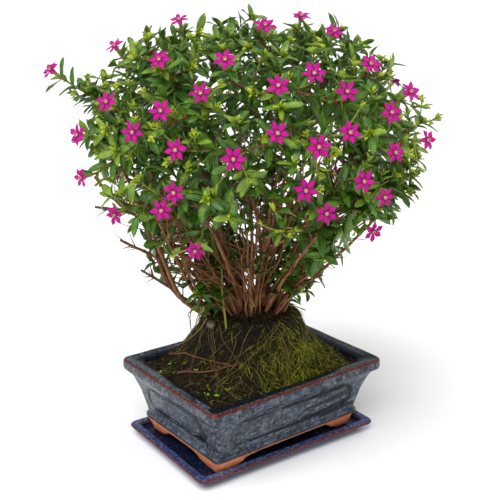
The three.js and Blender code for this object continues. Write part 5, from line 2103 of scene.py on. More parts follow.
def bend(start: np.ndarray, control: np.ndarray, end: np.ndarray, steps: int, wobble: float,
         seed: int) -> np.ndarray:
    """Draws a bent line with a small shake at its inner points.

    Args:
        start: Where it starts.
        control: Place that it bends towards.
        end: Where it ends.
        steps: Number of its steps.
        wobble: Size of the shake.
        seed: Number that the shake is drawn by.

    Returns:
        The points of the line.
    """
    path = []
    for k in range(steps + 1):
        t = k / steps
        place = start * (1 - t) ** 2 + control * (2 * (1 - t) * t) + end * t**2
        if 0 < k < steps:
            place = place + np.array([wobble * (2 * draw(seed, 60 + 3 * k + q) - 1) for q in range(3)])
        path.append(place)
    return np.array(path)


def samples(path: np.ndarray) -> np.ndarray:
    """Spreads points about every three millimetres along a path.

    Args:
        path: Points of the path.

    Returns:
        The spread points.
    """
    spots = []
    for a, b in zip(path[:-1], path[1:]):
        parts = max(1, int(length_of(b - a) / 3 + 0.5))
        spots += [a + (b - a) * (p / parts) for p in range(parts + 1)]
    return np.array(spots)


@dataclass(frozen=True)
class Crown:
    """The crown's round outline over the root crown."""

    radius: float = 120
    middle: float = 222
    above: float = 76
    below: float = 125
    round_top: float = 2.2
    round_cup: float = 1.9
    foot: float = 97.3
    near: float = 380
    steps: int = 300

    def reach_at(self, z: float) -> float:
        """Gives the crown's radius at a height.

        Args:
            z: The height.

        Returns:
            The radius, 0 over and under the crown.
        """
        rise = z - self.middle
        if rise >= self.above or rise <= -self.below:
            return 0.0
        if rise > 0:
            return self.radius * math.sqrt(1 - (rise / self.above) ** self.round_top)
        return self.radius * (1 - (-rise / self.below) ** self.round_cup)

    def outward(self, place: np.ndarray) -> np.ndarray:
        """Gives the outward direction at a place.

        Args:
            place: The place.

        Returns:
            The direction.
        """
        rise = place[2] - self.middle
        reach = self.above if rise > 0 else self.below
        return unit(vec(place[0] / self.radius**2, place[1] / self.radius**2, rise / reach**2))

    def seen_at(self, pixel: Sequence[float]) -> np.ndarray:
        """Gives where the line of sight through a pixel meets the crown, or passes nearest to it.

        Args:
            pixel: The pixel.

        Returns:
            The place.
        """
        line = unit(EYE.line(pixel))
        place = EYE.place + line * self.near
        best, least = place, math.inf
        for _ in range(self.steps):
            excess = math.hypot(place[0], place[1]) - self.reach_at(place[2])
            if excess < least:
                best, least = place, excess
            if excess <= 0:
                break
            place = place + line
        return best

    def point(self, tilt: float, turn: float, share: float) -> np.ndarray:
        """Gives a place a share of the way out, at a tilt from the upright and a turn about it.

        Args:
            tilt: The tilt in radians.
            turn: The turn in radians.
            share: Share of the way to the crown's outline.

        Returns:
            The place.
        """
        line = vec(math.sin(tilt) * math.cos(turn), math.sin(tilt) * math.sin(turn), math.cos(tilt))
        reach = 20
        while reach * math.sin(tilt) < self.reach_at(self.foot + reach * math.cos(tilt)):
            reach += 1
        return vec(0, 0, self.foot) + line * (share * reach)


@dataclass
class Bloom:
    """Where a bloom opens and which way it faces."""

    centre: np.ndarray
    facing: np.ndarray


@dataclass
class Station:
    """A ring of a twig: how far along it stands, where, its leaf node and its directions."""

    along: float
    place: np.ndarray
    node: int = -1
    ahead: np.ndarray = field(default_factory=lambda: UP)
    side: np.ndarray = field(default_factory=lambda: UP)
    across: np.ndarray = field(default_factory=lambda: UP)


@dataclass
class Limb:
    """A twig of a bough with its stations."""

    path: np.ndarray
    radii: np.ndarray
    seed: int
    spare: int = 0
    bloom: Optional[Bloom] = None
    stations: list[Station] = field(default_factory=list)
    calyx_length: float = 7
    node_length: float = 1.6
    bare: float = 14
    spacing: float = 24

    @property
    def tip_ahead(self) -> np.ndarray:
        """Direction that the tip grows in."""
        return heading(self.path)

    def __post_init__(self) -> None:
        """Sets the stations out from the twig's tip."""
        lengths = along_of(self.path)
        total = float(lengths[-1])
        last = total - self.calyx_length - 0.6 if self.bloom is not None else total - 0.9
        nodes: list[float] = []
        next_node = last
        while next_node > self.bare:
            nodes.insert(0, next_node)
            next_node -= self.spacing * (0.85 + 0.3 * draw(self.seed, len(nodes) + 9))
        stations = [self._at(0, lengths)]
        for k, along in enumerate(nodes):
            gap = along - self.node_length - stations[-1].along
            if gap > 1.3 * self.spacing:
                stations.append(self._at(along - self.node_length - gap / 2, lengths))
            low = self._at(along - self.node_length, lengths)
            low.node = len(nodes) - 1 - k
            stations += [low, self._at(along, lengths)]
        if self.bloom is not None:
            stations.append(self._at(total - self.calyx_length * 0.85, lengths))
        stations.append(self._at(total, lengths))
        side = None
        for k, station in enumerate(stations):
            behind = stations[max(k - 1, 0)].place
            station.ahead = unit(stations[min(k + 1, len(stations) - 1)].place - behind)
            if side is None:
                side = turned(square_to(station.ahead), station.ahead, math.pi * draw(self.seed, 8))
            side = unit(side - station.ahead * float(side @ station.ahead))
            station.side = side
            station.across = cross(station.ahead, side)
        self.stations = stations

    def _at(self, along: float, lengths: np.ndarray) -> Station:
        """Gives the station a distance along the path.

        Args:
            along: Distance along the path.
            lengths: Distances of the path's points.

        Returns:
            The station.
        """
        k = 1
        while k < len(lengths) - 1 and lengths[k] < along:
            k += 1
        share = (along - lengths[k - 1]) / (lengths[k] - lengths[k - 1])
        return Station(along, self.path[k - 1] + (self.path[k] - self.path[k - 1]) * share)


@dataclass
class Leaf:
    """A leaf: its root, the way it points, its upper side, its length, and how young and how dry it is."""

    root: np.ndarray
    out: np.ndarray
    upper: np.ndarray
    length: float
    young: float
    key: int
    dry: float = 0.0
    slim: float = 1.0


def gathered(leaves: Sequence[Leaf], *names: str) -> list[np.ndarray]:
    """Gives some fields of leaves, each as an array with a row for a leaf."""
    return [np.array([getattr(leaf, name) for leaf in leaves]) for name in names]


@dataclass
class Stem:
    """A woody stem: its path, its radii, and how old its bark is."""

    path: np.ndarray
    radii: np.ndarray
    age: float = 0.0
    cut: bool = False


@dataclass
class Goal:
    """What a twig grows to."""

    end: np.ndarray
    facing: np.ndarray
    bare: float
    bloom: Optional[Bloom] = None


@dataclass
class Bough:
    """A bough: its node in the solids, the twigs on it and the places that they grow to."""

    owner: int
    name: str
    limbs: list[Limb]
    goals: list[Goal] = field(default_factory=list)


@dataclass
class Growth:
    """Grows stems, boughs and twigs by the rule of the solids, so that the fine pieces keep their places."""

    crown: Crown = Crown()
    stem_count: int = 24
    stem_base: float = 2.1
    stem_tip: float = 1.15
    spread: float = 19
    stem_reach: float = 0.6
    fork_first: int = 7
    fork_of_three: int = 2
    fork_base: float = 1.3
    fork_tip: float = 0.75
    fork_reach: float = 0.72
    fork_turn: float = 24
    hub_stems: tuple = (1, 2, 12, 13, 14, 15, 16)
    hub_length: float = 11
    twig_base: float = 0.95
    twig_tip: float = 0.6
    twig_bend: float = 7
    tries: int = 9
    gap: float = 1.1
    bloom_radius: float = 7.4
    bloom_hub: float = 1.5
    calyx_length: float = 7
    shoot_count: int = 34
    shoot_spacing: float = 24
    shoot_low: float = 128
    shoot_high: float = 297
    back_sweep: float = 156

    def __post_init__(self) -> None:
        """Prepares empty lists."""
        self.stems: list[Stem] = []
        self.hubs: list[tuple[np.ndarray, np.ndarray]] = []
        self.blooms: list[Bloom] = []
        self.boughs: list[Bough] = []
        self.free_tips: list[tuple[np.ndarray, np.ndarray, int]] = []

    def grow(self, solid_ground: Ground) -> None:
        """Grows everything.

        Args:
            solid_ground: Soil and mound of the solids.
        """
        back, pixels = STEM_PIXELS["long_shoot"]
        shoot = EYE.path_behind(pixels, back)
        shoot[0, 2] = solid_ground.highest(shoot[0], 1.3) + 2 * SEAT_GAP
        self._grow_wood(shoot)
        self._grow_seen_stems()
        self._place_blooms()
        self._grow_boughs(shoot)

    def _grow_wood(self, shoot: np.ndarray) -> None:
        """Fans the stems out, clear of the long shoot.

        Args:
            shoot: Path of the long shoot.
        """
        crown = self.crown
        shoot_spots = samples(shoot)
        for i in range(self.stem_count):
            share = math.sqrt((i + 0.5) / self.stem_count)
            is_hub = i in self.hub_stems
            tilt = math.radians(6 + 48 * share + 5 * draw(i, 1))
            turn = GOLDEN_ANGLE * i
            while True:
                near = self.spread * share
                foot = vec(near * math.cos(turn), near * math.sin(turn), crown.foot - 2)
                reach = self.stem_reach + (0 if is_hub else 0.1 * (draw(i, 2) - 0.5))
                end = crown.point(tilt, turn, reach)
                control = foot + (end - foot) * 0.45 + vec(0, 0, 7 + 6 * draw(i, 3))
                path = bend(foot, control, end, 4, 1.4, i)
                turn += math.radians(7)
                spots = samples(path)
                room = np.linalg.norm(spots[:, None] - shoot_spots[None], axis=2)
                if room.min() >= self.stem_base + self.twig_base + 1.5:
                    break
            thick = self.stem_base * (0.8 + 0.5 * draw(i, 4))
            self.stems.append(Stem(path, taper(thick, self.stem_tip, len(path)), 0.25 * draw(i, 6)))
            if is_hub:
                self._add_hub(path)
                continue
            if i >= self.fork_first and i % 3 < self.fork_of_three:
                start = path[2]
                side = 1 if draw(i, 5) > 0.5 else -1
                fork_at = turn + side * math.radians(self.fork_turn)
                tip = crown.point(tilt + math.radians(7), fork_at, self.fork_reach)
                knee = start + (tip - start) * 0.5 + vec(0, 0, 4)
                fork = bend(start, knee, tip, 3, 1, i + 100)
                radii = taper(self.fork_base, self.fork_tip, len(fork))
                self.stems.append(Stem(fork, radii, 0.1 * draw(i, 6)))
                self.free_tips.append((fork[-1], heading(fork), 700 + i))
            self.free_tips.append((path[-1], heading(path), 600 + i))

    def _grow_seen_stems(self) -> None:
        """Adds the stems and cut stubs that the photograph shows on their own."""
        crown = self.crown
        for name, first, last in (("left", 2.6, 1.3), ("right", 1.7, 1.1)):
            back, pixels = STEM_PIXELS[name]
            seen = EYE.path_behind(pixels, back)
            foot = vec(seen[0, 0] * 0.4, seen[0, 1] * 0.4, crown.foot - 1)
            rise = vec(seen[0, 0] * 0.85, seen[0, 1] * 0.85, crown.foot + 3)
            path = np.vstack([foot, rise, seen[1:]])
            self.stems.append(Stem(path, taper(first, last, len(path)), 0.35 if name == "left" else 0.1))
            if name == "right":
                self._add_hub(path)
        for back, pixels in STUB_PIXELS:
            path = EYE.path_behind(pixels, back)
            self.stems.append(Stem(path, taper(1.5, 1.1, len(path)), 0.55, cut=True))

    def _add_hub(self, path: np.ndarray) -> None:
        """Adds the place where a bough begins, at a stem's end."""
        ahead = heading(path)
        self.hubs.append((path[-1] + ahead * SEAT_GAP, ahead))

    def _place_blooms(self) -> None:
        """Places the blooms that the photograph shows, and those of the far side."""
        apart = 2 * self.bloom_radius + 1.5
        for pixel in BLOOM_PIXELS:
            centre = self.crown.seen_at(pixel)
            to_eye = unit(EYE.place - centre)
            while any(length_of(other.centre - centre) < apart for other in self.blooms):
                centre = centre + to_eye
            self.blooms.append(Bloom(centre, unit(self.crown.outward(centre) + to_eye * 0.55)))
        count = len(BACK_BLOOM_TILTS)
        for k, tilt in enumerate(BACK_BLOOM_TILTS):
            turn = math.radians(90 - EYE.yaw - self.back_sweep / 2 + (self.back_sweep * (k + 0.5)) / count)
            centre = self.crown.point(math.radians(tilt), turn, 1)
            self.blooms.append(Bloom(centre, unit(self.crown.outward(centre) + vec(0, 0, 0.25))))

    def room_at(self, spots: np.ndarray) -> float:
        """Gives the least distance from some places to the middle of a bloom."""
        return min(float(np.linalg.norm(spots - bloom.centre, axis=1).min()) for bloom in self.blooms)

    def _place_shoots(self) -> list[Goal]:
        """Places the tips of the shoots that bear no bloom.

        Returns:
            The goals of the twigs that grow to them.
        """
        goals = []
        for k in range(self.shoot_count):
            height = (k + 0.5) / self.shoot_count
            z = self.shoot_low + (self.shoot_high - self.shoot_low) * height**0.8
            turn = GOLDEN_ANGLE * k
            reach = 0.96 * self.crown.reach_at(z) * (0.94 + 0.1 * draw(k, 20))
            tip = vec(reach * math.cos(turn), reach * math.sin(turn), z)
            if all(length_of(bloom.centre - tip) > self.shoot_spacing for bloom in self.blooms):
                goals.append(Goal(tip, unit(self.crown.outward(tip) + vec(0, 0, 0.3)), 0))
        return goals

    def _clearance(self, path: np.ndarray, filled: np.ndarray, owners: np.ndarray, others: list[Bloom],
                   own: int) -> float:
        """Gives the least room round a twig to the wood, other boughs and blooms.

        Args:
            path: Path of the twig.
            filled: Taken places with their radii.
            owners: Number of the bough that each belongs to.
            others: Blooms other than its own.
            own: Number of its own bough.

        Returns:
            The room.
        """
        spots = samples(path)
        apart = np.linalg.norm(spots[:, None] - filled[None, :, :3], axis=2)
        apart = (apart - self.twig_base - filled[None, :, 3])[:, owners != own]
        least = float(apart.min()) if apart.size else math.inf
        for bloom in others:
            away = spots - bloom.centre
            far = np.linalg.norm(away, axis=1)
            near = (far < self.bloom_radius + 2) & (away @ bloom.facing > -self.calyx_length)
            if near.any():
                least = min(least, float(far[near].min()) - self.bloom_radius - 0.6)
        return least

    def _grow_twig(self, start: np.ndarray, goal: Goal, filled: np.ndarray, owners: np.ndarray, own: int,
                   seed: int) -> tuple[np.ndarray, float]:
        """Grows a twig to its goal, swung aside until it is clear.

        Args:
            start: Where it starts.
            goal: What it grows to.
            filled: Taken places with their radii.
            owners: Number of the bough that each belongs to.
            own: Number of its own bough.
            seed: Number that it is drawn by.

        Returns:
            The path and the room round it.
        """
        span = length_of(goal.end - start)
        away = unit(goal.end - start)
        sideways = -square_to(away)
        others = [bloom for bloom in self.blooms if bloom is not goal.bloom]
        best, most, k = None, -math.inf, 0
        while k < self.tries and most < self.gap:
            swing = turned(sideways, away, GOLDEN_ANGLE * k)
            neck = goal.end - goal.facing * goal.bare
            control = neck - goal.facing * (0.35 * span) + swing * (self.twig_bend * k**0.7)
            path = bend(start, control, neck, 3, 0.6, seed)
            if goal.bare > 0:
                path = np.vstack([path, goal.end])
            clear = self._clearance(path[1:], filled, owners, others, own)
            if clear > most:
                best, most = path, clear
            k += 1
        return best, most

    def _start_on(self, limbs: list[Limb], end: np.ndarray) -> np.ndarray:
        """Gives the best place on a bough to grow a twig from.

        Args:
            limbs: Twigs of the bough.
            end: Where the new twig ends.

        Returns:
            The place.
        """
        best, least = limbs[0].path[0], math.inf
        for limb in limbs:
            stations = limb.stations
            for k in range(len(stations) - 1 - limb.spare):
                if stations[k].node >= 0:
                    continue
                place = stations[k].place + (stations[k + 1].place - stations[k].place) * 0.5
                line = end - place
                cost = length_of(line) * (1.5 - float(unit(line) @ stations[k].ahead))
                if cost < least:
                    best, least = place, cost
        return best

    def _grow_boughs(self, shoot: np.ndarray) -> None:
        """Grows the twigs of every bough out to the blooms and tips that are nearest.

        Args:
            shoot: Path of the long shoot.
        """
        rows, owners = [], []
        for stem in self.stems:
            for k in range(len(stem.path) - 1):
                spots = samples(stem.path[k : k + 2])
                rows.append(np.column_stack([spots, np.full(len(spots), stem.radii[k])]))
                owners += [-1] * len(spots)
        for owner, (start, ahead) in enumerate(self.hubs):
            path = np.array([start, start + ahead * self.hub_length])
            leader = Limb(path, np.array([self.stem_tip, self.twig_base]), 190 + owner)
            self.boughs.append(Bough(owner, f"bough_{owner + 1}", [leader]))
        owner = len(self.boughs)
        leader = Limb(shoot, taper(1.3, 0.8, len(shoot)), SHOOT_SEED)
        self.boughs.append(Bough(owner, "long_shoot", [leader]))
        self._share_goals()
        for bough in self.boughs:
            self._fill(rows, owners, bough.limbs[0].path, bough.owner)
        seed = 200
        for bough in self.boughs:
            hub = bough.limbs[0].path[0]
            bough.goals.sort(key=lambda goal: -length_of(goal.end - hub))
            for goal in bough.goals:
                seed += 1
                start = self._start_on(bough.limbs, goal.end)
                filled = np.concatenate(rows)
                path, clear = self._grow_twig(start, goal, filled, np.array(owners), bough.owner, seed)
                if clear < 0.4 and goal.bloom is None:
                    continue
                radii = taper(self.twig_base, self.twig_tip, len(path))
                if goal.bloom is not None:
                    radii[-2], radii[-1] = 0.75, 1.35
                bough.limbs.append(Limb(path, radii, seed, 2 if goal.bloom is not None else 1, goal.bloom))
                self._fill(rows, owners, path, bough.owner)

    def _share_goals(self) -> None:
        """Gives every bloom and free tip to the bough whose leader is nearest."""
        goals = []
        for bloom in self.blooms:
            end = bloom.centre - bloom.facing * (self.bloom_hub + SEAT_GAP)
            goals.append(Goal(end, bloom.facing, self.calyx_length, bloom))
        for goal in goals + self._place_shoots():
            leaders = [bough.limbs[0].path for bough in self.boughs]
            spans = [min(length_of(place - goal.end) for place in path) for path in leaders]
            self.boughs[spans.index(min(spans))].goals.append(goal)

    def _fill(self, rows: list[np.ndarray], owners: list[int], path: np.ndarray, own: int) -> None:
        """Marks a twig's room as taken by a bough.

        Args:
            rows: Taken places with their radii.
            owners: Number of the bough that each belongs to.
            path: Path of the twig.
            own: Number of its bough.
        """
        spots = samples(path)
        rows.append(np.column_stack([spots, np.full(len(spots), self.twig_base)]))
        owners += [own] * len(spots)


# The pieces of the plant


class Blade:
    """The pattern of a thin closed blade: a grid above and one below that share their rim and tip."""

    def __init__(self, rows: int, columns: int, form: Sequence[Sequence[float]]) -> None:
        """Sets the pattern out.

        Args:
            rows: Rows of places before the tip.
            columns: Places across, an odd number.
            form: Table of the share along and the share of the full width there.
        """
        self.rows, self.columns = rows, columns
        t = np.linspace(0, 1, rows + 1)[:-1] ** 0.9
        s = np.linspace(-1, 1, columns)
        inner = s[1:-1]
        self.t = np.concatenate([np.repeat(t, columns), np.repeat(t, columns - 2), [1.0]])
        self.s = np.concatenate([np.tile(s, rows), np.tile(inner, rows), [0.0]])
        self.width = np.interp(self.t, *np.array(form).T)
        self.below = np.concatenate([np.zeros(rows * columns), np.ones(rows * (columns - 2)), [0.0]])
        self.faces = self._faces()

    def _faces(self) -> list[np.ndarray]:
        """Gives the pattern's faces.

        Returns:
            The four-cornered faces, the triangles and the face at the foot.
        """
        rows, columns, low = self.rows, self.columns, self._low
        tip = rows * columns + rows * (columns - 2)
        quads, points = [], []
        for r in range(rows - 1):
            for c in range(columns - 1):
                k = r * columns + c
                quads.append((k, k + 1, k + 1 + columns, k + columns))
                quads.append((low(r, c), low(r + 1, c), low(r + 1, c + 1), low(r, c + 1)))
        for c in range(columns - 1):
            k = (rows - 1) * columns + c
            points.append((k, k + 1, tip))
            points.append((low(rows - 1, c), tip, low(rows - 1, c + 1)))
        end = [low(0, c) for c in range(columns)] + [c for c in range(columns - 2, 0, -1)]
        return [np.array(quads), np.array(points), np.array([end])]

    def _low(self, r: int, c: int) -> int:
        """Gives the number of a place below, which is a shared one at the rim.

        Args:
            r: Its row.
            c: Its column.

        Returns:
            The number.
        """
        if c in (0, self.columns - 1):
            return r * self.columns + c
        return self.rows * self.columns + r * (self.columns - 2) + c - 1

    def spread(self, roots: np.ndarray, outs: np.ndarray, uppers: np.ndarray, lengths: np.ndarray,
               halves: np.ndarray, droops: np.ndarray, folds: np.ndarray, waves: np.ndarray,
               thickness: float = 0.32) -> np.ndarray:
        """Lays the pattern out on many blades.

        Args:
            roots: Root of each blade.
            outs: Direction that it leaves in.
            uppers: Direction of its upper side.
            lengths: Its length.
            halves: Half its width.
            droops: Share of its length that its tip sinks.
            folds: How far its sides stand up from its midrib.
            waves: Height of the waves along its sides.
            thickness: Thickness at the midrib.

        Returns:
            Places shaped blade by place by axis.
        """
        side = np.cross(uppers, outs)
        t, s, w = self.t[None, :], self.s[None, :], self.width[None, :]
        lengths, halves, droops = lengths[:, None], halves[:, None], droops[:, None]
        arc = droops * lengths * t**2.1
        out = lengths * t * (1 - 0.12 * droops * t)
        rise = -arc + folds[:, None] * w * np.abs(s) ** 1.4
        phase = 9.0 * (lengths + 3.1 * halves)
        rise = rise + waves[:, None] * np.sin(7.5 * t + phase + 1.5 * s) * s**2 * w
        thick = thickness * (1 - s**2) * np.minimum(1, 1.6 - 1.3 * t)
        below = self.below[None, :]
        rise = rise - below * thick - (1 - below) * 0.12 * np.exp(-((s / 0.14) ** 2)) * w
        swing = 0.05 * np.sin(phase) * lengths * t**2
        across = halves * w * s + swing
        return (roots[:, None] + outs[:, None] * out[..., None] + side[:, None] * across[..., None]
                + uppers[:, None] * rise[..., None])


LEAF_FORM = ((0, 0.11), (0.045, 0.13), (0.1, 0.34), (0.2, 0.7), (0.32, 0.92), (0.46, 1.0), (0.6, 0.98),
             (0.73, 0.86), (0.84, 0.64), (0.92, 0.4), (0.97, 0.2), (1, 0))


@dataclass
class Foliage:
    """The leaves of a limb: the pairs that the solids have, and the finer ones between and at the tip."""

    length: float = 24
    breadth: float = 0.135
    tip_share: float = 0.58
    second: float = 0.76
    big: float = 18
    middling: float = 10.5

    def of_solids(self, limb: Limb) -> list[Leaf]:
        """Gives the leaves that the solids' rule places.

        Args:
            limb: Twig that bears them.

        Returns:
            The leaves.
        """
        leaves = []
        for ring, station in enumerate(limb.stations):
            if station.node < 0:
                continue
            age = min(1.0, (station.node + 0.3 * draw(limb.seed, 7)) / 2)
            size = self.tip_share + (1 - self.tip_share) * age
            for face in range(4):
                key = 400 + 16 * station.node + 4 * face
                second = (face + station.node) % 2 == 1
                if second and station.node > 1:
                    continue
                turn = (face + 0.5) * math.pi / 2
                out = unit(station.side * math.cos(turn) + station.across * math.sin(turn)
                           + station.ahead * (0.35 + 0.4 * draw(limb.seed, key)))
                upper = station.ahead + UP * (0.35 + 0.5 * draw(limb.seed, key + 1))
                upper = unit(upper - out * float(out @ upper))
                rank = self.second if second else 1
                length = self.length * size * rank * (0.85 + 0.3 * draw(limb.seed, key + 2))
                root = station.place + (limb.stations[ring + 1].place - station.place) * 0.5
                young = 0.34 * (1 - age) * draw(limb.seed, key + 3) + (0.1 if second else 0)
                dry = 1.0 if draw(limb.seed, key + 5) > 0.9965 else 0.0
                leaves.append(Leaf(root, out, upper, length, young, limb.seed * 131 + key, dry))
        return leaves

    def between(self, limb: Limb) -> list[Leaf]:
        """Gives smaller pairs of leaves along the twig between its nodes.

        Args:
            limb: Twig that bears them.

        Returns:
            The leaves.
        """
        leaves = []
        total = limb.stations[-1].along
        last = total - (limb.calyx_length + 0.6 if limb.bloom is not None else 0.9)
        lengths = along_of(limb.path)
        nodes = [station.along for station in limb.stations if station.node >= 0]
        along, k = last - 4.5, 0
        sides, overs = frames_along(limb.path)
        while along > 5:
            share = (last - along) / max(last, 1)
            near = min((abs(along - node) for node in nodes), default=9)
            if near > 2.0 and draw(limb.seed, 900 + k) > 0.08 + 0.5 * max(0, share - 0.6):
                place, j = spot_on(limb.path, lengths, along)
                ahead = heading(limb.path, j)
                for side in (0, 1):
                    key = 1000 + 8 * k + side
                    turn = math.pi * side + 1.9 * k + 0.5 * (draw(limb.seed, key) - 0.5)
                    lean = 0.45 + 0.55 * draw(limb.seed, key + 2)
                    out = unit(sides[j] * math.cos(turn) + overs[j] * math.sin(turn) + ahead * lean)
                    upper = ahead + UP * (0.4 + 0.5 * draw(limb.seed, key + 3))
                    upper = unit(upper - out * float(out @ upper))
                    grown = min(1.0, (last - along) / 22)
                    length = (8.5 + 8.5 * grown) * (0.8 + 0.4 * draw(limb.seed, key + 4))
                    young = max(0.0, 0.85 - 2.2 * grown) * (0.4 + 0.6 * draw(limb.seed, key + 5))
                    leaves.append(Leaf(place, out, upper, length, young, limb.seed * 77 + key))
            along -= 4.0 + 2.2 * draw(limb.seed, 800 + k)
            k += 1
        return leaves

    def cluster(self, place: np.ndarray, ahead: np.ndarray, seed: int, count: int = 7,
                size: float = 8.0) -> list[Leaf]:
        """Gives the close cluster of young leaves at a tip.

        Args:
            place: The tip.
            ahead: Direction that it grows in.
            seed: Number that the cluster is drawn by.
            count: Number of its leaves.
            size: Length of the outer ones.

        Returns:
            The leaves.
        """
        leaves = []
        for k in range(count):
            turn = GOLDEN_ANGLE * k + 6 * draw(seed, 30)
            spread = 0.95 - 0.75 * k / count
            out = unit(ahead + UP * 0.35 + swung(ahead, turn) * spread * 0.9)
            upper = ahead + UP * 0.4
            upper = unit(upper - out * float(out @ upper))
            length = size * (1.0 - 0.5 * k / count) * (0.8 + 0.4 * draw(seed, 31 + k))
            root = place - ahead * (2.2 - 2.2 * k / count)
            young = 0.6 + 0.4 * draw(seed, 50 + k)
            leaves.append(Leaf(root, out, upper, length, young, seed * 53 + k, slim=0.8))
        return leaves

    def shape(self, leaves: list[Leaf], into: Shape, finish: int) -> None:
        """Adds leaves to a shape, the larger ones on a finer pattern.

        Args:
            leaves: The leaves.
            into: Shape that takes them.
            finish: Number of the leaf finish.
        """
        patterns = [(self.big, math.inf, 7, 5), (self.middling, self.big, 5, 5), (0.0, self.middling, 4, 3)]
        for low, high, rows, columns in patterns:
            some = [leaf for leaf in leaves if low <= leaf.length < high]
            if not some:
                continue
            blade = Blade(rows, columns, LEAF_FORM)
            keys = np.array([[draw(leaf.key, q) for q in range(4)] for leaf in some])
            roots, outs, uppers, lengths = gathered(some, "root", "out", "upper", "length")
            slim, young, dry = gathered(some, "slim", "young", "dry")
            halves = (0.45 + lengths * (self.breadth + 0.03 * keys[:, 0])) * slim
            droops = 0.1 + 0.26 * keys[:, 1] * np.minimum(1, lengths / 16)
            folds = 0.35 + 0.75 * keys[:, 2] * np.minimum(1, lengths / 14)
            waves = 0.25 + 0.35 * keys[:, 3]
            places = blade.spread(roots, outs, uppers, lengths, halves, droops, folds, waves, 0.34)
            tipped = (keys[:, 0:1] > 0.93) * mask_between(blade.t, 0.8, 1.0)[None, :]
            into.add_many(places, blade.faces, finish, along=blade.t[None, :], across=blade.s[None, :],
                          young=young[:, None], under=blade.below[None, :],
                          dry=np.maximum(dry[:, None], tipped))


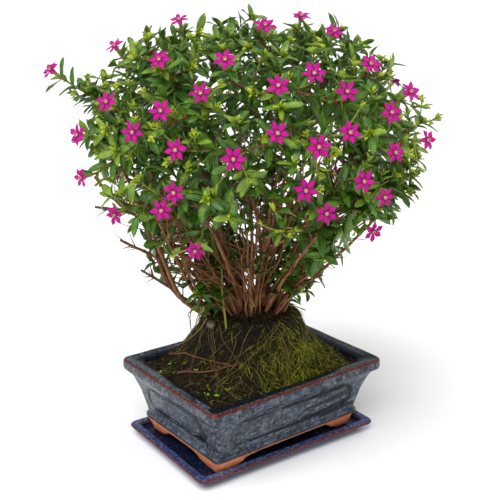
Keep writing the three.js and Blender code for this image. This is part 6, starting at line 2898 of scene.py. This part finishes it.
@dataclass
class Canopy:
    """Boughs with their twigs, leaves, calyxes and buds."""

    growth: Growth
    foliage: Foliage = field(default_factory=Foliage)
    values: tuple = ("along", "across", "young", "under", "dry", "age", "around")
    rim_count: int = 520
    bare_to: float = 178
    thinning: float = 0.62
    bloom_room: float = 8.5
    rim_room: float = 8.2
    rim_span: float = 62
    foot_window: tuple = (-14, 60, 122)
    sprouts: tuple = (
        (-22, ((232, 316), (222, 302), (210, 296), (198, 294))),
        (-24, ((236, 314), (229, 296), (215, 280))),
        (-20, ((266, 312), (272, 290), (284, 272))),
        (-22, ((276, 314), (288, 300), (300, 292))),
        (-16, ((284, 312), (294, 290), (302, 268), (306, 250))),
        (-20, ((224, 312), (208, 288), (196, 268))),
        (-12, ((218, 306), (200, 296), (190, 282), (184, 262))),
    )
    fallen_leaves: tuple = ((-5, (279, 297), 0.15, 10.5), (-6, (272, 304), 0.9, 4.5))

    def clear(self, leaves: list[Leaf], room: float = 1.2, bare: bool = True) -> list[Leaf]:
        """Leaves out the leaves that would cross a bloom or hide its face.

        Args:
            leaves: The leaves.
            room: Room that they keep.
            bare: Whether most of those in front of the lower stems go too.

        Returns:
            The leaves that stay.
        """
        if not leaves:
            return []
        roots, outs, uppers, lengths = gathered(leaves, "root", "out", "upper", "length")
        keep = np.ones(len(leaves), bool)
        reach = self.growth.bloom_radius
        if bare:
            keep &= np.array([draw(leaf.key, 77) for leaf in leaves]) < self._chance(roots)
        for share, width in ((0.3, 1.5), (0.6, 2.6), (0.85, 1.6), (1.0, 0.4)):
            spots = roots + outs * (lengths * share)[:, None] - uppers * (0.2 * lengths * share**2)[:, None]
            for bloom in self.growth.blooms:
                away = spots - bloom.centre
                front = away @ bloom.facing
                flat = np.linalg.norm(away - front[:, None] * bloom.facing, axis=1)
                keep &= ~((front > -1.2) & (front < 2.6 + room) & (flat < reach + room * 0.5))
                to_eye = unit(EYE.place - bloom.centre)
                seen = away @ to_eye
                aside = np.linalg.norm(away - seen[:, None] * to_eye, axis=1)
                keep &= ~((seen > 0) & (seen < 60) & (aside < reach * 0.92 + width))
        return [leaf for leaf, kept in zip(leaves, keep) if kept]

    def _chance(self, roots: np.ndarray) -> np.ndarray:
        """Gives the chance that leaves stay, by their roots: least where the photograph shows bare stems.

        Args:
            roots: Roots of the leaves.

        Returns:
            A chance for each leaf.
        """
        height, back, aside = roots[:, 2], roots[:, :2] @ EYE.ahead[:2], roots @ EYE.right
        rise = mask_between(height, self.bare_to - 34, self.bare_to + 22)
        chance = 0.42 + 0.58 * np.maximum(rise, 0.9 * mask_between(back, -8, 22))
        window = mask_between(np.abs(aside - 8), 30, 16) * mask_between(height, 236, 206)
        flank = mask_between(aside, -38, -52) * mask_between(height, 212, 196)
        thinned = self.thinning * np.maximum(window, flank) * mask_between(back, 8, -6)
        return chance * (1 - thinned)

    def build(self) -> list[bpy.types.Object]:
        """Makes a piece for each bough, and one for the inner shoots on the woody stems.

        Returns:
            The pieces.
        """
        skins = (TwigSkin("twig_skin"), LeafSkin("leaf_skin"), CalyxSkin("calyx_skin"),
                 CalyxSkin("bud_skin", flush="#e7a9bd"))
        finishes = [skin.make() for skin in skins]
        pieces = []
        rim_shoots = self._rim_shoots()
        for bough in self.growth.boughs:
            shape = Shape(self.values)
            leaves: list[Leaf] = []
            for n, limb in enumerate(bough.limbs):
                self._twig(shape, limb, leader=n == 0)
                leaves += self._leaves_of(limb)
                if limb.bloom is None and n > 0:
                    tip = limb.stations[-1]
                    leaves += self.clear(self.foliage.cluster(tip.place, tip.ahead, limb.seed, 8, 6.5))
                if limb.bloom is not None:
                    self._calyx(shape, limb)
                leaves += self._spurs(shape, limb)
            for limb in rim_shoots[bough.owner]:
                self._twig(shape, limb, leader=False)
                leaves += self._leaves_of(limb, small=True)
                leaves += self.clear(self.foliage.cluster(limb.path[-1], limb.tip_ahead, limb.seed, 8, 6.5))
            self.foliage.shape(leaves, shape, 1)
            pieces.append(shape.piece(f"{bough.name}_leafy", finishes, Slot.FOLIAGE, [bough.name]))
            log.info("%s bears %d leaves", bough.name, len(leaves))
        pieces.append(self._inner(finishes))
        return pieces

    def _leaves_of(self, limb: Limb, small: bool = False) -> list[Leaf]:
        """Gives the leaves along a limb that stay."""
        leaves = self.foliage.of_solids(limb) + self.foliage.between(limb)
        return self.clear([self._small(leaf) for leaf in leaves] if small else leaves)

    def _rim_shoots(self) -> dict[int, list[Limb]]:
        """Grows the short shoots that close the crown's outline, each from the twig that suits it best.

        Returns:
            The shoots of each bough, by its number.
        """
        spots, owners = [], []
        for bough in self.growth.boughs:
            for limb in bough.limbs[1:]:
                inner = samples(limb.path[:-1] if limb.bloom is not None else limb.path)[1:-1]
                spots += list(inner)
                owners += [bough.owner] * len(inner)
        spots = np.array(spots)
        shoots = {bough.owner: [] for bough in self.growth.boughs}
        for k in range(self.rim_count):
            tilt = math.acos(1 - 0.93 * (k + 0.5) / self.rim_count)
            turned_to = vec(math.cos(GOLDEN_ANGLE * k), math.sin(GOLDEN_ANGLE * k), 0)
            right = float(turned_to @ EYE.right)
            aside = abs(right) * math.sin(tilt)
            share = 0.99 - 0.16 * mask_between(aside, 0.35, 0.85) - 0.07 * (right > 0.3) * (aside > 0.7)
            tip = self.growth.crown.point(tilt, GOLDEN_ANGLE * k, share * (0.94 + 0.07 * draw(k, 700)))
            lines = tip - spots
            spans = np.linalg.norm(lines, axis=1)
            outward = unit(tip - vec(0, 0, 150))
            cost = spans * (1.6 - lines @ outward / np.maximum(spans, 1e-6))
            n = int(np.argmin(np.where(spans > 7, cost, 1e9)))
            if spans[n] > self.rim_span or tip[2] < self.bare_to - 30 * (tip[:2] @ EYE.ahead[:2] > 10):
                continue
            knee = spots[n] + lines[n] * 0.5 + outward * 0.12 * spans[n]
            path = bend(spots[n], knee, tip, 3, 0.9, 7000 + k)
            if self.growth.room_at(samples(path)) > self.rim_room:
                shoots[owners[n]].append(Limb(path, taper(0.62, 0.4, len(path)), 7000 + k, spacing=13))
        return shoots

    def _twig(self, shape: Shape, limb: Limb, leader: bool) -> None:
        """Adds a fine twig, its joints swollen.

        Args:
            shape: Shape that takes it.
            limb: The twig.
            leader: Whether it is its bough's first.
        """
        path = smooth_through(limb.path, 2.2)
        long_shoot = limb.seed == SHOOT_SEED
        if long_shoot:
            path = np.vstack([path[0] - UP * 4, path])
        lengths = along_of(path)
        radii = np.interp(lengths / lengths[-1], along_of(limb.path) / along_of(limb.path)[-1], limb.radii)
        if long_shoot:
            radii = radii * 0.66
        if limb.bloom is not None:
            stop = lengths < lengths[-1] - limb.calyx_length + 0.3
            path, lengths, radii = path[stop], lengths[stop], radii[stop]
        for station in limb.stations:
            if station.node >= 0:
                radii = radii * (1 + 0.3 * np.exp(-(((lengths - station.along - 0.8) / 1.2) ** 2)))
        places, faces, along, around = tube(path, radii * 0.92, 7)
        age = np.clip(1.15 - along / max(lengths[-1], 1) * 1.25, 0, 1)
        if leader or long_shoot:
            age = np.clip(1 - 0.4 * along / max(lengths[-1], 1), 0, 1) * (0.35 if long_shoot else 1)
        shape.add(places, faces, 0, along=along, around=around, age=age)

    def _calyx(self, shape: Shape, limb: Limb) -> None:
        """Adds the ribbed tube under a bloom, its mouth cut into small teeth.

        Args:
            shape: Shape that takes it.
            limb: Twig that bears the bloom.
        """
        facing = limb.bloom.facing
        start = limb.path[-1] - facing * self.growth.calyx_length
        shares = np.array([0, 0.06, 0.2, 0.4, 0.6, 0.8, 0.93, 1.0, 0.99, 0.9])
        radii = np.array([0.7, 0.95, 1.15, 1.1, 1.15, 1.3, 1.5, 1.75, 1.3, 0.9])
        side = square_to(facing)
        over = cross(facing, side)
        angle = turns(12)
        rings = []
        for t, radius in zip(shares, radii):
            ribbed = radius * (1 + 0.07 * np.cos(6 * angle))
            tooth = 0.45 * np.cos(6 * angle) if t in (1.0, 0.99) else 0 * angle
            rings.append(start + facing * (t * self.growth.calyx_length) + facing * tooth[:, None]
                         + side * (ribbed * np.cos(angle))[:, None]
                         + over * (ribbed * np.sin(angle))[:, None])
        shape.add(np.concatenate(rings), loft_faces(len(rings), 12), 2, along=np.repeat(shares, 12),
                  around=np.tile(angle / (2 * math.pi), len(rings)))

    def _bud(self, shape: Shape, place: np.ndarray, ahead: np.ndarray, length: float) -> None:
        """Adds a slim closed bud.

        Args:
            shape: Shape that takes it.
            place: Its foot.
            ahead: Direction that it points in.
            length: Its length.
        """
        path = np.array([place + ahead * length * t for t in (0, 0.1, 0.35, 0.6, 0.82, 0.95, 1.0)])
        radii = np.array([0.4, 0.75, 0.95, 0.9, 1.1, 0.7, 0.2]) * (length / 8) ** 0.5
        places, faces, along, around = tube(path, radii, 10, 0.07, 6)
        shape.add(places, faces, 3, along=along / length, around=around)

    def _spurs(self, shape: Shape, limb: Limb) -> list[Leaf]:
        """Adds short leafy side shoots to a limb, some with a bud.

        Args:
            shape: Shape of the bough.
            limb: Twig that bears them.

        Returns:
            The leaves of the spurs.
        """
        leaves = []
        seed = 3000 + limb.seed
        nodes = [station for station in limb.stations[1:-1] if station.node >= 0]
        for n, station in enumerate(nodes):
            for q in range(2):
                if draw(seed, 10 * n + q) <= 0.62:
                    leaves += self._spur(shape, station, seed, n, q)
        return leaves

    def _spur(self, shape: Shape, station: Station, seed: int, n: int, q: int) -> list[Leaf]:
        """Adds one side shoot with its leaves where there is room for it.

        Args:
            shape: Shape of the bough.
            station: Place on the twig that bears it.
            seed: Seed of the twig's side shoots.
            n: Number of the node along the twig.
            q: Side of the node, 0 or 1.

        Returns:
            The leaves of the side shoot.
        """
        turn = math.pi * (q + 0.5 * (station.node % 2)) + 0.9 * draw(seed, 20 + n)
        lean = 0.75 + 0.6 * draw(seed, 30 + 2 * n + q)
        way = unit(station.side * math.cos(turn) + station.across * math.sin(turn)
                   + station.ahead * lean + UP * 0.2)
        reach = 10 + 13 * draw(seed, 40 + 2 * n + q)
        end = station.place + way * reach
        over = math.hypot(end[0], end[1]) - self.growth.crown.reach_at(end[2]) - 2.5
        if over > 0:
            reach = max(5.0, reach - over)
            end = station.place + way * reach
        middle = station.place + way * reach * 0.55 - UP * 0.8
        spots = np.array([station.place, middle, end])
        path = smooth_through(spots, 2.5)
        if self.growth.room_at(path) < self.bloom_room or end[2] < self.bare_to - 25:
            return []
        places, faces, along, around = tube(path, taper(0.62, 0.38, len(path)), 5)
        shape.add(places, faces, 0, along=along, around=around, age=0.35 * (1 - along / reach))
        spur = Limb(spots, taper(0.6, 0.4, 3), seed * 7 + 10 * n + q, bare=4, spacing=9)
        leaves = self.clear([self._small(leaf) for leaf in self.foliage.between(spur)])
        ahead = heading(path)
        leaves += self.clear(self.foliage.cluster(path[-1], ahead, seed + 50 * n + q, 6, 6.5))
        if draw(seed, 60 + 2 * n + q) > 0.9:
            length = 6 + 3 * draw(seed, 70 + n)
            self._bud(shape, path[-1] - ahead * 0.5, unit(ahead + UP * 0.3), length)
        return leaves

    def _small(self, leaf: Leaf) -> Leaf:
        """Gives a leaf of a spur at its smaller size.

        Args:
            leaf: The leaf.

        Returns:
            The same leaf, changed.
        """
        leaf.length *= 0.9
        leaf.young = min(1.0, leaf.young + 0.04)
        return leaf

    def _inner(self, finishes: list[bpy.types.Material]) -> bpy.types.Object:
        """Makes the leafy shoots that grow from the woody stems inside the crown.

        Args:
            finishes: Finishes of the leafy pieces.

        Returns:
            The piece.
        """
        shape = Shape(self.values)
        leaves: list[Leaf] = []
        crown = self.growth.crown
        for place, ahead, seed in self.growth.free_tips:
            for q in range(3):
                lean = 0.25 + 0.8 * draw(seed, 9 + q)
                way = unit(ahead + swung(ahead, GOLDEN_ANGLE * q + 6 * draw(seed, q)) * lean)
                reach = 22 + 26 * draw(seed, 20 + q)
                while reach > 10:
                    end = place + way * reach
                    if math.hypot(end[0], end[1]) < crown.reach_at(end[2]) - 1:
                        break
                    reach -= 2
                path = np.array([place, place + way * reach * 0.5 - UP * 1.2, place + way * reach])
                low = path[-1, 2] < self.bare_to - 50 * (path[-1, :2] @ EYE.ahead[:2] > 0)
                if low or self.growth.room_at(samples(path)) < self.bloom_room:
                    continue
                limb = Limb(path, taper(0.8, 0.5, 3), seed * 5 + q, spacing=15)
                self._twig(shape, limb, leader=False)
                leaves += self._leaves_of(limb)
                leaves += self.clear(self.foliage.cluster(path[-1], heading(path), seed * 3 + q, 5, 7))
        leaves += self._undergrowth(shape)
        leaves += self._sprouts(shape)
        self.foliage.shape(leaves, shape, 1)
        log.info("inner shoots bear %d leaves", len(leaves))
        return shape.piece("inner_shoots", finishes, Slot.FOLIAGE)

    def _undergrowth(self, shape: Shape) -> list[Leaf]:
        """Adds short twigs on the lower stems, most of them behind those in front, and gives their leaves.

        Args:
            shape: Shape that takes the twigs.

        Returns:
            The leaves.
        """
        added: list[Leaf] = []
        left, right, top = self.foot_window
        for n, stem in enumerate(self.growth.stems):
            if stem.cut:
                continue
            lengths = along_of(stem.path)
            for q in range(7):
                along = lengths[-1] * (0.14 + 0.62 * draw(n, 601 + q))
                place, j = spot_on(stem.path, lengths, along)
                if place[:2] @ EYE.ahead[:2] < -3 and draw(n, 620 + q) > 0.3:
                    continue
                ahead = heading(stem.path, j)
                way = unit(ahead * 0.8 + swung(ahead, 2 * math.pi * draw(n, 640 + q)))
                reach = 14 + 16 * draw(n, 660 + q)
                path = np.array([place, place + way * reach * 0.5, place + way * reach - UP * 2])
                limb = Limb(path, taper(0.55, 0.35, 3), 6000 + 9 * n + q, spacing=9)
                self._twig(shape, limb, leader=False)
                for leaf in self.foliage.of_solids(limb) + self.foliage.between(limb):
                    leaf.young, leaf.length = 0.5 * leaf.young, 0.86 * leaf.length
                    in_front = leaf.root[2] < top and leaf.root[:2] @ EYE.ahead[:2] < 0
                    if not (in_front and left < leaf.root[:2] @ EYE.right[:2] < right):
                        added.append(leaf)
        return self.clear(added, bare=False)

    def _sprouts(self, shape: Shape) -> list[Leaf]:
        """Adds the low shoots beside the mound's top, and gives their leaves and the fallen dry ones.

        Args:
            shape: Shape that takes the shoots.

        Returns:
            The leaves.
        """
        leaves: list[Leaf] = []
        for n, (back, pixels) in enumerate(self.sprouts):
            path = smooth_through(EYE.path_behind(pixels, back), 8)
            limb = Limb(path, taper(0.9, 0.5, len(path)), 5200 + n, spacing=14)
            self._twig(shape, limb, leader=False)
            leaves += self.clear(self.foliage.between(limb) + self.foliage.of_solids(limb))
            leaves += self.foliage.cluster(path[-1], heading(path), 5300 + n, 7, 7)
        for n, (back, pixel, sidewards, length) in enumerate(self.fallen_leaves):
            out = unit(EYE.right * sidewards - EYE.ahead * 0.35 - UP * 0.9)
            upper = unit(cross(out, cross(UP * 0.5 - EYE.ahead, out)))
            leaves.append(Leaf(EYE.behind(pixel, back), out, upper, length, 0.0, 5400 + n, 1.0, 1.5))
        return leaves


@dataclass
class Wood:
    """The fanning woody stems on their root crown."""

    growth: Growth
    socket_radius: float = 24.3
    top: float = 97.3
    whips: int = 60
    whip_room: float = 8.4
    fore_room: float = 8.8
    fore_stems: tuple = (
        (1.6, (
            (206, 316, -8), (180, 296, -14), (163, 258, -20), (147, 220, -26), (134, 192, -30),
            (121, 166, -32),
        )),
        (1.3, ((210, 314, -10), (188, 282, -18), (168, 240, -26), (153, 210, -32), (141, 182, -36))),
        (0.9, ((208, 312, -14), (190, 276, -26), (181, 240, -36), (176, 214, -40))),
        (1.8, ((264, 308, -10), (262, 268, -18), (258, 222, -26), (247, 184, -32), (240, 164, -34))),
        (1.4, ((250, 306, -12), (253, 262, -20), (250, 214, -28), (245, 190, -32))),
        (1.3, ((284, 308, -8), (300, 276, -16), (318, 238, -24), (337, 200, -30))),
    )

    def build(self) -> bpy.types.Object:
        """Makes the bark tubes, the cut ends, the hair twigs and the root crown.

        Returns:
            The piece.
        """
        shape = Shape(("along", "around", "age", "green"))
        for n, stem in enumerate(self.growth.stems):
            self._stem(shape, stem, n)
        self._fore_stems(shape)
        self._whips(shape)
        self._crown(shape)
        self._hairs(shape)
        bark = Bark("stem_bark").make()
        peat = Earth("crown_peat", low="#070504", middle="#1c1109", high="#45301c", green="#2f3410")
        finishes = [bark, CutWood("cut_wood").make(), peat.make()]
        return shape.piece("woody_stems_bark", finishes, Slot.BARK, ["woody_stems"])

    def _stem(self, shape: Shape, stem: Stem, n: int) -> None:
        """Adds one stem with swollen joints and stringy ridges.

        Args:
            shape: Shape that takes it.
            stem: The stem.
            n: Its number.
        """
        path = smooth_through(stem.path, 2.0)
        lengths = along_of(path)
        radii = np.interp(lengths / lengths[-1], along_of(stem.path) / along_of(stem.path)[-1], stem.radii)
        node = 9 + 8 * draw(n, 200)
        while node < lengths[-1]:
            radii = radii * (1 + 0.22 * np.exp(-(((lengths - node) / 1.4) ** 2)))
            node += 11 + 9 * draw(n, 201 + int(node))
        foot = np.exp(-lengths / 9) * (path[0, 2] < self.top + 5)
        radii = radii * (0.74 + 0.3 * foot)
        kinks = np.column_stack([grain(path, 9, 10.0 + 3 * n), grain(path, 9, 40.0 + 3 * n), 0 * lengths])
        calm = np.minimum(1, np.minimum(lengths, lengths[-1] - lengths) / 12)
        path = path + 0.55 * kinks * calm[:, None]
        places, faces, along, around = tube(path, radii, 8, 0.07, 4)
        age = stem.age + 0.35 * mask_between(self.top + 26 - places[:, 2], 0, 26)
        shape.add(places, faces[:2], along=along, around=around, age=np.clip(age, 0, 1))
        ring, centre = places[-10:], path[-1]
        narrow, rise, finish = (0.8, 0.12, 1) if stem.cut else (0.7, 0.5, 0)
        end = centre + (ring - centre) * narrow + heading(path) * rise
        shape.add(np.concatenate([ring, end]), [band_faces(2, 10), cap(10, 10)], finish, age=stem.age)

    def _fore_stems(self, shape: Shape) -> None:
        """Adds the bare stems that stand in front of the others, each cut short before it meets a bloom.

        Args:
            shape: Shape that takes them.
        """
        for n, (radius, spots) in enumerate(self.fore_stems):
            path = smooth_through(np.array([EYE.behind((x, y), back) for x, y, back in spots]), 2.2)
            met = np.array([self.growth.room_at(place[None]) < self.fore_room for place in path])
            if met.any():
                path = path[: int(np.argmax(met))]
            if len(path) < 8:
                continue
            radii = taper(radius, 0.5 * radius, len(path))
            for node in np.arange(9 + 3 * n, len(path), 9):
                radii = radii * (1 + 0.25 * np.exp(-(((np.arange(len(path)) - node) / 0.8) ** 2)))
            shape.add_tube(path, radii, 8, 0.08, 4, age=0.12 * draw(n, 571))
            for q in range(3):
                j = int(len(path) * (0.45 + 0.5 * draw(n, 572 + q)))
                ahead = heading(path, j)
                way = unit(ahead + square_to(ahead) * math.cos(2.4 * q + n) * 0.9 + UP * 0.3)
                spots = np.array([path[j], path[j] + way * 7, path[j] + way * 15 + UP * 1.5])
                twig = smooth_through(spots, 2.5)
                shape.add_tube(twig, taper(0.5, 0.2, len(twig)), 5, age=0.2)

    def _whips(self, shape: Shape) -> None:
        """Adds the thin stems between the thick ones, most of them bare.

        Args:
            shape: Shape that takes them.
        """
        crown = self.growth.crown
        for n in range(self.whips):
            left = n % 3 == 0
            turn = math.radians(175 + 70 * draw(n, 501)) if left else GOLDEN_ANGLE * n
            tilt = math.radians(34 + 26 * draw(n, 502) if left else 6 + 46 * draw(n, 503) ** 0.7)
            near = 6 + 14 * draw(n, 504)
            foot = vec(near * math.cos(turn), near * math.sin(turn), self.top)
            end = crown.point(tilt, turn, 0.5 + 0.36 * draw(n, 505))
            knee = foot + (end - foot) * 0.42 + UP * (9 + 9 * draw(n, 506))
            path = smooth_through(bend(foot, knee, end, 5, 2.4, 5000 + n), 2.5)
            if self.growth.room_at(path) < self.whip_room:
                continue
            thick = 0.7 + 0.45 * draw(n, 507)
            shape.add_tube(path, taper(thick, 0.4 * thick, len(path)), 5, 0.05, 3, age=0.3 * draw(n, 508))
            for q in range(4):
                j = int(len(path) * (0.35 + 0.6 * draw(n, 510 + q)))
                ahead = heading(path, j)
                way = unit(ahead * 1.3 + swung(ahead, 2 * math.pi * draw(n, 520 + q)))
                reach = 7 + 22 * draw(n, 530 + q)
                middle = path[j] + way * reach * 0.5 - UP * 0.5
                twig = smooth_through(np.array([path[j], middle, path[j] + way * reach]), 2.5)
                shape.add_tube(twig, taper(0.4, 0.18, len(twig)), 4, age=0.2)

    def _crown(self, shape: Shape) -> None:
        """Adds the knotted root crown in the mound's hole.

        Args:
            shape: Shape that takes it.
        """
        rows, angle = 26, turns(72)
        rings = []
        for t in np.linspace(1, 0.02, rows):
            radius = (self.socket_radius - 0.5) * t
            z = np.full(len(angle), self.top + 8.5 * (1 - t**2.4) - 0.8)
            rings.append(np.column_stack([radius * np.cos(angle), radius * np.sin(angle), z]))
        places = np.concatenate(rings)
        knots = 3.4 * np.abs(grain(places, 6.5, 2.7)) + 1.2 * grain(places, 2.2, 8.1)
        edge = mask_between(self.socket_radius - np.hypot(places[:, 0], places[:, 1]), 0.6, 4)
        places[:, 2] += knots * edge
        low = rings[0].copy()
        low[:, 2] = self.top - 12.4
        places = np.concatenate([low, places])
        green = 0.3 + 0.25 * grain(places, 9, 4.1)
        shape.add(places, loft_faces(rows + 1, len(angle)), 2, green=green)

    def _hairs(self, shape: Shape) -> None:
        """Adds bare side twigs, most of them thin and dry, on the lower stems.

        Args:
            shape: Shape that takes them.
        """
        for n, stem in enumerate(self.growth.stems):
            lengths = along_of(stem.path)
            for q in range(7):
                along = lengths[-1] * (0.22 + 0.72 * draw(n, 300 + q))
                place, j = spot_on(stem.path, lengths, along)
                ahead = heading(stem.path, j)
                way = unit(swung(ahead, 2 * math.pi * draw(n, 320 + q)) + ahead * (0.5 + draw(n, 340 + q)))
                reach = 5 + 17 * draw(n, 360 + q) ** 1.8
                droop = UP * (2.5 * draw(n, 380 + q) - 1.0)
                middle, end = place + way * reach * 0.5 + droop * 0.3, place + way * reach + droop
                path = smooth_through(np.array([place, middle, end]), 2.2)
                thick = 0.38 + 0.35 * draw(n, 400 + q)
                shape.add_tube(path, taper(thick, 0.3 * thick, len(path)), 5, age=stem.age)


PETAL_FORM = (
    (0, 0.42), (0.12, 0.5), (0.25, 0.74), (0.38, 0.96), (0.48, 1.0), (0.6, 0.9), (0.72, 0.66), (0.84, 0.38),
    (0.93, 0.17), (1, 0),
)


@dataclass
class Blossom:
    """The six-petalled blooms with their dark ring and pale stamens."""

    growth: Growth
    radius: float = 7.4
    petals: int = 6
    petal_half: float = 1.8
    throat: float = 1.1
    stamens: int = 9
    heart: tuple = (
        (0.9, -1.5, 0.1), (1.2, -0.9, 0.1), (1.4, -0.2, 0.2), (1.6, 0.3, 0.3), (1.3, 0.5, 0.34),
        (0.8, 0.5, 0.4), (0.55, 0.7, 0.62), (0.25, 0.8, 0.8),
    )

    def build(self) -> list[bpy.types.Object]:
        """Makes a piece for each bloom.

        Returns:
            The pieces.
        """
        finishes = [PetalSkin("petal_skin").make(), BloomHeart("bloom_heart").make()]
        blade = Blade(7, 5, PETAL_FORM)
        return [self._bloom(k, bloom, blade, finishes) for k, bloom in enumerate(self.growth.blooms)]

    def _bloom(self, k: int, bloom: Bloom, blade: Blade,
               finishes: list[bpy.types.Material]) -> bpy.types.Object:
        """Makes one bloom.

        Args:
            k: Its number.
            bloom: Its place.
            blade: Pattern of a petal.
            finishes: Finishes of the petals and the heart.

        Returns:
            The piece.
        """
        across = -square_to(bloom.facing)
        over = cross(bloom.facing, across)
        shape = Shape(("along", "across"))
        petals = self._petals(k, bloom, across, over)
        places = blade.spread(*(np.array(column) for column in zip(*petals)), thickness=0.2)
        flat = places.reshape(-1, 3)
        crinkle = 0.32 * grain(flat, 2.0, 3.0 + k) + 0.1 * grain(flat, 0.8, 9.0 + k)
        flat = flat + bloom.facing * crinkle[:, None]
        shape.add_many(flat.reshape(places.shape), blade.faces, along=blade.t[None, :],
                       across=blade.s[None, :])
        self._heart(shape, bloom, across, over)
        name = f"bloom_{k + 1:02d}"
        return shape.piece(f"{name}_petals", finishes, Slot.PETAL, [name])

    def _petals(self, k: int, bloom: Bloom, across: np.ndarray, over: np.ndarray) -> list[tuple]:
        """Draws the petals of a bloom, each with a turn, a size and a fold of its own.

        Args:
            k: Number of the bloom.
            bloom: Its place.
            across: Direction across the bloom.
            over: Direction square to it and to the way the bloom faces.

        Returns:
            What the pattern of a petal takes for each of them.
        """
        facing = bloom.facing
        start = draw(k, 30) * math.pi
        size = 0.92 + 0.12 * draw(k, 31)
        petals = []
        for n in range(self.petals):
            key = 40 + 5 * n
            angle = start + 2 * math.pi * n / self.petals + 0.09 * (draw(k, key) - 0.5)
            radial = across * math.cos(angle) + over * math.sin(angle)
            tilt = 0.17 + 0.16 * (draw(k, key + 1) - 0.5)
            out = unit(radial + facing * tilt)
            upper = unit(facing - out * float(facing @ out))
            root = bloom.centre + radial * self.throat * 0.8 + facing * 0.05
            length = (self.radius * size - self.throat * 0.8) * (0.94 + 0.1 * draw(k, key + 2))
            half = self.petal_half * size * (0.92 + 0.16 * draw(k, key + 3))
            droop, fold = 0.04 + 0.14 * draw(k, key + 4), 0.5 * (draw(k, key + 2) - 0.35)
            petals.append((root, out, upper, length, half, droop, fold, 0.42))
        return petals

    def _heart(self, shape: Shape, bloom: Bloom, across: np.ndarray, over: np.ndarray) -> None:
        """Adds the throat and the stamens round it.

        Args:
            shape: The bloom's shape.
            bloom: The bloom's place.
            across: Direction across it.
            over: Direction square to that.
        """
        angle = turns(16)
        rings = []
        for radius, rise, _ in self.heart:
            rings.append(bloom.centre + bloom.facing * rise + across * (radius * np.cos(angle))[:, None]
                         + over * (radius * np.sin(angle))[:, None])
        along = np.repeat([shade for *_, shade in self.heart], len(angle))
        shape.add(np.concatenate(rings), loft_faces(len(rings), len(angle)), 1, along=along)
        for n in range(self.stamens):
            turn = 2 * math.pi * n / self.stamens + 0.4
            way = across * math.cos(turn) + over * math.sin(turn)
            root = bloom.centre + bloom.facing * 0.5 + way * 0.75
            tip = root + way * (0.15 + 0.2 * (n % 2)) + bloom.facing * (0.9 + 0.4 * (n % 3) / 2)
            path = np.array([root, root + (tip - root) * 0.55, root + (tip - root) * 0.8, tip])
            places, faces, _, _ = tube(path, np.array([0.1, 0.09, 0.2, 0.1]), 5)
            shape.add(places, faces, 1, along=np.repeat([0.6, 0.7, 0.95, 1.0], 5))


@dataclass
class Studio:
    """The pale floor, the soft lights and the camera at the photograph's angle."""

    lights: tuple = (
        ("key_light", (-0.7, -0.35, 1.3), 46, 2.65), ("side_light", (0.9, -0.1, 0.8), 55, 0.4),
    )
    sky: float = 0.5
    floor_rings: tuple = ((0.6, 0.0), (60.0, 0.0), (200.0, 16.0))
    sensor: float = 36
    photo_width: float = 500

    def build(self) -> None:
        """Sets everything up."""
        self._floor()
        for light in self.lights:
            self._light(*light)
        world = bpy.data.worlds.new("studio_world")
        world.use_nodes = True
        backdrop = world.node_tree.nodes["Background"]
        backdrop.inputs["Color"].default_value = (1.0, 1.0, 1.0, 1.0)
        backdrop.inputs["Strength"].default_value = self.sky
        bpy.context.scene.world = world
        bpy.context.scene.view_settings.view_transform = "Standard"
        self._camera()

    def _floor(self) -> None:
        """Lays a wide round sheet of paper under the saucer."""
        mesh = bpy.data.meshes.new("floor_sheet")
        around = 64
        angle = turns(around)
        ring = np.column_stack([np.cos(angle), np.sin(angle), 0 * angle])
        rings = [ring * radius + UP * rise for radius, rise in self.floor_rings]
        places = np.concatenate([[[0, 0, 0]], *rings]) - UP * 0.0003
        faces = [(0, 1 + i, 1 + (i + 1) % around) for i in range(around)]
        faces += (1 + band_faces(len(rings), around)[:, ::-1]).tolist()
        mesh.from_pydata(places.tolist(), [], faces)
        mesh.materials.append(Paper("floor_paper").make())
        floor = bpy.data.objects.new("floor_sheet", mesh)
        bpy.context.scene.collection.objects.link(floor)

    def _light(self, name: str, place: tuple, breadth: float, power: float) -> None:
        """Hangs a broad, even light, its breadth in degrees of the sky.

        Args:
            name: Its name.
            place: Where it shines from.
            breadth: Its breadth.
            power: Its strength.
        """
        light = bpy.data.lights.new(name, "SUN")
        light.angle = math.radians(breadth)
        light.energy = power
        lamp = bpy.data.objects.new(name, light)
        lamp.location = place
        lamp.rotation_euler = (-Vector(place)).to_track_quat("-Z", "Y").to_euler()
        bpy.context.scene.collection.objects.link(lamp)

    def _camera(self) -> None:
        """Stands the camera where the photograph was taken from."""
        lens = bpy.data.cameras.new("photo_camera")
        lens.sensor_width = self.sensor
        lens.lens = EYE.focal / self.photo_width * self.sensor
        camera = bpy.data.objects.new("photo_camera", lens)
        camera.location = Vector(EYE.place * MM)
        camera.rotation_euler = Euler((math.radians(90 - EYE.pitch), 0, -math.radians(EYE.yaw)))
        bpy.context.scene.collection.objects.link(camera)
        bpy.context.scene.camera = camera


def main() -> None:
    """Builds the plant, its pot and the studio."""
    solid_ground = Ground(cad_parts["soil"].data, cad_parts["root_mound"].data)
    Saucer().build()
    Pot().build()
    Feet().build()
    DrainMesh().dress()
    bed, mound = SoilBed(), RootMound()
    fine_ground = Ground(bed.build().data, mound.build().data)
    bed.litter(fine_ground)
    mound.clad(fine_ground)
    Pebble().build()
    FallenTwigs().build(solid_ground)
    growth = Growth()
    growth.grow(solid_ground)
    Wood(growth).build()
    Canopy(growth).build()
    Blossom(growth).build()
    Studio().build()


if __name__ == "__main__":
    logging.basicConfig(level=logging.INFO, format="%(message)s")
    main()
